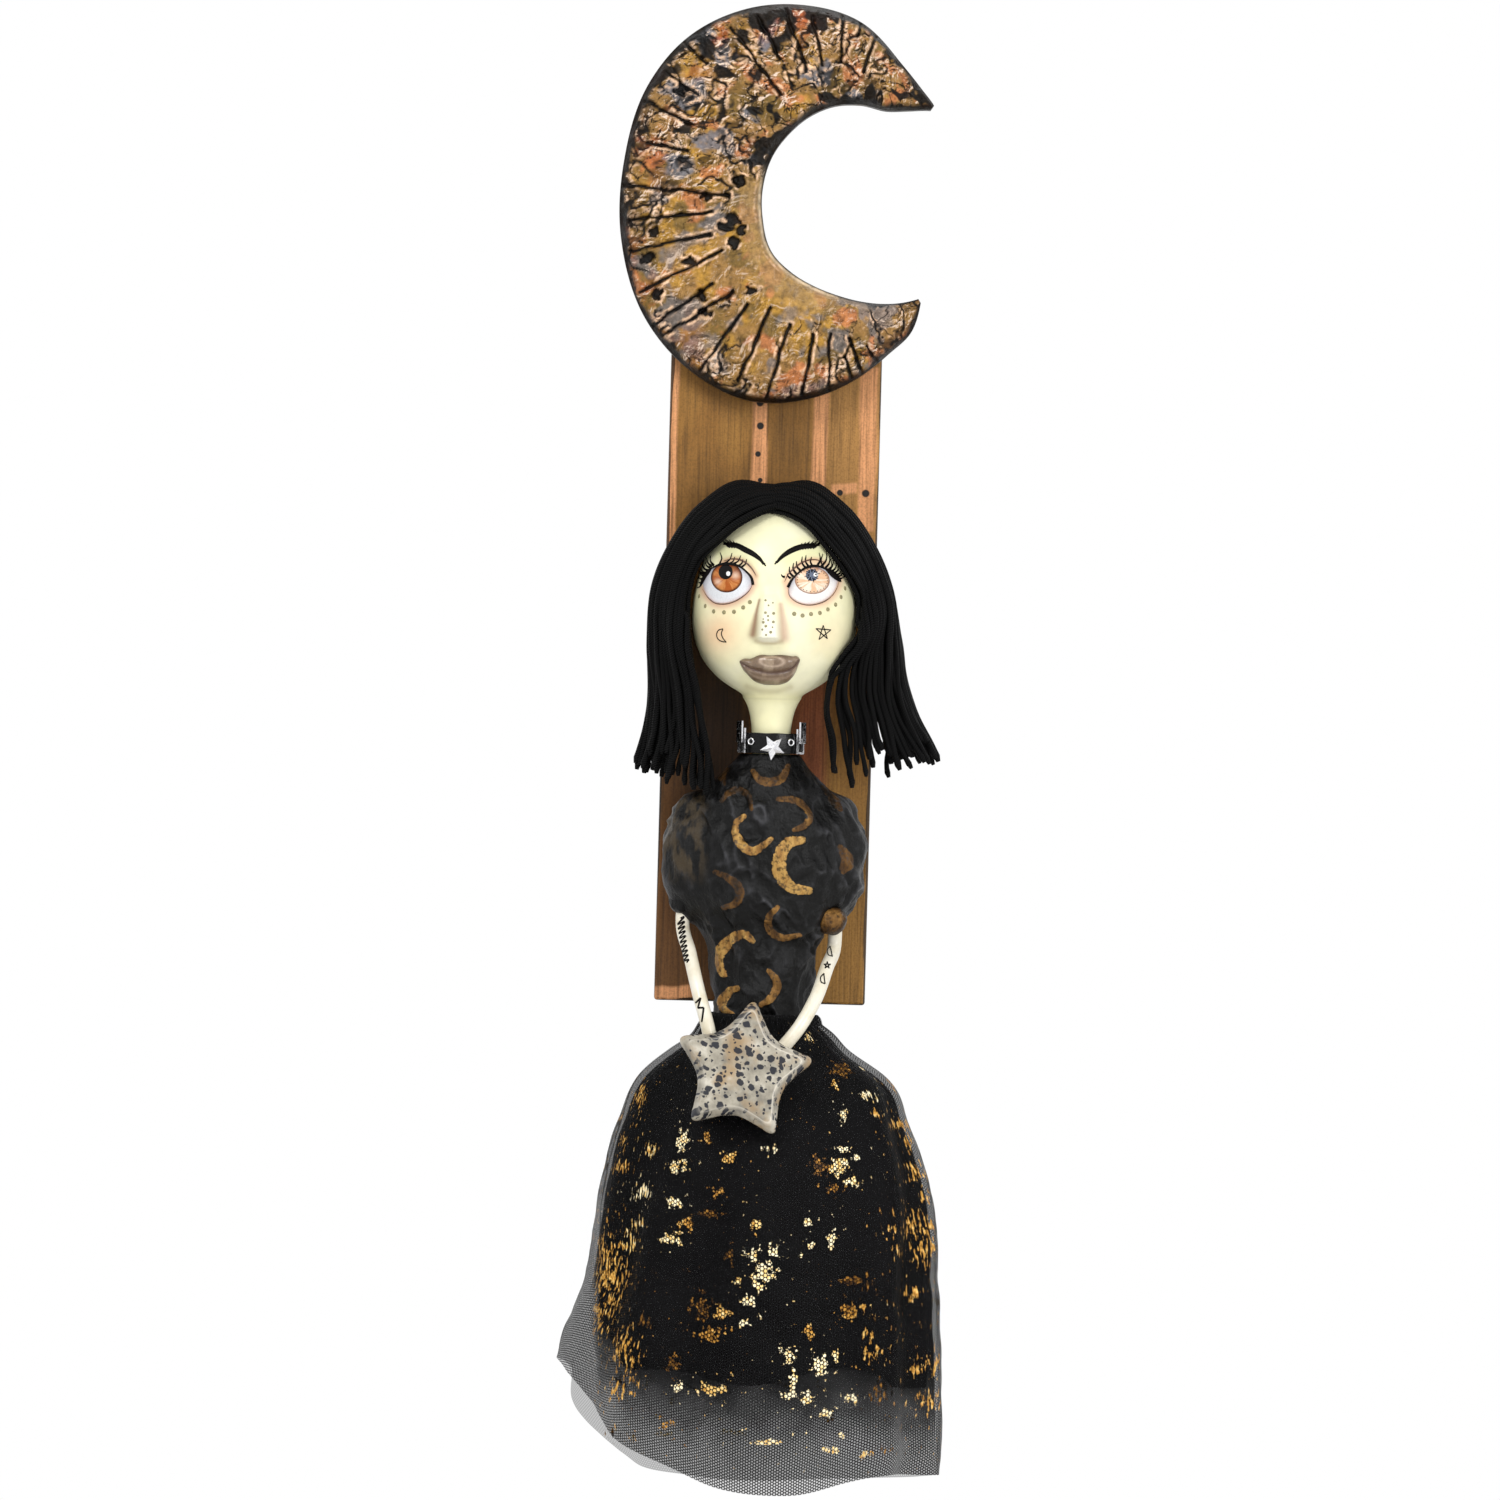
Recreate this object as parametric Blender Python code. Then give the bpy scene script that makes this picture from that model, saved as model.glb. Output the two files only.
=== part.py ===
"""Wall doll: a papier-mache doll with yarn hair and a tulle skirt, glued to the front of a painted
board under a crescent moon. The board hangs on one wall nail by a sawtooth hanger let into its back.

Metres, +Z up. The origin is the middle of the board's back face, which lies on the wall; the doll
looks along -Y. Run with: blender --background --python part.py
"""

import math

import bmesh
import bpy
import numpy as np
from mathutils import Matrix, Vector

# Fits
GAP = 0.0003                    # between pieces that rest on, or are let into, each other

# Board
BOARD_WIDTH = 0.089
BOARD_HEIGHT = 0.290
BOARD_THICKNESS = 0.019
BOARD_EASE = 0.0012             # eased edges

# Sawtooth hanger, let into the back of the board
HANGER_DROP = 0.038             # board top to the teeth's line
HANGER_LENGTH = 0.046
HANGER_HEIGHT = 0.0095
HANGER_THICKNESS = 0.0012
TOOTH_HEIGHT = 0.0018
TOOTH_COUNT = 11
TOOTHED_SHARE = 0.6             # of the strip's length that is toothed
CAVITY_LENGTH = 0.031           # room for the wall nail's head, between the two ledges
CAVITY_DEPTH = 0.009
NAIL_ROOM = 0.010               # below the teeth, where the wall nail goes in
HANGER_NAIL_RADIUS = 0.0007
HANGER_NAIL_LENGTH = 0.009
HANGER_NAIL_HEAD_RADIUS = 0.0016
HANGER_NAIL_HEAD = 0.0007
HANGER_SINK = HANGER_NAIL_HEAD + 2 * GAP    # the strip's face lies this far below the board's back

# Crescent moon, a band round the middle of its bay
MOON_BAY_X = 0.0346
MOON_BAY_RISE = 0.0482          # board top to the middle of the bay
MOON_BAY_RADIUS = 0.0424
MOON_BAND_WIDTH = 0.0606        # at its widest
MOON_RIM = 0.0145               # thickness at its edges
MOON_DOME = 0.0060              # how much thicker it is along the middle of the band
MOON_GROOVE_DEPTH = 0.0022
MOON_GROOVE_WIDTH = 0.0020
# Angle round the bay in degrees, then there the bay's edge and the band's width as shares of the above
MOON_SHAPE = (
    (55.5, 1.142, 0.040), (65.0, 1.028, 0.177), (76.0, 0.950, 0.338), (93.0, 0.976, 0.583),
    (108.0, 1.005, 0.729), (122.0, 1.012, 0.860), (140.0, 1.009, 0.977), (152.0, 1.014, 0.995),
    (172.0, 1.007, 0.983), (190.0, 1.009, 0.995), (210.0, 1.031, 0.992), (226.0, 0.993, 0.977),
    (242.0, 0.960, 0.909), (256.0, 0.955, 0.743), (270.0, 0.981, 0.528), (281.0, 1.017, 0.355),
    (293.0, 1.066, 0.200), (301.5, 1.101, 0.033),
)
# Radial grooves: angle in degrees, and the stretch of the band that each crosses
MOON_GROOVES = (
    (70, 0.35, 0.90), (82, 0.20, 0.95), (92, 0.30, 0.92), (101, 0.45, 0.95), (110, 0.10, 0.90),
    (122, 0.05, 0.85), (134, 0.55, 0.95), (148, 0.60, 0.95), (160, 0.55, 0.90), (176, 0.40, 0.97),
    (185, 0.50, 0.95), (193, 0.45, 0.97), (202, 0.40, 0.95), (211, 0.40, 0.96), (219, 0.50, 0.93),
    (227, 0.45, 0.96), (234, 0.35, 0.95), (242, 0.40, 0.96), (250, 0.35, 0.95), (258, 0.30, 0.93),
    (266, 0.45, 0.95), (274, 0.45, 0.95), (283, 0.40, 0.95),
)

# Head and neck, one turned egg that runs down into a neck
HEAD_X = 0.0019
HEAD_Z = 0.0160                 # height of its widest level
HEAD_HALF_WIDTH = 0.0346
HEAD_HALF_DEPTH = 0.0295
HEAD_RISE = 0.0515              # widest level to the top
HEAD_DROP = 0.0325              # widest level to the chin
NECK_RADIUS = 0.0078
NECK_LENGTH = 0.0235            # chin to the bodice
NECK_SEAT = 0.0090              # length of neck inside the bodice
CHIN_FLARE = 0.0045             # how much wider the neck is just under the chin
CHIN_FLARE_LENGTH = 0.0060
FACE_X = -0.0004                 # the face looks a little to its right
NOSE_HEIGHT = 0.0198
NOSE_WIDTH = 0.0128
NOSE_BRIDGE = 0.0092
NOSE_REACH = 0.0070
NOSE_TOP_RISE = 0.0108          # widest level to the top of the nose
EYE_SPREAD = 0.0180             # half the distance between the eyes
EYE_RISE = 0.0171
EYE_HALF_WIDTH = 0.0104
EYE_HALF_HEIGHT = 0.0086
EYE_BULGE = 0.0014
LIPS_WIDTH = 0.0256
LIPS_HEIGHT = 0.0124
LIPS_DROP = 0.0206              # widest level to the middle of the lips
LIPS_THICKNESS = 0.0038
LIPS_SHIFT = 0.0008             # lips' middle, from the face's

# Yarn hair
HAIR_THICKNESS = 0.0056
HAIR_LOCKS = 7                  # on each side
HAIR_STRANDS = 3                # ridges that show on each lock
HAIR_RIDGE = 0.0009
HAIR_LOCK_GAP = 0.0006
HAIR_AIR = 0.0008               # between the head and the locks
HAIR_BACK = 0.0010              # clear of the board

# Choker: a strap, a star stud, two eyelets and two buckles
STRAP_HEIGHT = 0.0085
STRAP_THICKNESS = 0.0016
STRAP_SPREAD = 0.0042           # room between the neck and the strap at the sides
STUD_RADIUS = 0.0054
STUD_WAIST = 0.0025
STUD_THICKNESS = 0.0020
EYELET_RADIUS = 0.0016
EYELET_WIRE = 0.0004
EYELET_ANGLE = 36.0             # round the strap, either side of its front
BUCKLE_WIDTH = 0.0046
BUCKLE_HEIGHT = 0.0104
BUCKLE_WIRE = 0.0008
BUCKLE_ANGLE = 59.0
TAB_WIDTH = 0.0036
TAB_HEIGHT = 0.0090
TAB_THICKNESS = 0.0008

# Bodice with puff sleeves, one moulded piece
BODY_BACKSET = 0.0020           # the body's middle lies this far behind the head's
CHEST_DROP = 0.0445             # bodice top to the middle of the chest
CHEST_HALF_WIDTH = 0.0325
CHEST_HALF_DEPTH = 0.0260
CHEST_HALF_HEIGHT = 0.0450
SLEEVE_SPREAD = 0.0292
SLEEVE_HALF_WIDTH = 0.0140
SLEEVE_HALF_DEPTH = 0.0185
SLEEVE_HALF_HEIGHT = 0.0275
SLEEVE_DROP = 0.0440
COLLAR_INSET = 0.0012           # the collar under the strap, inside its outer face
COLLAR_HALF_HEIGHT = 0.0080
WAIST_DROP = 0.1130             # bodice top to the narrowest level
WAIST_HALF_WIDTH = 0.0192
WAIST_HALF_DEPTH = 0.0165
RIBS_HALF_WIDTH = 0.0245        # where the waist leaves the sleeves
HIP_LENGTH = 0.0270             # waist to the bottom of the body, inside the skirt
HIP_HALF_WIDTH = 0.0240
HIP_HALF_DEPTH = 0.0185
BODICE_BLEND = 0.0022           # how softly the forms run into each other
BODICE_CREASE = 0.0009

# Arms, cream tubes from the sleeves to the star
ARM_RADIUS = 0.0029
ARM_SEAT = 0.0080               # length of arm inside its cuff
LEFT_CUFF = (-0.0351, 0.0000, -0.0620)      # cuff's middle from the bodice's top
RIGHT_CUFF = (0.0289, -0.0020, -0.0705)
LEFT_CUFF_RADIUS = 0.0056
RIGHT_CUFF_RADIUS = 0.0064

# Stone star
STAR_RADIUS = 0.0299
STAR_WAIST_RADIUS = 0.0177
STAR_THICKNESS = 0.0075
STAR_DOME = 0.0022
STAR_RIM = 0.0014               # rounding of the rims
STAR_ROUNDING = 0.34            # share of each edge taken up by the round at its corner
STAR_TURN = -8.0                # degrees, the top tip leans right
STAR_TILT = 8.0                 # degrees, the foot stands forward
STAR_X = -0.0064
STAR_DROP = 0.0195              # waist to the star's middle
STAR_STANDOFF = 0.0405          # skirt's middle to the back of the star

# Tulle skirt: a lining and two layers of net, gathered round the hips
SKIRT_THICKNESS = 0.0010
SKIRT_HEADING = 0.0040          # the gathered edge stands this far above the waist
SKIRT_LENGTH = 0.1955           # waist to the lowest point of the hem
SKIRT_LAYER_SPREAD = 0.0030     # distance between the layers at the hem
MIDDLE_LENGTH_SHARE = 0.92      # of the outer layer's length
LINING_LENGTH_SHARE = 0.79
SKIRT_COLUMNS = 60
SKIRT_ROWS = 10
SKIRT_FOLDS = 9
SKIRT_SMALL_FOLDS = 13
FOLD_DEPTH = 0.0036
WALL_CLEARANCE = 0.0020
# Half-widths and half-depths against the drop below the waist, beyond those of the hips
SKIRT_LEFT = ((0.000, 0.0030), (0.010, 0.0075), (0.022, 0.0220), (0.042, 0.0310), (0.074, 0.0395),
              (0.110, 0.0445), (0.147, 0.0550), (0.201, 0.0540))
SKIRT_RIGHT = ((0.000, 0.0005), (0.010, 0.0070), (0.022, 0.0240), (0.042, 0.0345), (0.074, 0.0455),
               (0.110, 0.0495), (0.147, 0.0520), (0.201, 0.0520))
SKIRT_FRONT = ((0.000, 0.0010), (0.020, 0.0045), (0.045, 0.0120), (0.080, 0.0170), (0.201, 0.0215))
# How far the hem rises above its lowest point, against the angle round the skirt in degrees
SKIRT_HEM_RISE = ((0, 0.0080), (60, 0.0120), (120, 0.0300), (160, 0.0500), (182, 0.0530), (205, 0.0450),
                  (220, 0.0280), (236, 0.0160), (262, 0.0020), (282, 0.0000), (312, 0.0085), (340, 0.0085),
                  (360, 0.0080))

# Places that follow from the sizes
BOARD_TOP = BOARD_HEIGHT / 2
BOARD_FRONT = -BOARD_THICKNESS
SEAT_Y = BOARD_FRONT - GAP
HEAD_Y = SEAT_Y - HEAD_HALF_DEPTH
CHIN_Z = HEAD_Z - HEAD_DROP
BODICE_TOP = CHIN_Z - NECK_LENGTH
BODY_Y = HEAD_Y + BODY_BACKSET
WAIST_Z = BODICE_TOP - WAIST_DROP
BODICE_BOTTOM = WAIST_Z - HIP_LENGTH
BODY_X = HEAD_X - 0.0009
SKIRT_Y = BODY_Y + 0.0020


def clear_scene():
    for old in list(bpy.data.objects):
        bpy.data.objects.remove(old, do_unlink=True)


def finish(name, colour, roughness, metallic=0.0):
    """A material with one colour, given as sRGB shares, for the preview of a piece."""
    material = bpy.data.materials.new(name)
    material.use_nodes = True
    shader = material.node_tree.nodes["Principled BSDF"]
    shader.inputs["Base Color"].default_value = (*[c ** 2.2 for c in colour], 1.0)
    shader.inputs["Roughness"].default_value = roughness
    shader.inputs["Metallic"].default_value = metallic
    return material


def add_object(name, mesh, material=None, sharp_degrees=35.0):
    obj = bpy.data.objects.new(name, mesh)
    bpy.context.scene.collection.objects.link(obj)
    if material:
        mesh.materials.append(material)
    mesh.shade_smooth()
    mesh.set_sharp_from_angle(angle=math.radians(sharp_degrees))
    return obj


def centre_origin(obj):
    """Moves the object's origin to the middle of its mesh and leaves the mesh where it is."""
    corners = [v.co for v in obj.data.vertices]
    low = Vector(min(c[i] for c in corners) for i in range(3))
    high = Vector(max(c[i] for c in corners) for i in range(3))
    middle = (low + high) / 2
    obj.data.transform(Matrix.Translation(-middle))
    obj.location = middle


def mesh_of(name, points, faces):
    """A mesh with its faces turned to point outwards."""
    mesh = bpy.data.meshes.new(name)
    mesh.from_pydata([tuple(p) for p in points], [], faces)
    work = bmesh.new()
    work.from_mesh(mesh)
    bmesh.ops.recalc_face_normals(work, faces=work.faces)
    work.to_mesh(mesh)
    work.free()
    return mesh


def loft(name, rings, material=None, wraps=False, sharp_degrees=35.0):
    """One closed body through rings of equally many points. Where it wraps, the last ring meets
    the first; otherwise both ends are capped."""
    rings = np.asarray(rings, float)
    rows, count = rings.shape[:2]
    faces = []
    for row in range(rows if wraps else rows - 1):
        here, there = row * count, (row + 1) % rows * count
        for i in range(count):
            j = (i + 1) % count
            faces.append((here + i, here + j, there + j, there + i))
    if not wraps:
        faces.append(tuple(range(count)))
        faces.append(tuple(range((rows - 1) * count, rows * count)))
    return add_object(name, mesh_of(name, rings.reshape(-1, 3), faces), material, sharp_degrees)


def box(name, low, high, material=None):
    """A block between two corners, with its own origin in its middle."""
    low, high = Vector(low), Vector(high)
    mesh = bpy.data.meshes.new(name)
    work = bmesh.new()
    bmesh.ops.create_cube(work, size=1.0, matrix=Matrix.Diagonal((*(high - low), 1.0)))
    work.to_mesh(mesh)
    work.free()
    obj = add_object(name, mesh, material)
    obj.location = (low + high) / 2
    return obj


def bevel(obj, width, segments=2):
    made = obj.modifiers.new("eased_edges", "BEVEL")
    made.width = width
    made.segments = segments
    made.limit_method = "ANGLE"
    return obj


def boolean(obj, tool, operation):
    """Cuts the tool from obj, or joins it, and keeps the tool out of the build."""
    made = obj.modifiers.new(tool.name, "BOOLEAN")
    made.object = tool
    made.operation = operation
    made.solver = "EXACT"
    tool.hide_render = True
    tool.display_type = "WIRE"
    return obj


def turned(name, profile, material=None, sides=16):
    """A body turned round its own Z axis from (radius, height) points, low to high."""
    turns = np.linspace(0, 2 * math.pi, sides, endpoint=False)
    rings = [[(r * math.cos(a), r * math.sin(a), z) for a in turns] for r, z in profile]
    return loft(name, rings, material)


def ball(name, centre, half_sizes, sides=18, rings=11):
    """An egg-shaped ball, for joining to a larger form."""
    mesh = bpy.data.meshes.new(name)
    work = bmesh.new()
    bmesh.ops.create_uvsphere(work, u_segments=sides, v_segments=rings, radius=1.0)
    bmesh.ops.scale(work, vec=half_sizes, verts=work.verts)
    work.to_mesh(mesh)
    work.free()
    obj = add_object(name, mesh)
    obj.location = centre
    return obj


def smooth_line(anchors, shares):
    """Points on one smooth line through the anchors, at these shares of its length."""
    anchors = np.asarray(anchors, float)
    knots = np.concatenate([[0.0], np.cumsum(np.linalg.norm(np.diff(anchors, axis=0), axis=1))])
    return hermite(knots, anchors, np.asarray(shares, float) * knots[-1])


def smooth_value(stops, at):
    """A smooth value through (place, value) stops, held level beyond both ends."""
    places, values = np.asarray(stops, float).T
    at = np.clip(np.asarray(at, float), places[0], places[-1])
    return hermite(places, values[:, None], at.reshape(-1))[:, 0].reshape(at.shape)


def hermite(knots, values, at):
    """Cubic pieces through the values, each with the slope of its two neighbours."""
    slopes = np.gradient(values, knots, axis=0)
    left = np.clip(np.searchsorted(knots, at, side="right") - 1, 0, len(knots) - 2)
    span = (knots[left + 1] - knots[left])[:, None]
    f = (at - knots[left])[:, None] / span
    return (
        (2 * f**3 - 3 * f**2 + 1) * values[left]
        + (f**3 - 2 * f**2 + f) * span * slopes[left]
        + (3 * f**2 - 2 * f**3) * values[left + 1]
        + (f**3 - f**2) * span * slopes[left + 1]
    )


def head_half(z, half_of_egg):
    """Half-size of head and neck at a height: the egg, or the neck with its flare, whichever is
    larger, run softly together."""
    z = np.asarray(z, float)
    reach = np.where(z > HEAD_Z, HEAD_RISE, HEAD_DROP)
    egg = half_of_egg * np.sqrt(np.clip(1 - ((z - HEAD_Z) / reach) ** 2, 0, 1))
    neck = NECK_RADIUS + CHIN_FLARE * np.exp(-np.clip(CHIN_Z - z, 0, None) / CHIN_FLARE_LENGTH)
    neck = np.where(z > HEAD_Z, 0.0, neck)
    return (egg**6 + neck**6) ** (1 / 6)


def head_front(x, z):
    """Y of the front of the head at x and z."""
    across = np.clip(np.abs(x - HEAD_X) / head_half(z, HEAD_HALF_WIDTH), 0, 0.999)
    return HEAD_Y - head_half(z, HEAD_HALF_DEPTH) * np.sqrt(1 - across**2)


def make_board(wood, steel):
    """The board, with the hanger's pocket in its back: two ledges for the strip's ends and a
    deeper cavity between them for the head of the wall nail."""
    half = BOARD_WIDTH / 2
    board = box("backboard", (-half, BOARD_FRONT, -BOARD_TOP), (half, 0, BOARD_TOP), wood)
    bevel(board, BOARD_EASE)

    teeth_z = BOARD_TOP - HANGER_DROP
    strip_top = teeth_z + HANGER_HEIGHT
    room_low = teeth_z - NAIL_ROOM
    ledge = HANGER_SINK + HANGER_THICKNESS + GAP
    out = 0.002                 # cutters start outside the back face
    ledge_half = HANGER_LENGTH / 2 + GAP
    pocket_ledge = box("ledge_cutter", (-ledge_half, -ledge, room_low), (ledge_half, out, strip_top + GAP))
    boolean(board, pocket_ledge, "DIFFERENCE")
    cavity_half = CAVITY_LENGTH / 2
    cavity = box("cavity_cutter", (-cavity_half, -CAVITY_DEPTH, room_low), (cavity_half, out, strip_top + GAP))
    boolean(board, cavity, "DIFFERENCE")

    strip = make_hanger_strip(teeth_z, steel)
    nail_x = (CAVITY_LENGTH / 2 + HANGER_LENGTH / 2) / 2
    nail_z = teeth_z + TOOTH_HEIGHT + (HANGER_HEIGHT - TOOTH_HEIGHT) / 2
    for side, sign in (("left", -1), ("right", 1)):
        place = Vector((sign * nail_x, 0, nail_z))
        make_hanger_nail(f"hanger_nail_{side}", place, steel)
        hole = turned(f"nail_hole_{side}", [
            (HANGER_NAIL_RADIUS + GAP, -HANGER_NAIL_LENGTH - 2 * GAP),
            (HANGER_NAIL_RADIUS + GAP, out),
        ])
        hole.location = place - Vector((0, HANGER_SINK, 0))
        hole.rotation_euler = (-math.pi / 2, 0, 0)
        boolean(board, hole, "DIFFERENCE")
        boolean(strip, hole, "DIFFERENCE")


def make_hanger_strip(teeth_z, steel):
    """A flat steel strip with a row of teeth along the middle of its lower edge."""
    half = HANGER_LENGTH / 2
    toothed = half * TOOTHED_SHARE
    outline = [(-half, teeth_z + TOOTH_HEIGHT)]
    for i in range(2 * TOOTH_COUNT + 1):
        x = -toothed + toothed * i / TOOTH_COUNT
        outline.append((x, teeth_z + (TOOTH_HEIGHT if i % 2 == 0 else 0.0)))
    outline += [(half, teeth_z + TOOTH_HEIGHT), (half, teeth_z + HANGER_HEIGHT), (-half, teeth_z + HANGER_HEIGHT)]
    rings = [[(x, y, z) for x, z in outline] for y in (-HANGER_SINK, -HANGER_SINK - HANGER_THICKNESS)]
    return loft("sawtooth_hanger", rings, steel)


def make_hanger_nail(name, place, steel):
    """A small nail through the strip into the board, its head just under the board's back."""
    nail = turned(name, [
        (0.0001, -HANGER_NAIL_LENGTH),
        (HANGER_NAIL_RADIUS, -HANGER_NAIL_LENGTH + 2 * HANGER_NAIL_RADIUS),
        (HANGER_NAIL_RADIUS, 0.0),
        (HANGER_NAIL_HEAD_RADIUS, 0.0),
        (HANGER_NAIL_HEAD_RADIUS, HANGER_NAIL_HEAD),
    ], steel)
    nail.location = place - Vector((0, HANGER_SINK - GAP, 0))
    nail.rotation_euler = (-math.pi / 2, 0, 0)
    return nail


def moon_edge(angle):
    """Distance from the bay's middle to the bay's edge, and the width of the band there."""
    bay = smooth_value([(a, edge) for a, edge, band in MOON_SHAPE], angle)
    band = smooth_value([(a, band) for a, edge, band in MOON_SHAPE], angle)
    return MOON_BAY_RADIUS * float(bay), MOON_BAND_WIDTH * float(band)


def moon_columns():
    """Angles of the moon's cross-sections: even steps, and three close ones at each groove."""
    first, last = MOON_SHAPE[0][0], MOON_SHAPE[-1][0]
    columns = list(np.arange(first, last, 5.0)) + [last]
    for angle, start, end in MOON_GROOVES:
        bay, band = moon_edge(angle)
        half = math.degrees(MOON_GROOVE_WIDTH / 2 / (bay + band * (start + end) / 2))
        columns = [c for c in columns if abs(c - angle) > 2 * half]
        columns += [angle - half, angle, angle + half]
    return sorted(columns)


def make_moon(metal):
    """The crescent: across each column its section is a low dome between two upright edges, and
    each groove is a dent in its own column."""
    shares = np.array([0.0, 0.05, 0.18, 0.36, 0.54, 0.72, 0.86, 0.95, 1.0])
    rings = []
    for angle in moon_columns():
        inner, band = moon_edge(angle)
        fullness = min(1.0, 2 * band / MOON_BAND_WIDTH)
        height = MOON_RIM * (0.62 + 0.38 * fullness) + MOON_DOME * fullness * (1 - (2 * shares - 1) ** 4)
        height[[0, -1]] -= 0.0022
        for at, start, end in MOON_GROOVES:
            if abs(at - angle) < 1e-6:
                inside = (shares > start) & (shares < end)
                height = height - MOON_GROOVE_DEPTH * inside
        direction = np.array([math.cos(math.radians(angle)), math.sin(math.radians(angle))])
        bay = np.array([MOON_BAY_X, BOARD_TOP + MOON_BAY_RISE])
        ring = []
        for share, up in zip(shares, height):
            x, z = bay + direction * (inner + band * share)
            ring.append((x, SEAT_Y - up, z))
        for share in (1.0, 0.0):
            x, z = bay + direction * (inner + band * share)
            ring.append((x, SEAT_Y, z))
        rings.append(ring)
    return loft("crescent_moon", rings, metal)


def make_head(skin, lip_paint):
    """Egg, neck, wedge nose and two low eye mounds, moulded as one; the lips are laid on."""
    top = HEAD_Z + HEAD_RISE
    bottom = BODICE_TOP - NECK_SEAT
    sides = 28
    turns = np.linspace(0, 2 * math.pi, sides, endpoint=False)
    upper = HEAD_Z + HEAD_RISE * np.sin(np.radians([86, 74, 60, 46, 32, 18, 6]))
    lower = HEAD_Z - HEAD_DROP * np.sin(np.radians([6, 18, 30, 42, 54, 66, 76]))
    neck = CHIN_Z - np.array([0.000, 0.003, 0.007, 0.012, 0.018])
    levels = np.concatenate([[top - 0.00002], upper, lower, neck, [BODICE_TOP, bottom]])
    rings = []
    for z in levels:
        wide, deep = head_half(z, HEAD_HALF_WIDTH), head_half(z, HEAD_HALF_DEPTH)
        rings.append([(HEAD_X + wide * math.cos(a), HEAD_Y + deep * math.sin(a), z) for a in turns])
    head = loft("head", rings, skin)
    boolean(head, make_nose(), "UNION")
    for side, sign in (("left", -1), ("right", 1)):
        x, z = FACE_X + sign * EYE_SPREAD, HEAD_Z + EYE_RISE
        deep = 0.012
        mound = ball(f"eye_mound_{side}", (x, head_front(x, z) + deep - EYE_BULGE, z),
                     (EYE_HALF_WIDTH, deep, EYE_HALF_HEIGHT), 20, 12)
        boolean(head, mound, "UNION")
    make_lips(lip_paint)
    return head


def make_nose():
    """A wedge, narrow at the bridge and full at the tip, with rounded corners."""
    top = HEAD_Z + NOSE_TOP_RISE
    rings = []
    for share in (0.0, 0.3, 0.6, 0.85, 1.0):
        z = top - NOSE_HEIGHT * share
        half = (NOSE_BRIDGE + (NOSE_WIDTH - NOSE_BRIDGE) * share) / 2
        reach = NOSE_REACH * (0.12 + 0.88 * share) * (0.72 if share == 1.0 else 1.0)
        root = float(head_front(FACE_X, z)) + 0.004
        tip = float(head_front(FACE_X, z)) - reach
        across = (-1.0, -0.92, -0.62, 0.0, 0.62, 0.92, 1.0)
        forward = (0.0, 0.70, 0.94, 1.0, 0.94, 0.70, 0.0)
        ring = [(FACE_X + half * a, root + (tip - root) * f, z) for a, f in zip(across, forward)]
        rings.append(ring)
    return loft("nose", rings)


def make_lips(lip_paint):
    """Full lips laid on the face: lens-shaped, with the parting line pressed in."""
    middle = HEAD_Z - LIPS_DROP
    rings = []
    for share in np.linspace(-0.98, 0.98, 15):
        x = FACE_X + LIPS_SHIFT + LIPS_WIDTH / 2 * share
        top = middle + LIPS_HEIGHT * (0.5 - 0.12 * abs(share) ** 2)
        bottom = middle - LIPS_HEIGHT * (0.5 - 0.84 * abs(share) ** 2.4)
        ring = []
        for part in (0.0, 0.14, 0.30, 0.44, 0.56, 0.72, 0.88, 1.0):
            z = top + (bottom - top) * part
            full = LIPS_THICKNESS * (1 - share**4) * (1 - (2 * part - 1) ** 4)
            full *= 0.78 if 0.4 < part < 0.5 else 1.0
            ring.append((x, float(head_front(x, z)) - GAP - 0.0003 - full, z))
        for part in (0.75, 0.5, 0.25):
            z = top + (bottom - top) * part
            ring.append((x, float(head_front(x, z)) - GAP, z))
        rings.append(ring)
    return loft("lips", rings, lip_paint, sharp_degrees=60)


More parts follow.
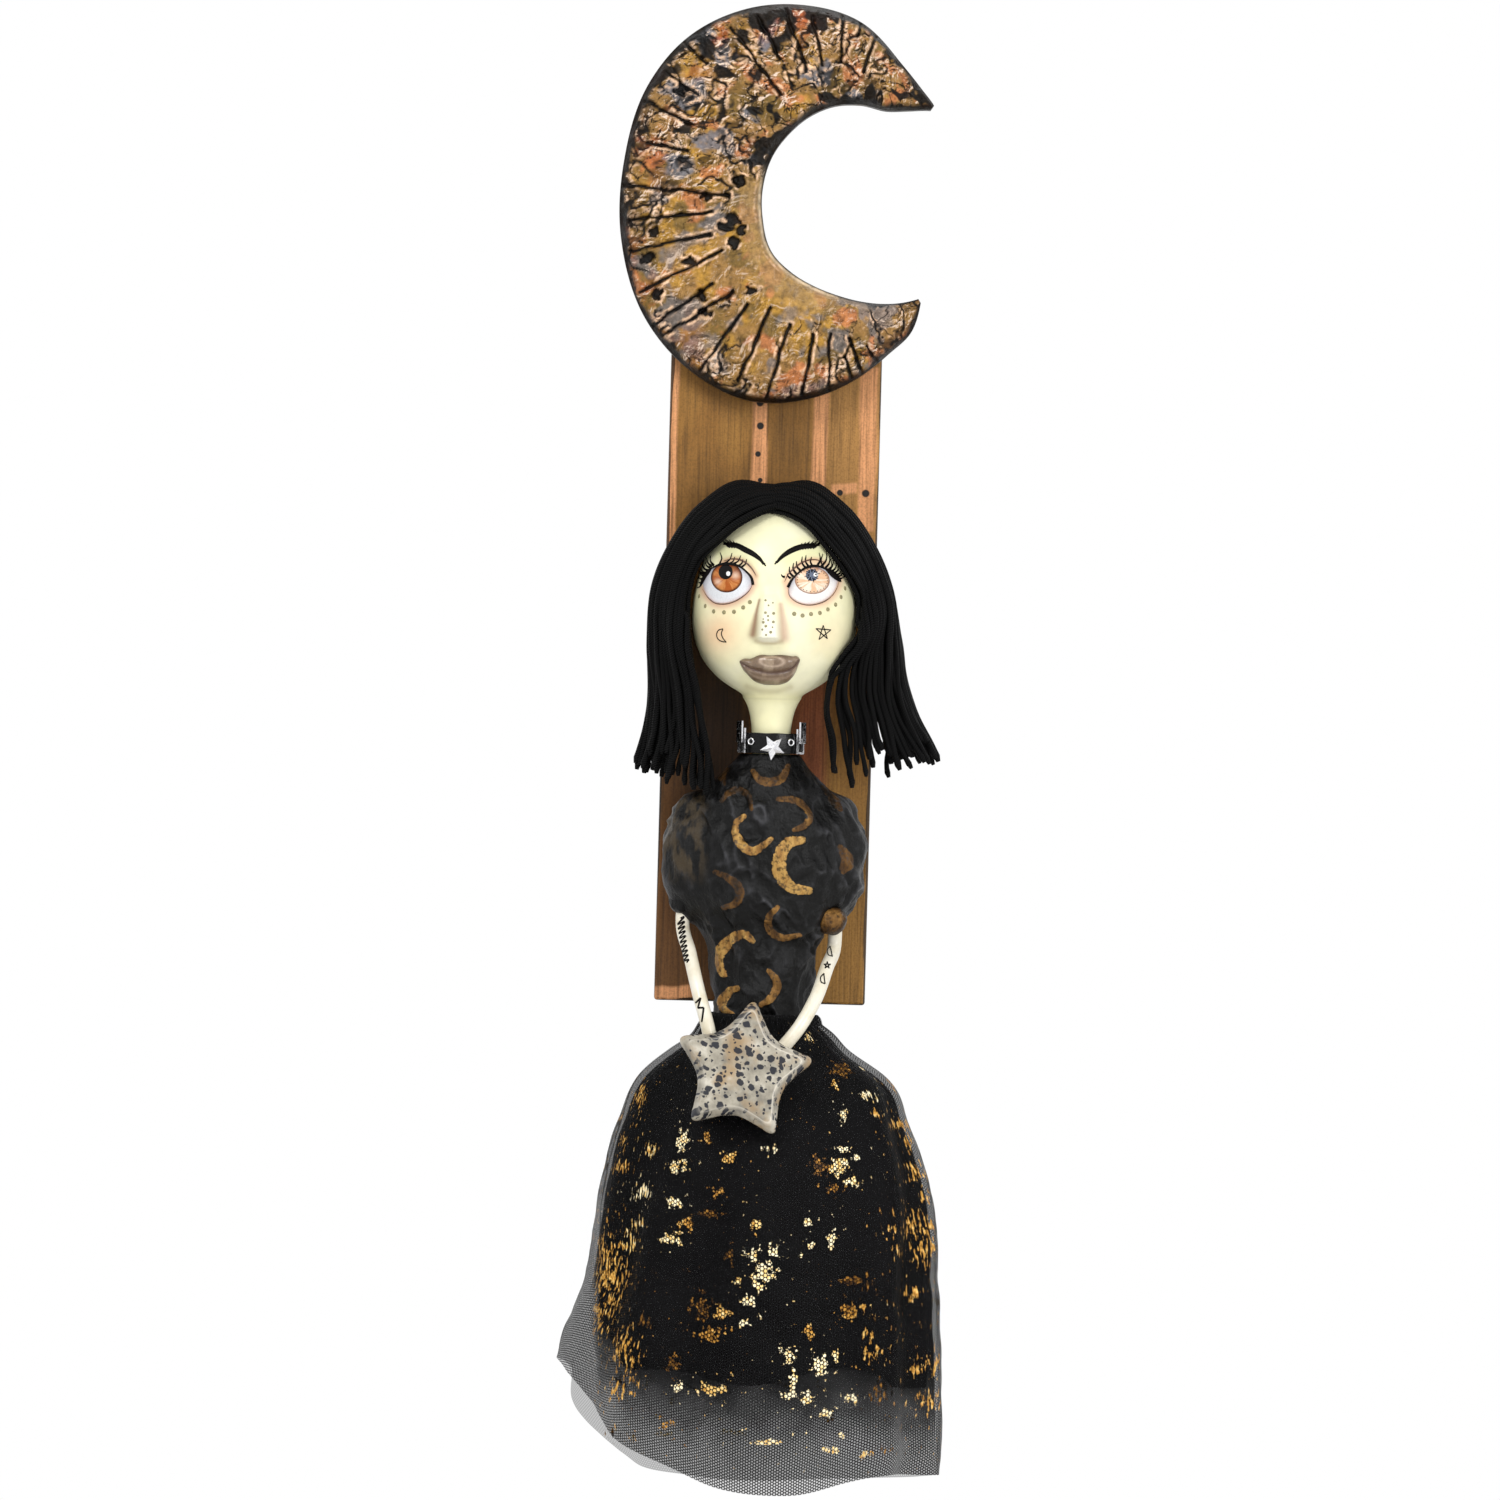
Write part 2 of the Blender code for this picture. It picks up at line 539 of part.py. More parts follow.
def hair_guides(side):
    """Three lines that one side's hair follows from the parting to the tips: along the face, along
    the outline seen from the front, and behind, next to the board. Side is -1 left, 1 right."""
    half = HAIR_THICKNESS / 2
    crown = HEAD_Z + HEAD_RISE + GAP + half
    jaw = HEAD_HALF_WIDTH
    face_line = {
        -1: [(0.0, 0.0452), (-0.0140, 0.0390), (-0.0248, 0.0318), (-0.0318, 0.0230), (-0.0352, 0.0080),
             (-0.0348, -0.0105), (-0.0305, -0.0300), (-0.0275, -0.0490), (-0.0248, -0.0705)],
        1: [(0.0, 0.0452), (0.0165, 0.0370), (0.0235, 0.0304), (0.0308, 0.0200), (0.0350, 0.0070),
            (0.0345, -0.0080), (0.0240, -0.0215), (0.0222, -0.0360), (0.0245, -0.0540), (0.0262, -0.0680)],
    }[side]
    front = []
    for x, rise in face_line:
        z = HEAD_Z + rise
        hug = float(head_front(HEAD_X + x * min(1.0, 0.97 * jaw / max(abs(x), 1e-6)), max(z, CHIN_Z + 0.006)))
        fall = HEAD_Y - 0.0125 if rise < 0 else hug
        front.append((HEAD_X + x, min(hug, fall) - GAP - half if rise > 0.004 else fall - half, z))
    outline = {
        -1: [(-0.0003, 0.0), (-0.0150, -0.0006), (-0.0302, -0.0080), (-0.0422, -0.0240), (-0.0492, -0.0425),
             (-0.0500, -0.0645), (-0.0484, -0.0870), (-0.0496, -0.1010), (-0.0526, -0.1140)],
        1: [(0.0003, 0.0), (0.0131, 0.0000), (0.0276, -0.0080), (0.0386, -0.0225), (0.0472, -0.0425),
            (0.0503, -0.0620), (0.0525, -0.0810), (0.0568, -0.0940), (0.0645, -0.1075)],
    }[side]
    outer = [(HEAD_X + x, HEAD_Y + 0.003, crown + drop) for x, drop in outline]
    lean = 0.0 if side < 0 else 0.0060
    behind = [(0.0003 * side, -0.0060), (0.016 * side, -0.0125), (0.030 * side, -0.027),
              (0.0385 * side, -0.045), (0.0400 * side, -0.068), (0.0405 * side + lean, -0.092),
              (0.0410 * side + 1.5 * lean, -0.117)]
    back_y = SEAT_Y - HAIR_BACK - half - HAIR_RIDGE
    back = [(HEAD_X + x, back_y - 0.0022 * (i == 0), crown + drop) for i, (x, drop) in enumerate(behind)]
    return front, outer, back


def hair_sheet(side, across, along):
    """Points of one side's hair, between the three guides: across runs from the face (0) to the
    board (1), along from the parting (0) to the tips (1). Points inside the head are moved out."""
    front, outer, back = (smooth_line(guide, along) for guide in hair_guides(side))
    u = np.asarray(across, float)[:, None, None]
    points = (
        (2 * u**2 - 3 * u + 1) * front[None] + (4 * u - 4 * u**2) * outer[None] + (2 * u**2 - u) * back[None]
    )
    return clear_of_head(points)


def clear_of_head(points):
    """Moves points that lie too near the head straight out of it: from its middle in the upper
    half, from its upright line below, and never into the board."""
    clear = GAP + HAIR_AIR + HAIR_THICKNESS / 2
    x, y, z = points[..., 0] - HEAD_X, points[..., 1] - HEAD_Y, points[..., 2] - HEAD_Z
    upper = z > 0
    wide = np.where(upper, HEAD_HALF_WIDTH, head_half(z + HEAD_Z, HEAD_HALF_WIDTH)) + clear
    deep = np.where(upper, HEAD_HALF_DEPTH, head_half(z + HEAD_Z, HEAD_HALF_DEPTH)) + clear
    rise = np.where(upper, z / (HEAD_RISE + clear), 0.0)
    size = np.sqrt((x / wide) ** 2 + (y / deep) ** 2 + rise**2)
    grow = 1 / np.clip(size, 1e-6, 1.0)
    points = np.stack([HEAD_X + x * grow, HEAD_Y + y * grow, HEAD_Z + z * np.where(upper, grow, 1.0)], axis=-1)
    limit = SEAT_Y - HAIR_BACK - HAIR_THICKNESS / 2 - HAIR_RIDGE
    points[..., 1] = np.minimum(points[..., 1], limit)
    return points


def make_hair(yarn):
    """Locks side by side from the face to the board, each a flat bundle with yarn ridges outside
    and a blunt cut end. Neighbours keep a small gap, and so do the two sides at the parting."""
    lock_ends = (0.985, 1.0, 0.965, 0.99, 0.955, 0.985, 0.97)
    for side, side_name in ((-1, "left"), (1, "right")):
        for lock in range(HAIR_LOCKS):
            end = lock_ends[lock % len(lock_ends)]
            along = np.linspace(0.004, end, 14)
            make_lock(f"hair_{side_name}_{lock + 1}", side, lock, along, yarn)


def make_lock(name, side, lock, along, yarn):
    """One lock: its outer side is a row of round ridges, its inner side is plain."""
    low, high = lock / HAIR_LOCKS, (lock + 1) / HAIR_LOCKS
    inset = HAIR_LOCK_GAP / 2 / 0.060
    low, high = low + inset, high - inset
    outer_count = 2 * HAIR_STRANDS + 1
    across = np.linspace(low, high, outer_count)
    middle = hair_sheet(side, across, along)
    normal = sheet_normals(side, across, along)
    half = HAIR_THICKNESS / 2
    edge = np.sin(np.linspace(0, math.pi, outer_count)) ** 0.5
    ridge = np.abs(np.sin(np.linspace(0, HAIR_STRANDS * math.pi, outer_count)))
    rise = half * (0.45 + 0.55 * edge) + HAIR_RIDGE * ridge - HAIR_RIDGE * 0.5
    outside = middle + normal * rise[:, None, None]
    inner = [outer_count - 1, outer_count // 2, 0]
    sink = np.array([0.5, 1.0, 0.5]) * half
    inside = middle[inner] - normal[inner] * sink[:, None, None]
    loop = np.concatenate([outside, inside])
    rings = np.transpose(loop, (1, 0, 2))
    return loft(name, rings, yarn, sharp_degrees=50)


def sheet_normals(side, across, along):
    """Unit vectors out of the hair's sheet, away from the head."""
    step = 0.004
    du = hair_sheet(side, across + step, along) - hair_sheet(side, across - step, along)
    dv = hair_sheet(side, across, along + step) - hair_sheet(side, across, along - step)
    normal = np.cross(du, dv) * -side
    return normal / np.linalg.norm(normal, axis=-1, keepdims=True)


def strap_half():
    """Half-width and half-depth of the strap's inner face: it hugs the neck front and back."""
    neck = float(head_half(BODICE_TOP, HEAD_HALF_WIDTH))
    return neck + STRAP_SPREAD, neck + CHIN_FLARE * 0.3 + GAP


def strap_place(degrees, out):
    """A point round the strap and the direction straight out of it. 0 degrees is the front."""
    wide, deep = strap_half()
    a = math.radians(degrees)
    wide, deep = wide + STRAP_THICKNESS, deep + STRAP_THICKNESS
    place = Vector((HEAD_X + wide * math.sin(a), HEAD_Y - deep * math.cos(a), 0))
    normal = Vector((math.sin(a) / wide, -math.cos(a) / deep, 0)).normalized()
    return place + normal * out, normal


def lay_on_strap(obj, degrees, out, z):
    """Turns a piece modelled facing -Y so that it lies on the strap."""
    place, normal = strap_place(degrees, out)
    obj.location = (place.x, place.y, z)
    obj.rotation_euler = (0, 0, math.atan2(normal.x, -normal.y))
    return obj


def make_choker(leather, silver):
    """Strap round the neck on top of the bodice, with a star stud, two eyelets and, at the sides,
    two wire buckles with their strap tabs."""
    low = BODICE_TOP + GAP
    wide, deep = strap_half()
    rings = []
    for a in np.linspace(0, 2 * math.pi, 40, endpoint=False):
        s, c = math.sin(a), math.cos(a)
        ring = []
        for out, up in ((0, 0), (STRAP_THICKNESS, 0), (STRAP_THICKNESS, STRAP_HEIGHT), (0, STRAP_HEIGHT)):
            ring.append((HEAD_X + (wide + out) * s, HEAD_Y - (deep + out) * c, low + up))
        rings.append(ring)
    loft("choker_strap", rings, leather, wraps=True)

    middle = low + STRAP_HEIGHT / 2
    stud = make_stud(silver)
    lay_on_strap(stud, 3.0, GAP, low + STUD_RADIUS * 0.45)
    for side, sign in (("left", -1), ("right", 1)):
        lay_on_strap(make_eyelet(f"eyelet_{side}", silver), sign * EYELET_ANGLE, GAP, middle + 0.0006)
        buckle = make_buckle(f"buckle_{side}", silver)
        lay_on_strap(buckle, sign * BUCKLE_ANGLE, GAP, low + BUCKLE_HEIGHT / 2)
        tab = make_tab(f"buckle_tab_{side}", silver)
        lay_on_strap(tab, sign * BUCKLE_ANGLE, BUCKLE_WIRE + 2 * GAP + TAB_THICKNESS / 2, low + BUCKLE_HEIGHT * 0.85)


def make_stud(silver):
    """A five-pointed star with one point down and its face rising to the middle."""
    outline = []
    for i in range(10):
        reach = STUD_RADIUS if i % 2 == 0 else STUD_WAIST
        turn = math.radians(-90 + 36 * i - 6)
        outline.append((reach * math.cos(turn), reach * math.sin(turn)))
    rim = STUD_THICKNESS * 0.25
    points = [(x, 0, z) for x, z in outline] + [(x, -rim, z) for x, z in outline]
    points.append((0, -STUD_THICKNESS, 0))
    faces = [tuple(range(10))]
    for i in range(10):
        j = (i + 1) % 10
        faces += [(i, j, j + 10, i + 10), (i + 10, j + 10, 20)]
    return add_object("choker_star", mesh_of("choker_star", points, faces), silver, 10)


def make_eyelet(name, silver):
    """A round wire ring standing on its edge, seen face on from the front."""
    rings = []
    for a in np.linspace(0, 2 * math.pi, 20, endpoint=False):
        ring = []
        for b in np.linspace(0, 2 * math.pi, 8, endpoint=False):
            reach = EYELET_RADIUS - EYELET_WIRE + EYELET_WIRE * math.cos(b)
            ring.append((reach * math.cos(a), -EYELET_WIRE + EYELET_WIRE * math.sin(b), reach * math.sin(a)))
        rings.append(ring)
    return loft(name, rings, silver, wraps=True)


def make_buckle(name, silver):
    """An upright oblong frame of square wire."""
    half, tall = BUCKLE_WIDTH / 2, BUCKLE_HEIGHT / 2
    rings = []
    for x, z in ((-half, -tall), (half, -tall), (half, tall), (-half, tall)):
        inner = (x - math.copysign(BUCKLE_WIRE, x), z - math.copysign(BUCKLE_WIRE, z))
        rings.append([(x, 0, z), (x, -BUCKLE_WIRE, z), (inner[0], -BUCKLE_WIRE, inner[1]), (inner[0], 0, inner[1])])
    return loft(name, rings, silver, wraps=True)


def make_tab(name, silver):
    """The bright end of the strap, standing up out of its buckle."""
    half, tall = TAB_WIDTH / 2, TAB_HEIGHT / 2
    return box(name, (-half, -TAB_THICKNESS, -tall), (half, 0, tall), silver)


def bodice_forms():
    """The egg-shaped forms that the bodice is moulded from: middle and half-sizes of each."""
    sleeve_z = BODICE_TOP - SLEEVE_DROP
    sleeve = (SLEEVE_HALF_WIDTH, SLEEVE_HALF_DEPTH, SLEEVE_HALF_HEIGHT)
    wide, deep = (half + STRAP_THICKNESS - COLLAR_INSET for half in strap_half())
    return [
        ((HEAD_X, HEAD_Y, BODICE_TOP - COLLAR_HALF_HEIGHT * 0.5), (wide, deep, COLLAR_HALF_HEIGHT)),
        ((BODY_X, BODY_Y, BODICE_TOP - CHEST_DROP), (CHEST_HALF_WIDTH, CHEST_HALF_DEPTH, CHEST_HALF_HEIGHT)),
        ((BODY_X - SLEEVE_SPREAD, BODY_Y + 0.004, sleeve_z), sleeve),
        ((BODY_X + SLEEVE_SPREAD, BODY_Y + 0.004, sleeve_z), sleeve),
        ((BODY_X, BODY_Y + 0.001, BODICE_BOTTOM + 0.008), (HIP_HALF_WIDTH, HIP_HALF_DEPTH, 0.016)),
    ]


def bodice_field(x, y, z):
    """Below zero inside the bodice: a soft union of its forms and of the tapering waist."""
    distances = []
    for middle, half in bodice_forms():
        size = np.sqrt(sum(((p - m) / h) ** 2 for p, m, h in zip((x, y, z), middle, half)))
        distances.append((size - 1) * min(half))
    ribs_z = BODICE_TOP - 0.066
    wide = smooth_value(((BODICE_BOTTOM, WAIST_HALF_WIDTH), (WAIST_Z, WAIST_HALF_WIDTH),
                         (ribs_z, RIBS_HALF_WIDTH), (BODICE_TOP, 0.010)), z)
    deep = wide * WAIST_HALF_DEPTH / WAIST_HALF_WIDTH
    size = np.sqrt(((x - BODY_X) / wide) ** 2 + ((y - BODY_Y) / deep) ** 2)
    distances.append((size - 1) * WAIST_HALF_DEPTH)
    return -BODICE_BLEND * np.log(sum(np.exp(-d / BODICE_BLEND) for d in distances))


def bodice_reach(turns, z):
    """How far the bodice reaches from its middle line in each direction, at one height."""
    reach = np.linspace(0.070, 0.002, 171)[:, None]
    x, y = BODY_X + reach * np.cos(turns), BODY_Y + reach * np.sin(turns)
    field = bodice_field(x, y, np.full_like(x, z))
    first = np.argmax(field < 0, axis=0)
    first = np.maximum(first, 1)
    rows = np.arange(len(turns))
    before, after = field[first - 1, rows], field[first, rows]
    share = before / (before - after)
    found = reach[first - 1, 0] + share * (reach[first, 0] - reach[first - 1, 0])
    crease = np.sin(5 * turns + 190 * z) * np.sin(3 * turns - 130 * z + 1.0)
    return found + BODICE_CREASE * crease * min(1.0, (BODICE_TOP - z) / 0.020)


def make_bodice(cloth):
    """Chest, puff sleeves, waist and hips in one, flat where it lies on the board, with a socket
    for the neck and one in each cuff."""
    turns = np.linspace(0, 2 * math.pi, 40, endpoint=False)
    top = BODICE_TOP
    levels = top - np.concatenate([
        [0.0, 0.0015, 0.0045],
        np.linspace(0.0090, 0.0740, 13),
        np.linspace(0.0790, WAIST_DROP, 5),
        WAIST_DROP + HIP_LENGTH * np.array([0.25, 0.5, 0.75, 1.0]),
    ])
    rings = []
    for z in levels:
        reach = bodice_reach(turns, z)
        x, y = BODY_X + reach * np.cos(turns), BODY_Y + reach * np.sin(turns)
        rings.append(np.stack([x, np.minimum(y, SEAT_Y), np.full_like(x, z)], axis=1))
    bodice = loft("bodice", rings, cloth)
    for side in ("left", "right"):
        middle, radius = cuff(side)
        knob = ball(f"cuff_{side}", middle, (radius, radius, radius * 1.12), 16, 10)
        boolean(bodice, knob, "UNION")
    neck = float(head_half(BODICE_TOP, HEAD_HALF_WIDTH)) + GAP
    socket = turned("neck_socket", [(neck, -NECK_SEAT - GAP), (neck, 0.006)], sides=28)
    socket.location = (HEAD_X, HEAD_Y, BODICE_TOP)
    boolean(bodice, socket, "DIFFERENCE")
    for side in ("left", "right"):
        line = arm_line(side)
        start, onward = Vector(line[0]), Vector(line[1])
        hole = turned(f"arm_socket_{side}", [(ARM_RADIUS + GAP, -GAP), (ARM_RADIUS + GAP, ARM_SEAT * 2.2)])
        hole.location = start
        hole.rotation_mode = "QUATERNION"
        hole.rotation_quaternion = (onward - start).to_track_quat("Z", "Y")
        boolean(bodice, hole, "DIFFERENCE")
    return bodice


def cuff(side):
    """Middle and radius of the knob that ends a sleeve."""
    offset, radius = (LEFT_CUFF, LEFT_CUFF_RADIUS) if side == "left" else (RIGHT_CUFF, RIGHT_CUFF_RADIUS)
    return Vector((HEAD_X + offset[0], BODY_Y + offset[1], BODICE_TOP + offset[2])), radius


def star_frame():
    """The star's own axes: its back lies in the XZ plane, its face looks along -Y."""
    middle = Vector((STAR_X, SKIRT_Y - STAR_STANDOFF, WAIST_Z - STAR_DROP))
    turn = Matrix.Rotation(math.radians(STAR_TURN), 4, "Y").inverted()
    return Matrix.Translation(middle) @ Matrix.Rotation(math.radians(-STAR_TILT), 4, "X") @ turn


def star_back_y(z):
    """Y of the star's back at a height."""
    rise = z - (WAIST_Z - STAR_DROP)
    return SKIRT_Y - STAR_STANDOFF + rise * math.tan(math.radians(STAR_TILT))


def arm_line(side):
    """The route of an arm: straight out of its cuff, down and inwards, and in behind the star."""
    middle, radius = cuff(side)
    star_z = WAIST_Z - STAR_DROP
    hand_z, inner = star_z + 0.0060, ARM_RADIUS + GAP
    if side == "left":
        rows = [(-0.0333, 0.0), (-0.0296, 0.31), (-0.0254, 0.60), (-0.0216, 0.83)]
        hand = (STAR_X - 0.0120, hand_z)
        lean = Vector((0.06, 0, 1)).normalized()
    else:
        rows = [(0.0301, 0.0), (0.0278, 0.26), (0.0232, 0.55), (0.0170, 0.80)]
        hand = (STAR_X + 0.0130, hand_z)
        lean = Vector((0.05, 0, 1)).normalized()
    out = middle.z - radius
    start = Vector((middle.x, middle.y, out)) + lean * (ARM_SEAT - radius * 0.4)
    near = star_back_y(hand_z) + inner
    line = [start, Vector((middle.x, middle.y, out - 0.003))]
    for x, share in rows[1:]:
        z = out + (hand[1] + 0.004 - out) * share
        y = middle.y + (near - middle.y) * (1 - (1 - share) ** 1.8)
        line.append(Vector((x, max(y, star_back_y(z) + inner + 0.0006), z)))
    line.append(Vector((hand[0], near + 0.0008, hand[1])))
    return line


def make_arm(side, cream):
    """A bent tube, made as a round curve with filled ends."""
    line = smooth_line([tuple(p) for p in arm_line(side)], np.linspace(0, 1, 22))
    curve = bpy.data.curves.new(f"arm_{side}", "CURVE")
    curve.dimensions = "3D"
    curve.bevel_depth = ARM_RADIUS
    curve.bevel_resolution = 4
    curve.use_fill_caps = True
    spline = curve.splines.new("POLY")
    spline.points.add(len(line) - 1)
    for point, place in zip(spline.points, line):
        point.co = (*place, 1.0)
    curve.materials.append(cream)
    arm = bpy.data.objects.new(f"arm_{side}", curve)
    bpy.context.scene.collection.objects.link(arm)
    return arm


def star_outline(inset):
    """The star's edge moved in by inset: tips and hollows rounded, straight between them."""
    tip, hollow = STAR_RADIUS - inset * 1.5, STAR_WAIST_RADIUS - inset * 1.05
    corners = []
    for i in range(10):
        reach = tip if i % 2 == 0 else hollow
        turn = math.radians(90 + 36 * i)
        corners.append(np.array([reach * math.cos(turn), reach * math.sin(turn)]))
    points = []
    for i, corner in enumerate(corners):
        before, after = corners[i - 1], corners[(i + 1) % 10]
        start = corner + (before - corner) * STAR_ROUNDING
        end = corner + (after - corner) * STAR_ROUNDING
        push = 1.10 if i % 2 == 0 else 1.0
        for t in (0.0, 0.28, 0.5, 0.72, 1.0):
            points.append((1 - t) ** 2 * start + 2 * t * (1 - t) * corner * push + t * t * end)
    return points


def make_star(stone):
    """A tumbled stone star: rounded tips and hollows, rounded rims and a low domed face."""
    face, rim = STAR_THICKNESS + STAR_DOME, STAR_RIM
    rings = []
    for inset, out in ((rim, 0.0), (rim * 0.3, rim * 0.3), (0.0, rim), (0.0, STAR_THICKNESS - rim),
                       (rim * 0.3, STAR_THICKNESS - rim * 0.3), (rim, STAR_THICKNESS),
                       (0.0045, STAR_THICKNESS + STAR_DOME * 0.5), (0.0090, STAR_THICKNESS + STAR_DOME * 0.85),
                       (0.0150, face)):
        rings.append([(x, -out, z) for x, z in star_outline(inset)])
    star = loft("stone_star", rings, stone, sharp_degrees=60)
    star.matrix_world = star_frame()
    return star


def skirt_layer(inset, length_share):
    """A net of points round one layer of the skirt, from its gathered top down to its hem."""
    turns = np.linspace(0, 2 * math.pi, SKIRT_COLUMNS, endpoint=False)
    hem = WAIST_Z - SKIRT_LENGTH + smooth_value(SKIRT_HEM_RISE, np.degrees(turns))
    share = np.linspace(0, 1, SKIRT_ROWS) ** 1.6
    share = np.append(share[share < length_share - 0.03], length_share)
    top = WAIST_Z + SKIRT_HEADING
    z = top + share[:, None] * (hem - top)[None]
    drop = np.clip(WAIST_Z - z, 0, None) * 0.201 / SKIRT_LENGTH
    fullness = np.clip(drop / 0.110, 0, 1)
    gather = FOLD_DEPTH * (0.25 + 0.75 * fullness)
    turned_on = turns[None] + 0.25 * fullness
    folds = 0.62 * np.sin(SKIRT_FOLDS * turned_on + 0.6) + 0.38 * np.sin(SKIRT_SMALL_FOLDS * turned_on + 2.1)
    held = SKIRT_THICKNESS + 2 * GAP
    layer = inset * (held + (SKIRT_LAYER_SPREAD - held) * fullness)
    bottom_fit = HIP_HALF_WIDTH + 3 * held + FOLD_DEPTH * 0.25
    under = np.clip(drop - layer, 0, None)
    left = bottom_fit + smooth_value(SKIRT_LEFT, under)
    right = bottom_fit + smooth_value(SKIRT_RIGHT, under)
    front = HIP_HALF_DEPTH + 3 * held + FOLD_DEPTH * 0.25 + smooth_value(SKIRT_FRONT, under)
    wide = np.where(np.cos(turns)[None] < 0, left, right)
    x = BODY_X + (wide + gather * folds - gather - layer) * np.cos(turns)
    y = SKIRT_Y + (front + gather * folds - layer) * np.sin(turns)
    wall = -WALL_CLEARANCE - layer
    y = np.where(y > wall - 0.012, wall - 0.012 * np.exp(-(y - wall + 0.012) / 0.012), y)
    return np.stack([x, y, z], axis=-1)


def make_skirt_layer(name, inset, length_share, cloth):
    """One layer: an open sheet joined into a tube, given its thickness inwards."""
    points = skirt_layer(inset, length_share)
    rows, count = points.shape[:2]
    faces = []
    for row in range(rows - 1):
        for i in range(count):
            j = (i + 1) % count
            faces.append((row * count + i, (row + 1) * count + i, (row + 1) * count + j, row * count + j))
    mesh = bpy.data.meshes.new(name)
    mesh.from_pydata([tuple(p) for p in points.reshape(-1, 3)], [], faces)
    layer = add_object(name, mesh, cloth, 60)
    wall = layer.modifiers.new("thickness", "SOLIDIFY")
    wall.thickness = SKIRT_THICKNESS
    wall.offset = -1.0
    return layer


def main():
    clear_scene()
    wood = finish("painted_wood", (0.52, 0.38, 0.20), 0.55, 0.3)
    steel = finish("zinc_steel", (0.70, 0.71, 0.72), 0.35, 1.0)
    metal = finish("antique_gold_paint", (0.45, 0.36, 0.22), 0.4, 0.5)
    skin = finish("pale_painted_clay", (0.95, 0.93, 0.78), 0.35)
    lip_paint = finish("taupe_lip_paint", (0.49, 0.39, 0.32), 0.35)
    yarn = finish("black_yarn", (0.05, 0.05, 0.05), 0.95)
    leather = finish("black_patent_leather", (0.03, 0.03, 0.03), 0.2)
    silver = finish("silver_plate", (0.86, 0.86, 0.88), 0.2, 1.0)
    cloth = finish("black_painted_paper", (0.09, 0.09, 0.10), 0.5)
    cream = finish("cream_tube", (0.91, 0.89, 0.82), 0.4)
    stone = finish("spotted_stone", (0.68, 0.65, 0.58), 0.15)
    net = finish("black_tulle", (0.04, 0.04, 0.05), 0.8)
    lining = finish("black_lining", (0.03, 0.03, 0.03), 0.9)

    make_board(wood, steel)
    make_moon(metal)
    make_head(skin, lip_paint)
    make_hair(yarn)
    make_choker(leather, silver)
    make_bodice(cloth)
    make_arm("left", cream)
    make_arm("right", cream)
    make_star(stone)
    make_skirt_layer("skirt_outer_net", 0, 1.0, net)
    make_skirt_layer("skirt_middle_net", 1, MIDDLE_LENGTH_SHARE, net)
    make_skirt_layer("skirt_lining", 2, LINING_LENGTH_SHARE, lining)
    for obj in bpy.context.scene.objects:
        if obj.type == "MESH" and obj.matrix_basis == Matrix.Identity(4):
            centre_origin(obj)


main()
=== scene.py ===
# %% [markdown]
# # A wall doll under a crescent moon
#
# A papier-mache doll with yarn hair and a tulle skirt is glued to the front of a bronze-washed pine board.
# A clay crescent moon sits on the board's top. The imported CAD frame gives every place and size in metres,
# with the wall behind at Y = 0 and the doll looking along -Y. This lesson dresses that frame: each piece is a
# surface worked out with numpy, and each finish is built from shader nodes.

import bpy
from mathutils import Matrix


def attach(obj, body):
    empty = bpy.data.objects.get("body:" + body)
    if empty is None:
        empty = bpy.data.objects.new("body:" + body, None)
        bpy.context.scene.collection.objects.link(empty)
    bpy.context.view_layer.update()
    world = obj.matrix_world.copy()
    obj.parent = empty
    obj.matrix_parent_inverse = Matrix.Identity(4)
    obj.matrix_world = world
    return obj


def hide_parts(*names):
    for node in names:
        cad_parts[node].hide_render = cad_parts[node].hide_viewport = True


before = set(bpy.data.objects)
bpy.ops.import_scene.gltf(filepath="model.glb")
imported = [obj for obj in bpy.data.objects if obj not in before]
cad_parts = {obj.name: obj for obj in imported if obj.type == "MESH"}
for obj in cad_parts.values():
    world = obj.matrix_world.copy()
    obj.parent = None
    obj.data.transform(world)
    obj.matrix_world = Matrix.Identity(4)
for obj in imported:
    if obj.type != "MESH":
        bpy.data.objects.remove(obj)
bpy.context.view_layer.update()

# %% Modules
import math

import bpy
import numpy as np
from mathutils import Matrix, Vector

print(len(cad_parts), "CAD nodes")

# %% [markdown]
# ## Small tools
#
# Paint makers quote colours as sRGB hex values, but shaders count in linear light, so one function turns one
# into the other. A second adds a shader node with its settings and links. Numbers that the CAD used, such as
# the smooth line through a few points, come back here under the same names, so that the new surfaces land
# exactly on the solids.

# %% Colour from hex to linear light
def linear(colour):
    """sRGB to linear: below 0.04045 a share is divided by 12.92, above it is ((c + 0.055) / 1.055) to the 2.4."""
    share = np.array([int(colour[i:i + 2], 16) for i in (1, 3, 5)]) / 255
    share = np.where(share <= 0.04045, share / 12.92, ((share + 0.055) / 1.055) ** 2.4)
    return tuple(float(s) for s in share) + (1.0,)


print("mid grey #808080 is", round(linear("#808080")[0], 3), "in linear light")

# %% One function adds a node
MAIN_OUTPUT = {"ShaderNodeMix": 2, "ShaderNodeTexCoord": 3}
TREES = []                                # the last one is the tree that nodes go into
SMOOTH = {"interpolation_type": "SMOOTHSTEP"}
COLOURS = {"data_type": "RGBA"}
TINT = {"data_type": "RGBA", "blend_type": "MULTIPLY"}


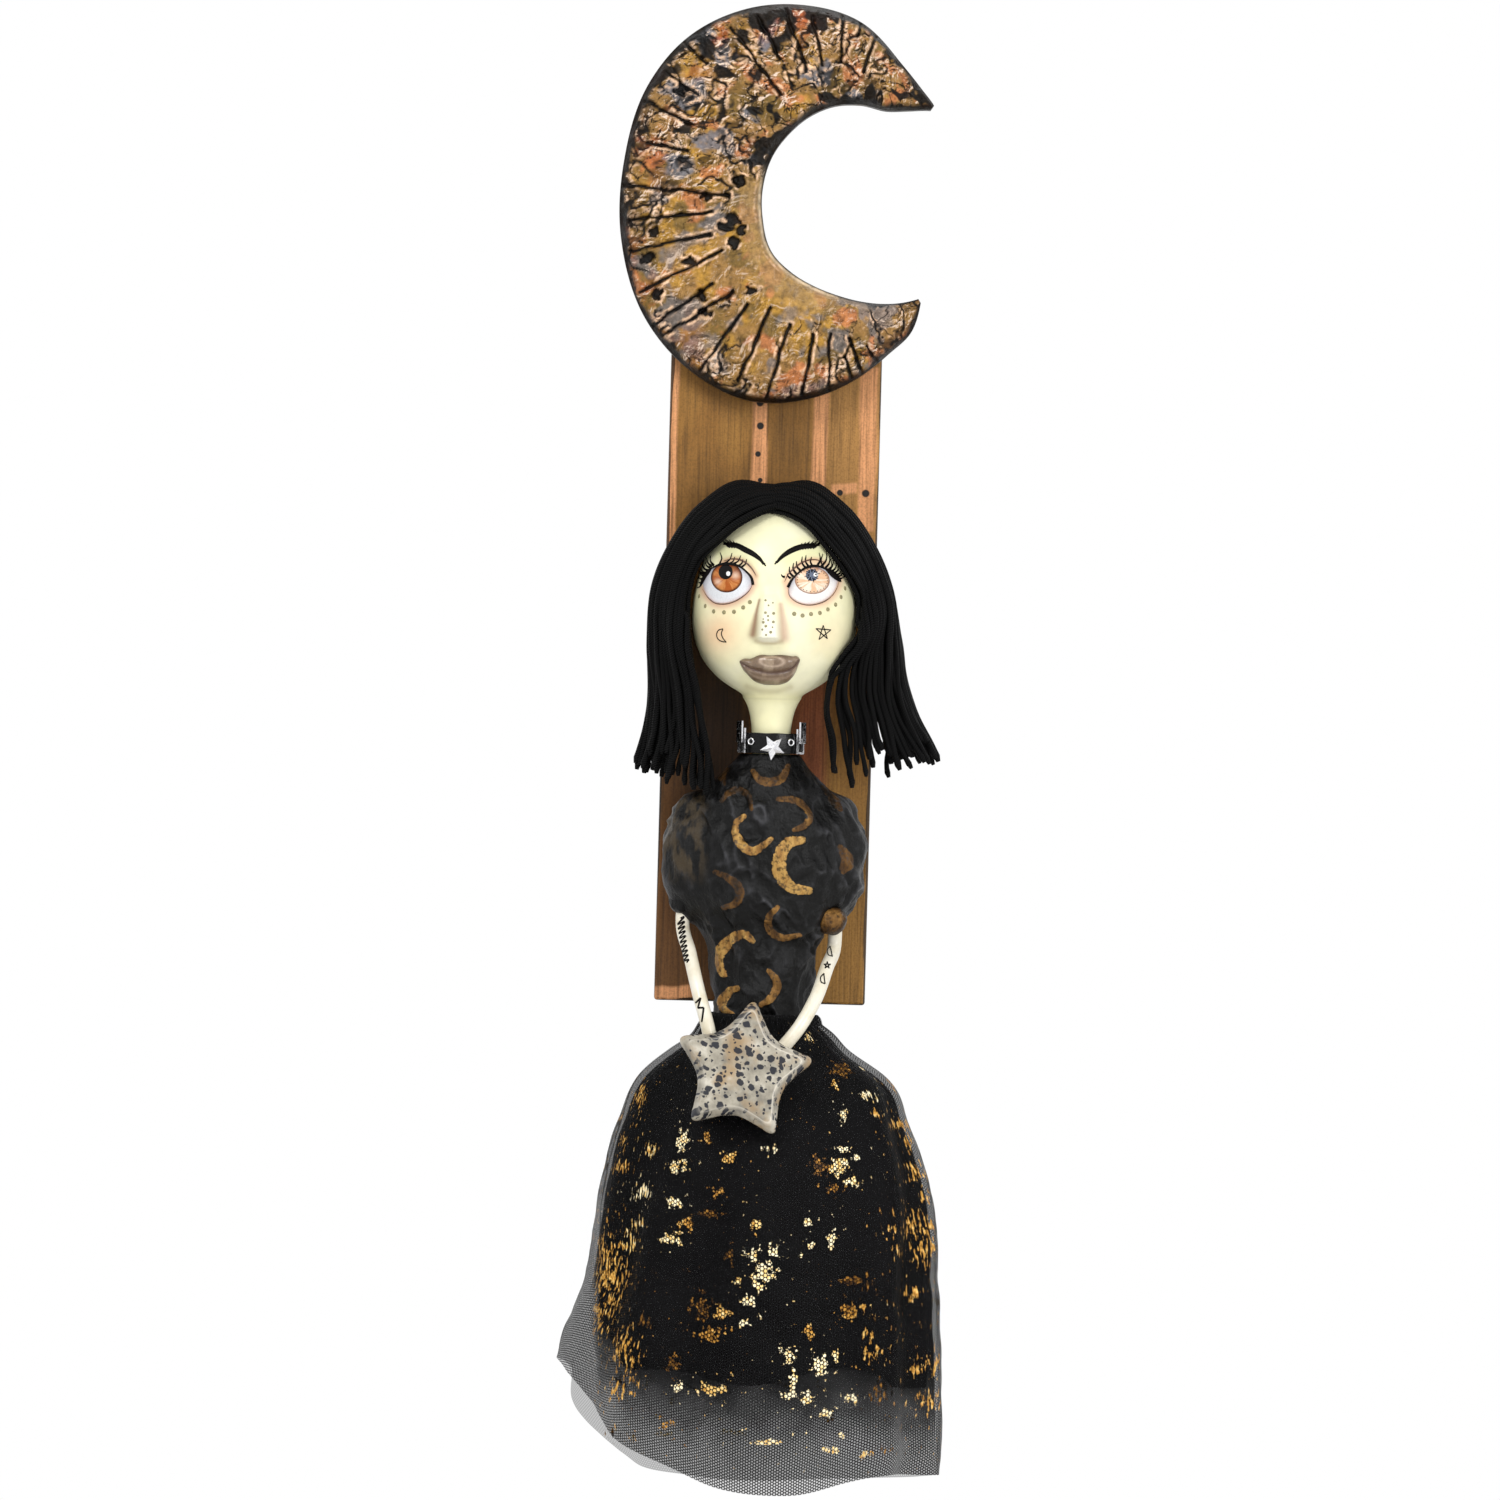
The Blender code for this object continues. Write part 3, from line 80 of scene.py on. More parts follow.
def add(kind, inputs=(), stops=None, **settings):
    """Adds a node to the last tree. Kind is its type and, after a space, its operation. Inputs fill its sockets,
    in order or by number, and so do the settings with a capital; the other settings are its properties. A
    socket takes a number, a hex colour, a socket to link, or a node, whose main output is then linked. Stops
    fill a colour ramp."""
    kind, *operation = kind.split()
    node = TREES[-1].nodes.new("ShaderNode" + kind)
    sockets = dict(inputs if isinstance(inputs, dict) else enumerate(inputs))
    for key, value in (*zip(["operation"], operation), *settings.items()):
        if key[0].isupper():
            sockets[key] = value
        else:
            setattr(node, key, value)
    for key, value in sockets.items():
        if isinstance(value, bpy.types.Node):
            value = value.outputs[MAIN_OUTPUT.get(value.bl_idname, 0)]
        if isinstance(value, bpy.types.NodeSocket):
            TREES[-1].links.new(value, node.inputs[key])
        else:
            node.inputs[key].default_value = linear(value) if isinstance(value, str) else value
    for i, (place, colour) in enumerate(stops or ()):
        ramp = node.color_ramp.elements
        stop = ramp[i] if i < 2 else ramp.new(place)
        stop.position = place
        stop.color = linear(colour) if isinstance(colour, str) else (colour, colour, colour, 1.0)
    return node


def finish(name, colour="#808080", **sockets):
    """A named material and its one Principled shader; its tree takes the nodes added from here on."""
    made = bpy.data.materials.new(name)
    made.use_nodes = True
    TREES.append(made.node_tree)
    shader = made.node_tree.nodes["Principled BSDF"]
    shader.inputs["Base Color"].default_value = linear(colour)
    for key, value in sockets.items():
        shader.inputs[key.replace("_", " ")].default_value = value
    return made, shader


def into(shader, **links):
    """Links nodes into the shader's sockets; an underscore in a name stands for a space."""
    for key, node in links.items():
        TREES[-1].links.new(node.outputs[MAIN_OUTPUT.get(node.bl_idname, 0)], shader.inputs[key.replace("_", " ")])


print("nodes and finishes ready")

# %% Smooth lines and values, as in the CAD
def hermite(knots, values, at):
    """Cubic pieces through the values, each with the slope of its two neighbours."""
    slopes = np.gradient(values, knots, axis=0)
    left = np.clip(np.searchsorted(knots, at, side="right") - 1, 0, len(knots) - 2)
    span = (knots[left + 1] - knots[left])[:, None]
    f = (at - knots[left])[:, None] / span
    return ((2 * f**3 - 3 * f**2 + 1) * values[left] + (f**3 - 2 * f**2 + f) * span * slopes[left]
            + (3 * f**2 - 2 * f**3) * values[left + 1] + (f**3 - f**2) * span * slopes[left + 1])


def smooth_line(anchors, shares):
    """Points on one smooth line through the anchors, at these shares of its length."""
    anchors = np.asarray(anchors, float)
    knots = np.concatenate([[0.0], np.cumsum(np.linalg.norm(np.diff(anchors, axis=0), axis=1))])
    return hermite(knots, anchors, np.asarray(shares, float) * knots[-1])


def smooth_value(stops, at):
    """A smooth value through (place, value) stops, held level beyond both ends."""
    places, values = np.asarray(stops, float).T
    at = np.clip(np.asarray(at, float), places[0], places[-1])
    return hermite(places, values[:, None], at.reshape(-1))[:, 0].reshape(at.shape)


def ease(low, high, value):
    """Zero below low, one above high, and 3t^2 - 2t^3 between them."""
    t = np.clip((np.asarray(value, float) - low) / (high - low), 0, 1)
    return t * t * (3 - 2 * t)


def bell(off, width):
    """One at zero, falling off as exp(-(off / width)^2)."""
    return np.exp(-(off / width) ** 2)


def stacked(*parts):
    """Arrays as the last axis of one array."""
    return np.stack(parts, -1)


def circle(count):
    """Even angles once round."""
    return np.linspace(0, 2 * math.pi, count, endpoint=False)


print("a smooth step's middle is", ease(0, 1, 0.5))

# %% Seeded noise in space
def noise(points, size, seed):
    """Value noise from -1 to 1: each lattice corner gets a number hashed from its place, and the eight round
    a point are blended by smooth steps of its offset in the cell. Size is one cell, in metres."""
    q = np.asarray(points, float) / size + 512.37
    cell = np.floor(q)
    f = q - cell
    f = f * f * (3 - 2 * f)
    total = 0.0
    for corner in range(8):
        step = np.array([corner & 1, corner >> 1 & 1, corner >> 2], float)
        key = ((cell + step) @ np.array([127.1, 311.7, 74.7]) + seed * 19.19)
        value = np.modf(np.abs(np.sin(key) * 43758.5453))[0]
        total = total + value * np.prod(np.where(step > 0, f, 1 - f), axis=-1)
    return 2 * total - 1


def rough(points, size, seed, octaves=4):
    """Sum of noises, each half as large and half as strong as the one before."""
    return sum(noise(points, size / 2**k, seed + 7 * k) / 2**k for k in range(octaves))


print("noise at the origin:", round(float(noise([0.0, 0.0, 0.0], 0.01, 1)), 3))

# %% Meshes from whole arrays
def mesh_from(name, points, groups, uv=None, paint=None):
    """Groups are arrays of faces, each with its own corner count. A mesh whose signed volume, the sum of
    v0 . (v1 x v2) over its triangles, seen from its middle, is negative has all its faces turned round."""
    points = np.asarray(points, float).reshape(-1, 3)
    seen = points - points.mean(axis=0)
    volume = sum(np.einsum("ij,ij->", seen[g[:, 0]], np.cross(seen[g[:, k]], seen[g[:, k + 1]]))
                 for g in groups for k in range(1, g.shape[1] - 1))
    if volume < -1e-12:
        groups = [g[:, ::-1] for g in groups]
        uv = None if uv is None else [part[:, ::-1] for part in uv]
    corners = np.concatenate([g.ravel() for g in groups]).astype(np.int32)
    sizes = np.concatenate([np.full(len(g), g.shape[1]) for g in groups])
    mesh = bpy.data.meshes.new(name)
    mesh.vertices.add(len(points))
    mesh.vertices.foreach_set("co", points.astype(np.float32).ravel())
    mesh.loops.add(len(corners))
    mesh.loops.foreach_set("vertex_index", corners)
    mesh.polygons.add(len(sizes))
    mesh.polygons.foreach_set("loop_start", (np.cumsum(sizes) - sizes).astype(np.int32))
    if uv is not None:
        flat = np.concatenate([part.reshape(-1, 2) for part in uv]).astype(np.float32)
        mesh.uv_layers.new(name="UVMap").data.foreach_set("uv", flat.ravel())
    if paint is not None:
        colours = np.asarray(paint, float).reshape(len(points), -1)
        colours = np.concatenate([colours, np.ones((len(points), 1))], axis=1)[:, :4]
        layer = mesh.attributes.new("paint", "FLOAT_COLOR", "POINT")
        layer.data.foreach_set("color", colours.astype(np.float32).ravel())
    mesh.update(calc_edges=True)
    mesh.shade_smooth()
    return mesh


def surface(name, grid, wraps=True, loops=False, u=None, v=None, paint=None, closed=True):
    """A grid of points as faces. Wraps joins the last column to the first, and both end rows are then filled;
    loops joins the last row to the first. u and v are cloth or band lengths along a row and a column."""
    rows, columns = grid.shape[:2]
    r = np.arange(rows if loops else rows - 1)[:, None, None] + np.array([0, 0, 1, 1])
    c = np.arange(columns if wraps else columns - 1)[None, :, None] + np.array([0, 1, 1, 0])
    r, c = np.broadcast_arrays(r, c)
    quads = ((r % rows) * columns + c % columns).reshape(-1, 4)
    u = np.linspace(0, 1, columns + 1) if u is None else np.asarray(u)
    v = np.linspace(0, 1, rows + 1) if v is None else np.asarray(v)
    uv = [stacked(u[np.minimum(c, len(u) - 1)], v[np.minimum(r, len(v) - 1)]).reshape(-1, 4, 2)]
    groups = [quads]
    if wraps and not loops and closed:
        ends = np.arange(columns)
        groups.append(np.stack([ends[::-1], (rows - 1) * columns + ends]))
        uv.append(np.zeros((2, columns, 2)))
    return mesh_from(name, grid, groups, uv, paint)


def tubes(name, paths, wide, tall=None, up=(0, -1, 0), sides=8, paint=None):
    """An oval section carried along many paths at once: the section's height follows up, made square to the
    path, and its width the cross product of path and up. Ends are filled. paths is (count, rows, 3)."""
    paths = np.asarray(paths, float)
    count, rows = paths.shape[:2]
    wide = np.broadcast_to(wide, (count, rows))
    tall = wide if tall is None else np.broadcast_to(tall, (count, rows))
    ahead = np.gradient(paths, axis=1)
    ahead /= np.maximum(np.linalg.norm(ahead, axis=-1, keepdims=True), 1e-12)
    up = np.broadcast_to(np.asarray(up, float), paths.shape)
    up = up - ahead * np.sum(up * ahead, axis=-1, keepdims=True)
    up = up / np.maximum(np.linalg.norm(up, axis=-1, keepdims=True), 1e-9)
    side = np.cross(ahead, up)
    turn = circle(sides)[:, None]
    rings = (paths[:, :, None] + side[:, :, None] * (wide[..., None, None] * np.cos(turn))
             + up[:, :, None] * (tall[..., None, None] * np.sin(turn)))
    p = np.arange(count)[:, None, None, None] * rows * sides
    r = np.arange(rows - 1)[None, :, None, None] + np.array([0, 0, 1, 1])
    s = np.arange(sides)[None, None, :, None] + np.array([0, 1, 1, 0])
    p, r, s = np.broadcast_arrays(p, r, s)
    quads = (p + r * sides + s % sides).reshape(-1, 4)
    start = np.arange(count)[:, None] * rows * sides + np.arange(sides)
    length = np.concatenate([np.zeros((count, 1)),
        np.cumsum(np.linalg.norm(np.diff(paths, axis=1), axis=-1), axis=1)], axis=1)
    along = np.take_along_axis(length, r.reshape(count, -1), axis=1).reshape(-1, 4)
    uv = [stacked(s.reshape(-1, 4) / sides, along),
          np.zeros((count, sides, 2)), np.zeros((count, sides, 2))]
    if paint is not None:
        paint = np.broadcast_to(np.asarray(paint)[:, :, None], (count, rows, sides, np.shape(paint)[-1]))
    return mesh_from(name, rings, [quads, start[:, ::-1], start + (rows - 1) * sides], uv, paint)


def keep(mesh, material, nodes=(), sharp=None):
    """Links a finished mesh as a piece on the root body, with its finish and the CAD nodes it stands for."""
    if sharp:
        mesh.set_sharp_from_angle(angle=math.radians(sharp))
    piece = bpy.data.objects.new(mesh.name, mesh)
    bpy.context.scene.collection.objects.link(piece)
    mesh.materials.append(material)
    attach(piece, "root")
    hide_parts(*nodes)
    print(piece.name, len(mesh.polygons), "faces")
    return piece


def dress(material, *nodes):
    """Gives CAD nodes whose shape is right a better material, in the slots that they have."""
    for node in nodes:
        slots = bpy.data.objects[node].material_slots
        for number in range(len(slots)):
            slots[number].material = material
    print(material.name, "on", ", ".join(nodes))


# %% [markdown]
# ## Stage, light and camera
#
# The photograph was taken level with the doll, from well away, with a long lens, and the doll leans a little
# to the right in it. The camera stands five metres in front and is rolled by that lean. Large soft lamps
# give an even, slightly top-left light, and the white ground behind comes only from camera, glossy and
# see-through rays, so no extra light falls on the doll.

# %% Camera
LEAN = math.radians(1.55)
DISTANCE = 5.0
FRAME_WIDTH = 1500 * 0.089 / 210         # the board's 89 mm are 210 pixels of the photograph's 1500
camera = bpy.data.objects.new("camera", bpy.data.cameras.new("camera"))
bpy.context.scene.collection.objects.link(camera)
bpy.context.scene.camera = camera
camera.data.sensor_width = 36.0
camera.data.lens = 36.0 * DISTANCE / FRAME_WIDTH
camera.data.clip_start, camera.data.clip_end = 0.1, 50.0
right = Vector((math.cos(LEAN), 0, math.sin(LEAN)))
upward = Vector((-math.sin(LEAN), 0, math.cos(LEAN)))
turn = Matrix((right, upward, Vector((0, -1, 0)))).transposed()
camera.matrix_world = Matrix.Translation((-0.0068, -DISTANCE, -0.0385)) @ turn.to_4x4()
print("lens", round(camera.data.lens, 1), "mm")

# %% Floor
# Matt emulsion: a flat off-white whose 25 mm cloudiness keeps it from looking like plastic.
chalk, shader = finish("matt_white_floor_paint", "#F2F1EE", Roughness=0.9)
grit = add("TexNoise", Vector=add("TexCoord"), Scale=40, Detail=4)
into(shader, Base_Color=add("ValToRGB", [grit], [(0.3, "#EFEEEB"), (0.7, "#F6F5F3")]))
rings = np.array([0.0001, 1.5])[:, None, None]
around = circle(96)[None, :, None]
disc = np.concatenate([rings * np.cos(around), rings * np.sin(around), np.full((2, 96, 1), -0.5)], axis=2)
mesh = surface("floor", disc, closed=False)
floor = bpy.data.objects.new("floor", mesh)
bpy.context.scene.collection.objects.link(floor)
mesh.materials.append(chalk)
print("floor at", disc[0, 0, 2])

# %% World and lamps
view = bpy.context.scene.view_settings
view.view_transform = "Standard"
world = bpy.data.worlds.new("studio")
bpy.context.scene.world = world
world.use_nodes = True
TREES.append(world.node_tree)
TREES[-1].nodes.clear()
seen = add("LightPath")
direct = add("Math MAXIMUM", [seen.outputs["Is Camera Ray"], seen.outputs["Is Transmission Ray"]])
direct = add("Math MAXIMUM", [direct, seen.outputs["Is Glossy Ray"]])
white = add("Background", Color="#FFFFFF", Strength=1)
soft = add("Background", Color="#FFFFFF", Strength=0.60)
add("OutputWorld", Surface=add("MixShader", [direct, soft, white]))


def lamp(name, place, power, size, target=(0, 0, -0.02)):
    """A square soft lamp at a place, looking at the target."""
    data = bpy.data.lights.new(name, "AREA")
    data.energy, data.size = power, size
    made = bpy.data.objects.new(name, data)
    bpy.context.scene.collection.objects.link(made)
    made.location = place
    made.rotation_mode = "QUATERNION"
    made.rotation_quaternion = (Vector(target) - Vector(place)).to_track_quat("-Z", "Y")
    return made


lamp("key_softbox", (-0.7, -2.0, 1.7), 28.0, 0.9)
lamp("fill_softbox", (1.5, -2.2, 0.5), 23.0, 1.1)
lamp("hair_light", (0.3, 0.9, 2.2), 14.0, 0.8)
print("three lamps")

# %% [markdown]
# ## The crescent moon
#
# The real moon is air-drying clay or papier-mache over a cut-out, scored with a tool while wet into spokes
# that run outwards from its bay, poked with a stick, and rubbed with metallic paints over black. It could be
# sculpted by hand or displaced by a texture. Here its height is one function of the angle round the bay and
# of the share of the band, and the same height, less its own blurred copy, tells where the black wash stayed
# in the hollows and where pale paint goes on the ridges, partly rubbed paint and partly a painted highlight.

# %% Numbers of the crescent
SEAT = -0.0193                    # front of the board plus its glue line
BAY = np.array([0.0346, 0.1932])
BAY_RADIUS, BAND = 0.0424, 0.0606
MOON_SHAPE = ((55.5, 1.142, .040), (65, 1.028, .177), (76, .950, .338), (93, .976, .583), (108, 1.005, .729),
              (122, 1.012, .860), (140, 1.009, .977), (152, 1.014, .995), (172, 1.007, .983), (190, 1.009, .995),
              (210, 1.031, .992), (226, .993, .977), (242, .960, .909), (256, .955, .743), (270, .981, .528),
              (281, 1.017, .355), (293, 1.066, .200), (301.5, 1.101, .033))
# Scored spokes in millimetres, from their outer to their inner ends, and poked holes
SPOKES = ((-67, 198, -22, 194), (-64, 183, -29, 187), (-63, 170, -29, 178), (-58, 153, -24, 171),
    (-53, 138, -28, 157),
          (-48, 135, -19, 154), (-32, 121, -13, 149), (-16, 117, -3, 148), (-4, 110, 5, 141), (11, 112, 15, 137),
          (22, 113, 22, 137), (31, 120, 29, 128), (36, 121, 30, 136), (44, 124, 38, 133), (-23, 265, -1, 237),
          (-43, 259, -33, 250), (0, 273, 9, 248), (11, 271, 16, 250), (38, 263, 33, 248), (32, 269, 30, 263),
          (-57, 216, -40, 213), (-58, 233, -38, 224), (-50, 246, -36, 236), (24, 271, 24, 252), (-12, 270, -2, 252))
HOLES = ((-19.6, 184.1), (-19.3, 175.3), (-55.3, 167.6), (-52.2, 177.8), (-50.2, 151.8), (-42.5, 237.8),
    (-32, 194.3),
         (-18.3, 201), (-33, 152.2), (-30.7, 146), (-37.6, 166), (-11.2, 154.9), (-23.5, 181.5), (-16.5, 180.5))
angle = np.radians(np.linspace(55.5, 301.5, 700))[:, None]
share = np.linspace(0, 1, 112)[None]
share = share - 0.055 * np.sin(2 * math.pi * share)
inner = BAY_RADIUS * smooth_value([s[:2] for s in MOON_SHAPE], np.degrees(angle))
band = BAND * smooth_value([(s[0], s[2]) for s in MOON_SHAPE], np.degrees(angle))
x = BAY[0] + np.cos(angle) * (inner + band * share)
z = BAY[1] + np.sin(angle) * (inner + band * share)
print("crescent grid", x.shape)

# %% Its height above the board
def away_from(x, z, lines):
    """Distance in the XZ plane from each point to the nearest of the straight lines (x, z, x, z), in metres."""
    best = np.full(x.shape, 1.0)
    for x0, z0, x1, z1 in np.asarray(lines, float) / 1000:
        run = np.array([x1 - x0, z1 - z0])
        t = np.clip(((x - x0) * run[0] + (z - z0) * run[1]) / max(run @ run, 1e-12), 0, 1)
        best = np.minimum(best, np.hypot(x - x0 - t * run[0], z - z0 - t * run[1]))
    return best


flat = stacked(x, z, 0 * x)
polar = stacked(angle * 0.085 + 0 * share, share * 0.030 + 0 * angle, 0 * x)
full = np.minimum(1, 2 * band / BAND)
edge = np.minimum(share, 1 - share) * band
height = 0.0145 * (0.62 + 0.38 * full) + 0.0060 * full * (1 - (2 * share - 1) ** 4)
height = height - 0.0026 * (1 - ease(0, 0.0034, edge)) * full
turned = np.degrees(angle) + 0 * share
upper = 1 - ease(148, 198, turned + 22 * noise(flat, 0.017, 34))
lower = ease(250, 275, turned)
bay_band = ease(158, 176, turned) * (1 - ease(243, 266, turned)) * (1 - ease(0.12, 0.26,
    share + 0.05 * noise(flat, 0.010, 33)))
wear = np.clip(0.42 + 0.58 * upper + 0.25 * lower + 0.35 * ease(0.66, 0.96, share), 0, 1) * (1 - 0.85 * bay_band)
wobble = stacked(noise(flat, 0.0045, 31), noise(flat, 0.0045, 32)) * 0.0008
spoke = away_from(x + wobble[..., 0], z + wobble[..., 1], SPOKES)
hole = away_from(x + 2.0 * wobble[..., 1], z + 2.0 * wobble[..., 0], [(*h, *h) for h in HOLES])
bent = flat + 0.0024 * stacked(noise(flat, 0.0065, 35), noise(flat, 0.0065, 36), 0 * x)
crack = 0.75 * ease(0.80, 0.97, 1 - 1.3 * np.abs(rough(bent, 0.0125, 5, 4)))
crack = np.maximum(crack, 0.5 * ease(0.88, 0.99, 1 - 1.4 * np.abs(rough(bent, 0.0044, 6, 2))))
crack = crack * ease(0.35, 0.85, wear + 0.60 * noise(flat, 0.009, 38))
lumps = rough(bent, 0.0085, 9, 4)
relief = 0.0007 * rough(flat, 0.016, 3, 3) + (0.0002 + 0.0012 * wear) * lumps + 0.00022 * rough(flat, 0.0016, 13, 2)
relief = relief - 0.0013 * crack * ease(0, 0.003, edge)
groove = bell(spoke, 0.00066 + 0.00026 * noise(flat, 0.004, 39))
lip = bell(spoke - 0.0016, 0.0007) * ease(-0.5, 0.5, noise(flat, 0.006, 40))
pit = ease(0.0031, 0.0017, hole + 0.0017 * noise(flat, 0.0016, 42))
relief = relief + 0.0004 * lip - 0.0018 * groove - 0.0019 * pit + 0.0005 * bell(hole - 0.0030, 0.0009)
height = height + relief * ease(0, 0.0016, edge + 0.0002)
print("relief from", round(float(relief.min()) * 1000, 2), "to", round(float(relief.max()) * 1000, 2), "mm")


# %% Rubbed paint, from the same height
def blurred(field, times):
    """Each point becomes the mean of itself and its four neighbours, as often as asked."""
    for _ in range(times):
        wide = np.pad(field, 1, mode="edge")
        field = (wide[1:-1, 1:-1] * 2 + wide[:-2, 1:-1] + wide[2:, 1:-1] + wide[1:-1, :-2] + wide[1:-1, 2:]) / 6
    return field


def over(below, colour, amount):
    """Paint over paint: the lower colour moves towards the new one by the amount."""
    amount = np.clip(amount, 0, 1)[..., None]
    return below * (1 - amount) + np.array(linear(colour)[:3]) * amount


def coat(colour, everywhere):
    """One colour on each point of a grid."""
    return np.broadcast_to(linear(colour)[:3], everywhere.shape + (3,))


raised = height - blurred(height, 10)
brushed = rough(polar, 0.0075, 21, 4)
mixed_a, mixed_b, mixed_c = (rough(bent, size, seed, 4) for size, seed in ((0.0125, 41), (0.0105, 47),
    (0.0090, 53)))
paint = coat("#94703F", x)
paint = over(paint, "#775E30", 0.9 * ease(-0.10, 0.45, mixed_a + 0.4 * brushed))
paint = over(paint, "#B08436", 0.85 * ease(0.05, 0.50, mixed_c + 0.5 * bay_band - 0.1 * upper))
paint = over(paint, "#6C6F79", (0.55 + 0.3 * upper) * ease(0.24, 0.55,
    mixed_b + 0.5 * brushed + 0.16 * lower - 0.16 * bay_band))
paint = over(paint, "#BE774A", 0.8 * ease(0.28, 0.60,
    -mixed_b + 0.5 * brushed + 0.3 * ease(0.75, 0.95, share) * ease(170, 200, turned) + 0.25 * ease(275, 292,
    turned)))
paint = over(paint, "#A08153", 0.75 * bay_band)
paint = over(paint, "#A5502A", 0.8 * ease(0.60, 0.90, share) * ease(-0.1, 0.4,
    rough(flat, 0.008, 67, 3)) * (0.3 + 0.7 * upper))
# Pale pink on the raised ridges: partly rubbed paint, partly a painted highlight.
paint = over(paint, "#EFC6A2", 0.90 * ease(0.00007, 0.00034, raised) * ease(-0.15, 0.45,
    rough(bent, 0.0045, 61, 3) + 0.22 * upper))
rim = 1 - ease(0.0010, 0.0040, edge + 0.0016 * noise(flat, 0.007, 63) + 0.0030 * bay_band)
wash = ease(0.00008, 0.00040, -raised) * (0.35 + 0.65 * wear) + crack + 1.2 * groove + pit + rim * (0.35 + 0.65 * np.maximum(upper, ease(0.5, 0.9, share)))
wash = wash + upper * ease(0.42, 0.62, -rough(bent, 0.0078, 65, 3) + 0.44 * ease(0.62, 1.0,
    share) + 0.34 * (1 - ease(0.0, 0.22, share)))
wash = wash + bell(edge, 0.0006)
paint = over(paint, "#060505", 0.98 * np.clip(wash, 0, 1))
# A thin pale line just inside the bay's rounded inner edge: a painted highlight where that edge catches the light.
paint = over(paint, "#E8D3B4", 0.6 * bell(edge - 0.0011, 0.0006) * (share < 0.5) * bay_band)
# The alpha, from the same wear, sets how strong the shader's painted highlights and painted shades are.
paint = np.concatenate([paint, (0.06 + 0.94 * wear)[..., None]], axis=-1)
print("paint", np.round(paint.mean(axis=(0, 1)), 3))

# %% The crescent's closed body
drops = np.array([[0.30, 0.62, 0.86, 1.0]])
side_out = stacked(x[:, -1:] + 0 * drops, SEAT - height[:, -1:] * (1 - drops), z[:, -1:] + 0 * drops)
side_in = stacked(x[:, :1] + 0 * drops, SEAT - height[:, :1] * (1 - drops[:, ::-1]), z[:, :1] + 0 * drops)
top = stacked(x, SEAT - height, z)
grid = np.concatenate([side_in, top, side_out], axis=1)
dark = np.broadcast_to(np.array(linear("#1B1713")[:3]), (len(angle), 4, 3))
wear_and_sheen = np.full((len(angle), 4, 1), 0.5)
shade = over(dark, "#5E4C2C", 0.7 * ease(0.1, 0.5, rough(side_in, 0.006, 75, 3)))
shade_out = over(dark, "#5E4C2C", 0.7 * ease(0.1, 0.5, rough(side_out, 0.006, 77, 3)))
paint = np.concatenate([np.append(shade, wear_and_sheen, axis=-1), paint, np.append(shade_out, wear_and_sheen, axis=-1)], axis=1)
paint[:, [0, -1]] = np.append(dark[:, :1], wear_and_sheen[:, :1] * 0, axis=-1)
moon_mesh = surface("crescent_relief", grid, paint=paint)

# %% [markdown]
# ### Finish of the crescent
#
# Metallic craft paint rubbed over dry black acrylic, then varnished: the eye sees half-metal colours that
# change every few millimetres, black in the hollows, and a sharp satin sheen on the ridges. The colours are
# the painted attribute. The nodes add the crumpled clay skin, 7 mm down to 0.1 mm: the same noise read twice,
# half a millimetre apart towards the light, tells which flank of each wrinkle faces the light; that flank gets
# a painted pale highlight and the other a painted black shade.

# %% Rubbed metallic paint
# Metallic acrylic rubbed over black: brush streaks of 3 mm, a grit of 1 mm and wrinkles of 7 mm and less,
# whose lit flanks get a painted pale highlight and whose shaded flanks a painted black shade; these come and go
# over 13 mm and leave the black hollows alone.
moon_paint, shader = finish("rubbed_metallic_acrylic_over_clay", Roughness=0.4, Metallic=0.08, Coat_Weight=0.03,
    Coat_Roughness=0.2, Specular_IOR_Level=0.14)
place = add("TexCoord")
colours = add("Attribute", attribute_name="paint")
grit = add("TexNoise", Vector=place, Scale=900, Detail=5, Roughness=0.62)
streak = add("TexNoise", Vector=place, Scale=330, Detail=5, Roughness=0.65)
wrinkle, beside = (add("TexNoise", Vector=add("VectorMath ADD", [place, shift]), Scale=150, Detail=6,
                                          Roughness=0.58, Distortion=0.6) for shift in ((0.0, 0.0, 0.0),
                                          (-0.00030, 0.0, 0.00046)))
slope = add("Math SUBTRACT", [wrinkle, beside])
tone = add("ValToRGB", [streak], [(0.32, 0.50), (0.50, 1), (0.68, 1.5)])
mixed = add("Mix", {0: 0.85, 6: colours, 7: tone}, **TINT)
busy = add("MapRange", [add("TexNoise", Vector=place, Scale=75, Detail=3), 0.36, 0.60, 0.30, 1.15])
clean = add("MapRange", [add("RGBToBW", [colours]), 0.015, 0.090, 0, 1])
slope = add("Math MULTIPLY", [add("Math MULTIPLY", [slope, busy]), clean])
# Painted light: the flank that faces the light is painted pale, the flank turned away is painted black.
for flank, colour, steep in ((1, "#F0D8C4", 0.066), (-1, "#0A0807", 0.058)):
    painted_light = add("MapRange", [slope, flank * 0.019, flank * steep, 0, 0.95])
    mixed = add("Mix", {0: add("Math MULTIPLY", [painted_light, colours.outputs["Alpha"]]), 6: mixed, 7: colour}, **COLOURS)
raised_skin = add("Math ADD", [grit, add("Math MULTIPLY", [wrinkle, 2.5])])
bump = add("Bump", Strength=0.6, Distance=0.0006, Height=raised_skin)
into(shader, Base_Color=mixed, Normal=bump,
     Roughness=add("MapRange", [streak, 0.3, 0.7, 0.30, 0.52]))
keep(moon_mesh, moon_paint, ["crescent_moon"])

# %% [markdown]
# ## The backboard
#
# The board is a stock pine plank, washed with bronze paint that lets the upright grain show, striped with
# copper paint and edged in black. Its CAD solid already has the right shape, so it stays and only gets a
# finish. The stripes are bands of X and Z in the board's own metres, with their edges wandered by noise.

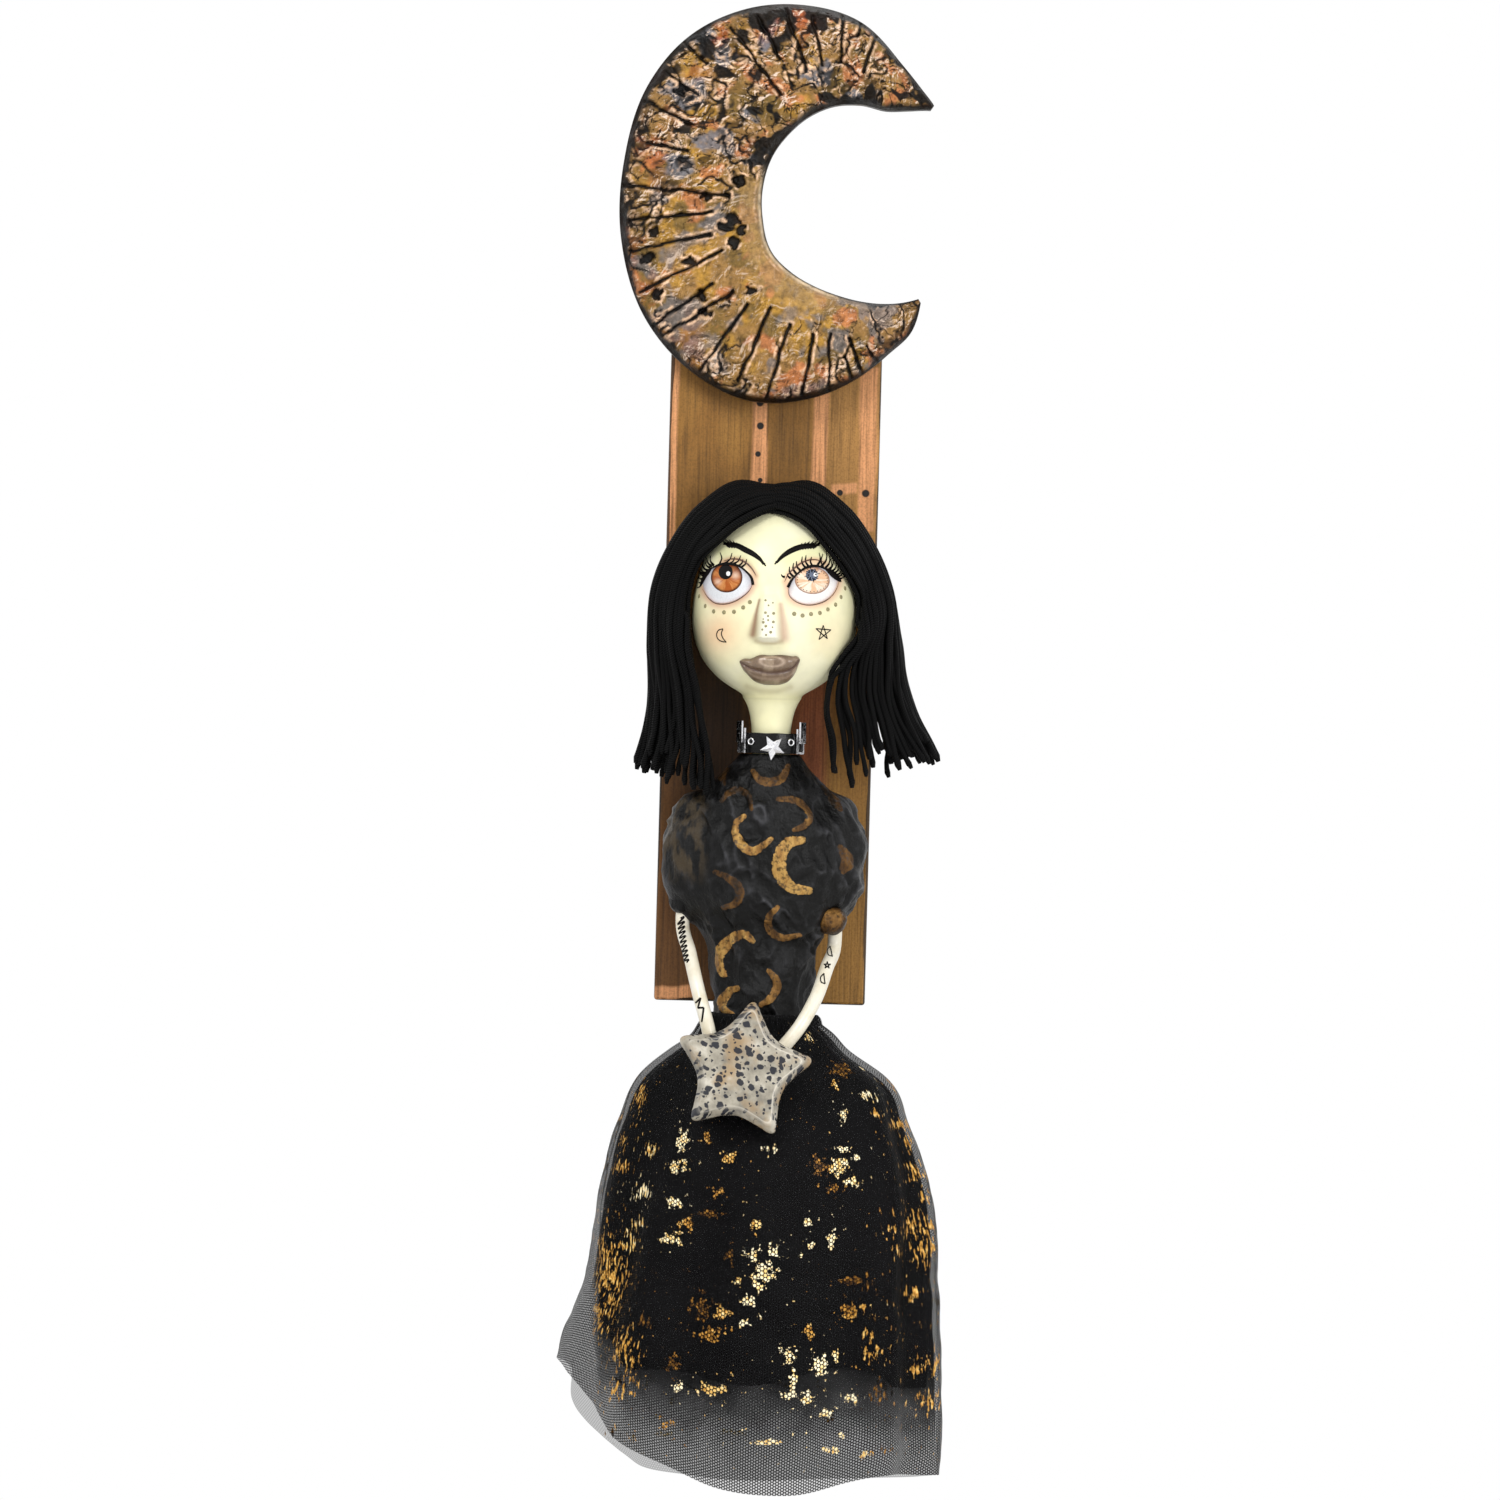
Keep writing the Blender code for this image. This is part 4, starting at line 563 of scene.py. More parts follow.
# %% Bronze-washed pine
# Thin bronze paint on sawn pine: a warm brown with a low sheen. The upright grain is 1.1 mm across and 38 mm
# long, the brush clouds are 24 by 50 mm and the pigment specks 0.7 mm.
wood, shader = finish("bronze_washed_pine", Roughness=0.50, Metallic=0.12, Specular_IOR_Level=0.3)
place = add("TexCoord")
axes = add("SeparateXYZ", [place])
wander = add("TexNoise", Vector=add("Mapping", {0: place, 3: (60, 60, 14)}), Scale=1, Detail=5)
grain = add("TexNoise", Vector=add("Mapping", {0: place, 3: (900, 900, 26)}), Scale=1, Detail=6, Roughness=0.62)
blotch = add("TexNoise", Vector=add("Mapping", {0: place, 3: (42, 42, 20)}), Scale=1, Detail=4)
speck = add("TexNoise", Vector=place, Scale=1500, Detail=3)
shift = add("MapRange", [wander, 0.3, 0.7, -0.0011, 0.0011])
across = add("Math ADD", [axes.outputs[0], shift])
upward_place = add("Math ADD", [axes.outputs[2], shift])


def between(value, low, high, soft):
    """One from low to high, falling to zero over a soft edge on both sides."""
    rise = add("MapRange", [value, low - soft, low + soft, 0, 1], **SMOOTH)
    fall = add("MapRange", [value, high - soft, high + soft, 1, 0], **SMOOTH)
    return add("Math MULTIPLY", [rise, fall])


def patch(x0, x1, z0, z1, soft=0.0008):
    """A soft-edged box on the board's face, given in millimetres."""
    sides = between(across, x0 / 1000, x1 / 1000, soft)
    return add("Math MULTIPLY", [sides, between(upward_place, z0 / 1000, z1 / 1000, soft)])


def blend(below, over_it, amount):
    """Paint over paint in the shader, by an amount."""
    return add("Mix", {0: amount, 6: below, 7: over_it}, **COLOURS)


base = add("ValToRGB", [blotch], [(0.30, "#6B4A1C"), (0.50, "#8A602A"), (0.72, "#A67838")])
# Dark reddish brown on the lower left, reaching up beside the neck, where it also stands in for painted shade.
low_left = add("Math MULTIPLY", [between(axes.outputs[2], -0.2, 0, 0.030),
    between(axes.outputs[0], -0.1, -0.006, 0.012)])
low_right = add("Math MULTIPLY", [between(axes.outputs[2], -0.2, -0.05, 0.03),
    between(axes.outputs[0], 0.005, 0.1, 0.012)])
tone = blend(base, "#5C3A1E", add("Math MULTIPLY", [low_left, 0.78]))
tone = blend(tone, "#A67A3C", add("Math MULTIPLY", [low_right, 0.7]))
tone = blend(tone, "#A8633F", patch(10.5, 25.0, -72, 14, 0.0040))
# A near-black patch left of the neck: a painted shadow under the hair.
tone = blend(tone, "#1D130B", add("Math MULTIPLY", [patch(-34, -9, -62, 20, 0.0060), 0.75]))
tone = blend(tone, "#B5854A", add("Math MULTIPLY", [patch(20, 46, 20, 126, 0.0090), 0.65]))
stripes = [(-45.0, -41.3, -20, 126), (-9.4, -3.4, 62, 112), (15.9, 22.4, 60, 116), (35.6, 42.8, 55, 124),
           (25.0, 35.0, 70.6, 75.0), (-43.8, -28.8, -144.2, -138.8)]
copper = patch(*stripes[0])
for box in stripes[1:]:
    copper = add("Math MAXIMUM", [copper, patch(*box)])
brushing = add("MapRange", [grain, 0.25, 0.6, 0.55, 1])
tone = blend(tone, "#DC9B69", add("Math MULTIPLY", [copper, brushing]))
lines = add("ValToRGB", [grain], [(0.32, 0.42), (0.50, 0.98), (0.72, 1.28)])
tone = add("Mix", {0: 0.75, 6: tone, 7: lines}, **TINT)
fleck = add("ValToRGB", [speck], [(0.35, 0.62), (0.55, 1)])
tone = add("Mix", {0: 0.6, 6: tone, 7: fleck}, **TINT)
dots = None
for dot_x, dot_z, size in ((-6.5, 108.1, 1.5), (-6.1, 98.4, 1.5), (-6.8, 86.5, 1.2), (39.1, 71.1, 1.6),
    (28.2, 71.1, 1.3), (-5.6, 75.5, 1.0)):
    reach = add("VectorMath DISTANCE", [add("Mapping", {0: place, 1: (0, 0, 0), 3: (1, 0, 1)}),
        (dot_x / 1000, 0, dot_z / 1000)])
    spot = add("MapRange", [reach.outputs["Value"], size * 0.00085, size * 0.00115, 1, 0])
    dots = spot if dots is None else add("Math MAXIMUM", [dots, spot])
tone = blend(tone, "#17120E", dots)
face_x = add("Math GREATER_THAN", [add("Math ABSOLUTE", [across]), 0.0438])
face_z = add("Math GREATER_THAN", [add("Math ABSOLUTE", [upward_place]), 0.1441])
behind = add("Math GREATER_THAN", [axes.outputs[1], -0.0180])
edges = add("Math MAXIMUM", [add("Math MAXIMUM", [face_x, face_z]), behind])
tone = blend(tone, "#1E1610", add("Math MULTIPLY", [edges, 0.86]))
back = add("Math GREATER_THAN", [axes.outputs[1], -0.0010])
pine = add("Mix", {0: 0.5, 6: "#C6A169", 7: lines}, **TINT)
tone = blend(tone, pine, back)
height_of_grain = add("Bump", Strength=0.35, Distance=0.0006, Height=grain)
into(shader, Base_Color=tone, Normal=height_of_grain)
dress(wood, "backboard")

# %% [markdown]
# ### The hanger
#
# A sawtooth hanger is stamped from sheet steel and zinc-plated, which leaves a bluish grey with a faint
# spangle. It is only seen from behind, so its CAD solid is enough.

# %% Zinc-plated steel
# Zinc plate: a bluish grey metal whose crystals, 1.4 mm across, differ a little in tone.
zinc, shader = finish("zinc_plated_steel", Roughness=0.34, Metallic=1.0)
spangle = add("TexVoronoi", Vector=add("TexCoord"), Scale=700)
into(shader, Base_Color=add("ValToRGB", [spangle], [(0, "#9DA1A4"), (0.8, "#C4C8CA")]))
dress(zinc, "sawtooth_hanger", "hanger_nail_left", "hanger_nail_right")

# %% [markdown]
# ## The head
#
# The head is an egg of papier-mache with a clay nose, painted a pale yellow and varnished. One height
# function gives the front of the face, egg plus nose plus two low eye mounds, and every painted line, dot
# and lash asks the same function where the skin is, so nothing floats or sinks in from any side.

# %% Numbers of the head
HEAD_X, HEAD_Z, HALF_WIDE, HALF_DEEP = 0.0019, 0.0160, 0.0346, 0.0295
RISE, DROP, HEAD_Y, CHIN_Z = 0.0515, 0.0325, -0.0488, -0.0165
FACE_X, NOSE_TOP, NOSE_HEIGHT, NOSE_REACH = -0.0004, 0.0268, 0.0198, 0.0070
BODICE_TOP = -0.0400


def head_half(z, half_of_egg):
    """Half-size at a height: egg and flared neck, joined by the sixth root of the sum of their sixth powers."""
    z = np.asarray(z, float)
    egg = half_of_egg * np.sqrt(np.clip(1 - ((z - HEAD_Z) / np.where(z > HEAD_Z, RISE, DROP)) ** 2, 0, 1))
    neck = np.where(z > HEAD_Z, 0.0, 0.0078 + 0.0045 * np.exp(-np.clip(CHIN_Z - z, 0, None) / 0.0060))
    return (egg**6 + neck**6) ** (1 / 6)


def head_front(x, z):
    """Y of the egg and neck at x and z, before the features."""
    out = np.clip(np.abs(x - HEAD_X) / np.maximum(head_half(z, HALF_WIDE), 1e-6), 0, 0.999)
    return HEAD_Y - head_half(z, HALF_DEEP) * np.sqrt(1 - out**2)


def features(x, z):
    """How far the nose and the eye mounds stand out of the egg, in metres. The nose is a wedge whose width
    and reach grow down to its tip; each mound is the part of an oval ball that passes the egg."""
    part = (NOSE_TOP - z) / NOSE_HEIGHT
    half = (0.0080 + 0.0048 * np.clip(part, 0, 1)) / 2
    off = np.abs(x - FACE_X) / half
    wedge = (1 - ease(0.42, 1.18, off)) * (1 - 0.05 * off**2)
    reach = NOSE_REACH * (0.12 + 0.88 * np.clip(part, 0, 1)) * ease(-0.22, 0.12,
        part) * (1 - ease(0.90, 1.07, part))
    out = reach * np.clip(wedge, 0, 1)
    for side in (-1, 1):
        eye_x, eye_z = FACE_X + side * 0.0180, HEAD_Z + 0.0171
        round_off = np.clip(1 - ((x - eye_x) / 0.0112) ** 2 - ((z - eye_z) / 0.0094) ** 2, 0, 1)
        out = out + 0.0016 * round_off ** 0.8
    return out


def face_y(x, z):
    """Y of the finished face at x and z."""
    return head_front(x, z) - features(x, z)


print("nose tip at y", round(float(face_y(np.array(FACE_X), np.array(0.0085))), 4))

# %% The skin's grid, its airbrushed colours and its painted shade and highlights
def near_line(x, z, points, count=60):
    """Distance in millimetres from each point of the XZ plane to a smooth line through points in millimetres."""
    line = smooth_line(points, np.linspace(0, 1, count)) / 1000
    best = np.full(np.shape(x), 9.0)
    for px, pz in line:
        best = np.minimum(best, (x - px) ** 2 + (z - pz) ** 2)
    return np.sqrt(best) * 1000


def airbrush(paint, colour, amount, line, width):
    """A soft line of paint on the skin's grid, on its front alone."""
    return over(paint, colour, amount * bell(near_line(x, z, line), width) * front)


levels = np.concatenate([
    HEAD_Z + RISE * np.sin(np.radians(np.linspace(89.6, 36, 60))),
    np.linspace(0.0460, -0.0170, 190)[1:], np.linspace(-0.0170, -0.0490, 60)[1:]])
weight = 1 + 2.6 * bell(np.linspace(-math.pi, math.pi, 1001), 0.75)
steps = np.cumsum(weight) - weight[0]
turn = np.interp(np.linspace(0, steps[-1], 281)[:-1], steps, np.linspace(-math.pi, math.pi, 1001))[None]
z = levels[:, None] + 0 * turn
x = HEAD_X + head_half(z, HALF_WIDE) * np.sin(turn)
front = ease(0.15, 0.45, np.cos(turn))
y = HEAD_Y - head_half(z, HALF_DEEP) * np.cos(turn) - features(x, z) * front
grid = stacked(x, y, z)
uneven = rough(grid, 0.016, 81, 3)
edge_share = np.abs(x - HEAD_X) / HALF_WIDE
paint = coat("#F3EFC6", x)
paint = over(paint, "#F9F6DA", 0.5 * ease(-0.2, 0.5, uneven))
# Greener and darker towards the face's sides and jaw: partly airbrushed paint, partly a painted shade where the
# head turns away from the light.
paint = over(paint, "#D8D3A2", 0.42 * ease(0.72, 1.0, edge_share + 0.06 * uneven) * (z < 0.046))
paint = over(paint, "#CFCF9E", 0.45 * ease(0.006, -0.014, z) * ease(0.35, 0.8, edge_share))
# A painted shadow under the chin, where the neck meets the head.
paint = over(paint, "#D6D09B", 0.6 * (1 - ease(0.0, 0.004, np.abs(z + 0.0165))))
paint = over(paint, "#F6F1C2", 0.6 * (z < -0.017))
EYES = (
    dict(side="left", white=((-28.1, 28.6), (-25.9, 24.8), (-23.3, 22.9), (-19.4, 22.5), (-15.6, 23.4),
    (-11.9, 25.4),
                             (-8.9, 28.2), (-7.7, 30.8), (-8.2, 33.4), (-10.4, 35.9), (-13.5, 38.1), (-16.9, 38.9),
                             (-20.7, 38.8), (-24.1, 37.4), (-27.0, 34.6), (-28.4, 32.0), (-28.1, 28.6)),
         lid=((-29.2, 29.5), (-28.4, 32.0), (-27.0, 34.6), (-24.1, 37.4), (-20.7, 38.8), (-16.9, 38.9),
         (-13.5, 38.1),
              (-10.4, 35.9), (-8.2, 33.4), (-7.4, 30.4)),
         under=((-28.6, 28.6), (-25.9, 24.6), (-23.3, 22.6), (-19.4, 22.1), (-15.6, 23.0), (-11.9, 25.1),
         (-8.9, 28.0), (-7.6, 30.6)),
         crease=((-19.9, 40.1), (-17.0, 41.0), (-13.6, 40.9), (-10.5, 39.5), (-7.9, 37.0), (-6.2, 34.3)),
         brow=((-20.1, 47.4), (-15.4, 47.1), (-11.1, 45.1), (-6.8, 42.8), (-4.2, 40.6), (-3.2, 39.1)),
         dots=((-29.8, 25.3), (-27.1, 21.2), (-23.5, 19.0), (-19.2, 18.7), (-15.0, 19.0), (-11.2, 20.9),
         (-8.5, 23.2)),
         iris=(-18.5, 33.3, 6.6, 6.3), pupil=(-19.0, 35.6, 2.95, 3.1), glint=(-17.9, 34.9, 0.85, 1.0)),
    dict(side="right", white=((7.4, 30.0), (7.9, 26.6), (10.3, 24.5), (14.6, 23.1), (18.9, 23.4), (23.1, 25.1),
    (26.0, 27.9),
                              (27.6, 31.4), (28.0, 34.1), (26.7, 35.2), (24.0, 37.0), (21.0, 38.6), (17.6, 39.0),
                              (14.2, 38.0), (11.3, 35.8), (8.8, 33.0), (7.4, 30.0)),
         lid=((7.2, 29.8), (8.8, 33.0), (11.3, 35.8), (14.2, 38.0), (17.6, 39.0), (21.0, 38.6), (24.0, 37.0),
         (26.7, 35.2), (28.8, 33.4)),
         under=((7.2, 29.6), (7.9, 26.3), (10.3, 24.1), (14.6, 22.7), (18.9, 23.0), (23.1, 24.7), (26.2, 27.6),
         (28.0, 31.2), (28.4, 33.8)),
         crease=((5.7, 32.1), (7.1, 35.1), (9.5, 37.7), (12.5, 40.1), (15.8, 41.5), (19.2, 41.6), (22.7, 40.4)),
         brow=((19.9, 48.0), (16.1, 47.7), (11.0, 46.5), (6.4, 44.1), (3.5, 41.6), (2.2, 39.9)),
         dots=((10.1, 18.8), (13.6, 18.2), (17.1, 18.9), (20.8, 19.5), (24.1, 21.1), (27.3, 23.2), (29.5, 26.5),
         (31.1, 30.2)),
         iris=(17.3, 33.0, 7.3, 5.7), pupil=(17.1, 35.2, 2.6, 2.5), glint=(18.7, 35.4, 1.0, 1.0)),
)
for eye, rim, lid_tone in zip(EYES, ("#C98672", "#DDA188"), ("#C08F66", "#E3B48E")):
    paint = airbrush(paint, rim, 0.66, eye["under"], 2.2)
    count = len(eye["crease"])
    lid = eye["lid"][-count:] if eye["side"] == "left" else eye["lid"][:count]
    halfway = [((a[0] + b[0]) / 2, (a[1] + b[1]) / 2) for a, b in zip(eye["crease"], lid)]
    paint = airbrush(paint, "#E9BC9C", 0.62, halfway, 1.4)
    # Greenish yellow under each brow: a painted shade between brow and lid.
    paint = airbrush(paint, "#DEDFA6", 0.55, [(a[0] * 1.06, a[1] - 3.2) for a in eye["brow"][:4]], 3.0)
    paint = airbrush(paint, lid_tone, 0.70, eye["crease"], 1.3)
paint = over(paint, "#F0BE93", 0.72 * bell(np.hypot(x + 0.0208, z - 0.0098), 0.0082) * front)
paint = over(paint, "#F2D2AC", 0.40 * bell(np.hypot(x - 0.0222, z - 0.0110), 0.0085) * front)
# Brown down the nose's left side and rose down its right, wider towards the tip: painted shade along the nose's
# sides.
widen = 0.5 + 1.3 * ease(0.024, 0.009, z)
paint = airbrush(paint, "#8A5C40", 0.85, ((-4.6, 24.2), (-5.6, 19.3), (-6.2, 15.1), (-6.9, 9.8)), widen)
paint = airbrush(paint, "#BF8F7B", 0.66, ((4.4, 22.5), (5.2, 17.5), (5.8, 13.3), (6.2, 8.8)), 0.5 + widen)
# Near white on the nose's front: a painted highlight.
paint = over(paint, "#FCFAEC", 0.6 * (1 - ease(0.0025, 0.0055, np.abs(x - FACE_X))) * ease(0.022, 0.010,
    z) * (z > 0.0065) * front)
# A painted shadow under the nose tip.
paint = airbrush(paint, "#BDA98A", 0.55, ((-5.6, 7.2), (-2.6, 6.3), (2.0, 6.3), (5.2, 7.2)), 0.8)
# A painted shadow under the lower lip.
paint = airbrush(paint, "#C8BE92", 0.55, ((-9.0, -12.0), (-3.0, -13.6), (3.0, -13.8), (9.5, -11.8)), 1.3)
head_mesh = surface("head_skin", grid, paint=paint)

# %% Varnished acrylic skin
# Acrylic under satin varnish: a pale yellow, brush-mottled at 4 mm, with a soft shine and clay lumps of 2.4 mm.
skin, shader = finish("varnished_acrylic_on_clay", Roughness=0.48, Coat_Weight=0.15, Coat_Roughness=0.22,
    Specular_IOR_Level=0.4)
place = add("TexCoord")
mottle = add("TexNoise", Vector=place, Scale=240, Detail=4)
tone = add("ValToRGB", [mottle], [(0.3, 0.965), (0.65, 1.02)])
mixed = add("Mix", {0: 1, 6: add("Attribute", attribute_name="paint"), 7: tone}, **TINT)
lumps = add("TexNoise", Vector=place, Scale=420, Detail=3)
into(shader, Base_Color=mixed, Normal=add("Bump", Strength=0.10, Distance=0.0005, Height=lumps))
keep(head_mesh, skin, ["head"])

# %% [markdown]
# ### The painted face
#
# Eyes, lids, lashes and freckles are brushed and inked on the skin. They could be one texture, but paint has
# a crisp edge at any distance when it is its own thin layer, so each is a film 0.05 mm above the skin. A film
# is a set of rings shrunk towards the middle of its outline, and a brush line is a flattened tube whose width
# swells and tapers as a brush stroke does.

# %% Films and brush lines on the face
def film(name, outline, lift, colour, rows=10, count=120):
    """Rings of the outline shrunk to its middle, laid on the skin and lifted; the last ring dips inside."""
    edge = smooth_line(outline, np.linspace(0, 1, count + 1))[:-1] / 1000
    middle = edge.mean(axis=0)
    part = np.append(np.linspace(0.03, 1, rows), 1.0)[:, None, None]
    xz = middle + (edge - middle)[None] * part
    out = np.full(rows + 1, lift)
    out[-1] = -0.0004
    y = face_y(xz[..., 0], xz[..., 1]) - out[:, None]
    grid = stacked(xz[..., 0], y, xz[..., 1])
    return surface(name, grid, paint=colour(xz[..., 0], xz[..., 1]))


def oval(cx, cz, rx, rz, count=40):
    """A closed oval outline in millimetres."""
    a = np.linspace(0, 2 * math.pi, count + 1)
    return stacked(cx + rx * np.cos(a), cz + rz * np.sin(a))


def skin_normal(x, z):
    """Out of the skin: (dy/dx, -1, dy/dz) made a unit vector, from small steps of the face's height."""
    step = 0.0003
    dx = (face_y(x + step, z) - face_y(x - step, z)) / (2 * step)
    dz = (face_y(x, z + step) - face_y(x, z - step)) / (2 * step)
    out = stacked(dx, -np.ones_like(dx), dz)
    return out / np.linalg.norm(out, axis=-1, keepdims=True)


def brush(name, lines, width, taper, rows=28, lift=0.00012, tall=0.00012):
    """Brush lines in millimetres of X and Z, half as wide as width, times the taper at each share of the line."""
    xz = np.stack([smooth_line(line, np.linspace(0, 1, rows)) for line in lines]) / 1000
    out = skin_normal(xz[..., 0], xz[..., 1])
    points = stacked(xz[..., 0], face_y(xz[..., 0], xz[..., 1]), xz[..., 1]) + out * lift
    half = np.asarray(width, float).reshape(-1, 1) / 2000 * taper(np.linspace(0, 1, rows))[None]
    return tubes(name, points, half, np.minimum(half * 0.6, tall), up=out, sides=8)


def dotted(name, places, sizes):
    """Flat round dabs: short tubes straight out of the skin, closed to a point."""
    x, z = np.asarray(places, float).T / 1000
    out = skin_normal(x, z)
    base = stacked(x, face_y(x, z), z)
    lift = np.array([-0.0003, 0.00012, 0.00018, 0.00020])
    radius = np.asarray(sizes, float).reshape(-1, 1) / 2000 * np.array([1.0, 1.0, 0.72, 0.06])
    return tubes(name, base[:, None] + out[:, None] * lift[None, :, None], radius, up=(0, 0.1, 1), sides=12)


def tapered(share):
    """Thin at both ends and full in the middle."""
    return 0.15 + 0.85 * np.sin(math.pi * share) ** 0.7


# Acrylic ink: near black and nearly matt, slightly browner where 0.6 mm pools dried thin.
ink, shader = finish("black_acrylic_ink", "#0B0908", Roughness=0.5, Specular_IOR_Level=0.1)
pooled = add("TexNoise", Vector=add("TexCoord"), Scale=1800, Detail=2)
into(shader, Base_Color=add("ValToRGB", [pooled], [(0.35, "#030202"), (0.7, "#120E0C")]))
# Eye colours under gloss varnish: the painted attribute with 0.7 mm of pigment grain and a small sharp shine.
eye_paint, shader = finish("varnished_eye_paint", Roughness=0.35, Coat_Weight=0.05, Coat_Roughness=0.05,
    Specular_IOR_Level=0.10)
fine = add("TexNoise", Vector=add("TexCoord"), Scale=1500, Detail=3)
tone = add("ValToRGB", [fine], [(0.3, 0.93), (0.65, 1.04)])
into(shader, Base_Color=add("Mix", {0: 1, 6: add("Attribute", attribute_name="paint"), 7: tone}, **TINT))
print("films and brushes ready")

# %% Eyes
def plain(colour):
    """A film of one colour."""
    return lambda x, z: coat(colour, x)


def white_of(eye):
    """White of an eye: greyer under the upper lid as a painted shade, rosy towards its corners."""
    def colour(x, z):
        base = coat("#E4E6EA" if eye["side"] == "left" else "#F4F1EE", x)
        base = over(base, "#9C9AA4", 0.75 * bell(near_line(x, z, eye["lid"]), 2.2))
        base = over(base, "#D7A89C", 0.55 * bell(near_line(x, z, eye["under"]), 1.0))
        return base
    return colour


def iris_of(eye):
    """Iris: streaks that follow the direction from its middle, darker above as a painted shade under the lid, and
    darker round its rim.
    """
    cx, cz, rx, rz = np.array(eye["iris"]) / 1000
    def colour(x, z):
        out = np.hypot((x - cx) / rx, (z - cz) / rz)
        way = np.arctan2(z - cz, x - cx)
        streak = rough(stacked(np.cos(way), np.sin(way), out * 0.25), 0.22, 91, 3)
        if eye["side"] == "left":
            base = over(coat("#AE5C28", x), "#D08A4E", ease(-0.1, 0.6, streak))
            base = over(base, "#5E2F1A", 0.85 * ease(0.15, 1.0, (z - cz) / rz + 0.3 * (x - cx) / rx))
            # Two pale spots on the left iris: painted highlights.
            for gx, gz, size in ((-0.55, -0.30, 0.20), (0.55, 0.15, 0.24)):
                base = over(base, "#F0D4BC", 0.75 * bell(np.hypot((x - cx) / rx - gx, (z - cz) / rz - gz), size))
            return over(base, "#3A1A10", ease(0.80, 0.98, out))
        # The right iris's pale peach: partly its paint, partly a painted glare of its varnish.
        base = over(coat("#E9BF9A", x), "#F9E6D2", ease(-0.2, 0.5, streak))
        base = over(base, "#B98468", 0.6 * ease(0.3, 1.0, (z - cz) / rz))
        return over(base, "#7E4A3A", 0.8 * ease(0.84, 0.98, out))
    return colour


def glared_pupil(x, z):
    """A pale grey-blue pupil, partly its paint and partly a painted glare of the varnish, with dark strokes that
    follow the direction from its middle.
    """
    way = np.arctan2(z - 0.0352, x - 0.0171)
    base = coat("#7F8AA0", x)
    return over(base, "#20242F", 0.95 * ease(0.0, 0.5, np.sin(9 * way) + 0.4 * np.sin(23 * way)))


for eye in EYES:
    side = eye["side"]
    keep(film(f"eye_white_{side}", eye["white"], 0.00005, white_of(eye), rows=16, count=140), eye_paint)
    cx, cz, rx, rz = eye["iris"]
    ring = oval(cx, cz, rx, rz)
    lid_x, lid_z = np.array(eye["lid"]).T
    order = np.argsort(lid_x)
    ring[:, 1] = np.minimum(ring[:, 1], np.interp(ring[:, 0], lid_x[order], lid_z[order]) - 0.2)
    keep(film(f"iris_{side}", ring, 0.00010, iris_of(eye), rows=16, count=120), eye_paint)
    keep(film(f"pupil_{side}", oval(*eye["pupil"]), 0.00015, plain("#0C0A0B") if side == "left" else glared_pupil,
        rows=6, count=48), eye_paint)
    keep(film(f"glint_{side}", oval(*eye["glint"]), 0.00020, plain("#FFFFFF"), rows=4, count=32), eye_paint)
ring = oval(17.3, 33.0, 6.3, 4.7, 26)[:-1]
keep(dotted("iris_dots", ring, 0.42), ink)
ways = np.radians(np.linspace(0, 360, 17)[:-1] + 9)
rays = [((17.1 + a * math.cos(w), 35.2 + a * math.sin(w)),
    (17.1 + b * math.cos(w + 0.1), 35.2 + b * math.sin(w + 0.1)))
        for w, a, b in zip(ways, np.tile((1.2, 1.7), 8), np.tile((3.3, 2.7, 3.0, 2.5), 4))]
keep(brush("pupil_rays", rays, 0.5, lambda s: 1.0 - 0.6 * s, rows=5, lift=0.00022), ink)

# %% Lids, lashes, brows and marks
LASHES = (
    ((-28.6, 31.6), (-30.2, 31.0)), ((-28.0, 32.8), (-30.2, 33.1)), ((-27.4, 34.1), (-29.8, 34.9)),
    ((-26.8, 35.3), (-29.2, 36.3)),
    ((-25.8, 36.3), (-28.6, 37.6)), ((-25.2, 37.2), (-27.6, 39.4)), ((-23.9, 38.2), (-25.5, 42.3)),
    ((-21.6, 38.8), (-21.5, 43.8)),
    ((-19.7, 39.0), (-16.5, 43.6)), ((-17.6, 39.0), (-15.3, 41.9)), ((-16.1, 38.9), (-12.8, 42.6)),
    ((-13.5, 38.3), (-11.9, 41.0)),
    ((-12.6, 37.6), (-10.3, 41.1)), ((5.8, 34.0), (4.2, 35.1)), ((8.3, 33.6), (6.8, 35.4)),
    ((9.2, 34.4), (7.6, 38.4)),
    ((10.4, 35.6), (9.3, 40.0)), ((12.1, 37.0), (10.5, 40.8)), ((14.2, 38.2), (12.8, 42.8)),
    ((17.1, 39.0), (16.7, 42.8)),
    ((19.1, 39.0), (19.8, 44.7)), ((20.8, 38.8), (22.8, 45.4)), ((22.5, 38.2), (24.2, 43.6)),
    ((23.6, 37.4), (25.9, 42.4)),
    ((24.8, 36.7), (27.2, 40.8)), ((25.7, 36.0), (28.5, 39.9)), ((26.6, 35.4), (29.6, 38.2)),
    ((27.1, 34.9), (30.2, 36.9)),
    ((-27.0, 34.8), (-30.4, 36.4)), ((-26.2, 36.0), (-29.0, 39.0)), ((-24.6, 37.8), (-27.0, 41.4)),
    ((-29.0, 30.4), (-30.8, 28.8)),
    ((21.8, 38.4), (21.4, 44.2)), ((24.2, 37.0), (24.6, 42.2)), ((27.6, 34.4), (30.8, 35.2)),
    ((15.6, 38.7), (14.4, 43.4)))
lines = []
for number, (root, tip) in enumerate(LASHES):
    root, tip = np.array(root), np.array(tip)
    bow = np.array([-(tip - root)[1], (tip - root)[0]]) * (0.16 if tip[0] > root[0] else -0.16)
    lines.append([tuple(root), tuple((root + tip) / 2 - bow), tuple(tip)])
keep(brush("lashes", lines, 1.15, lambda s: 1.0 - 0.72 * s, rows=10), ink)
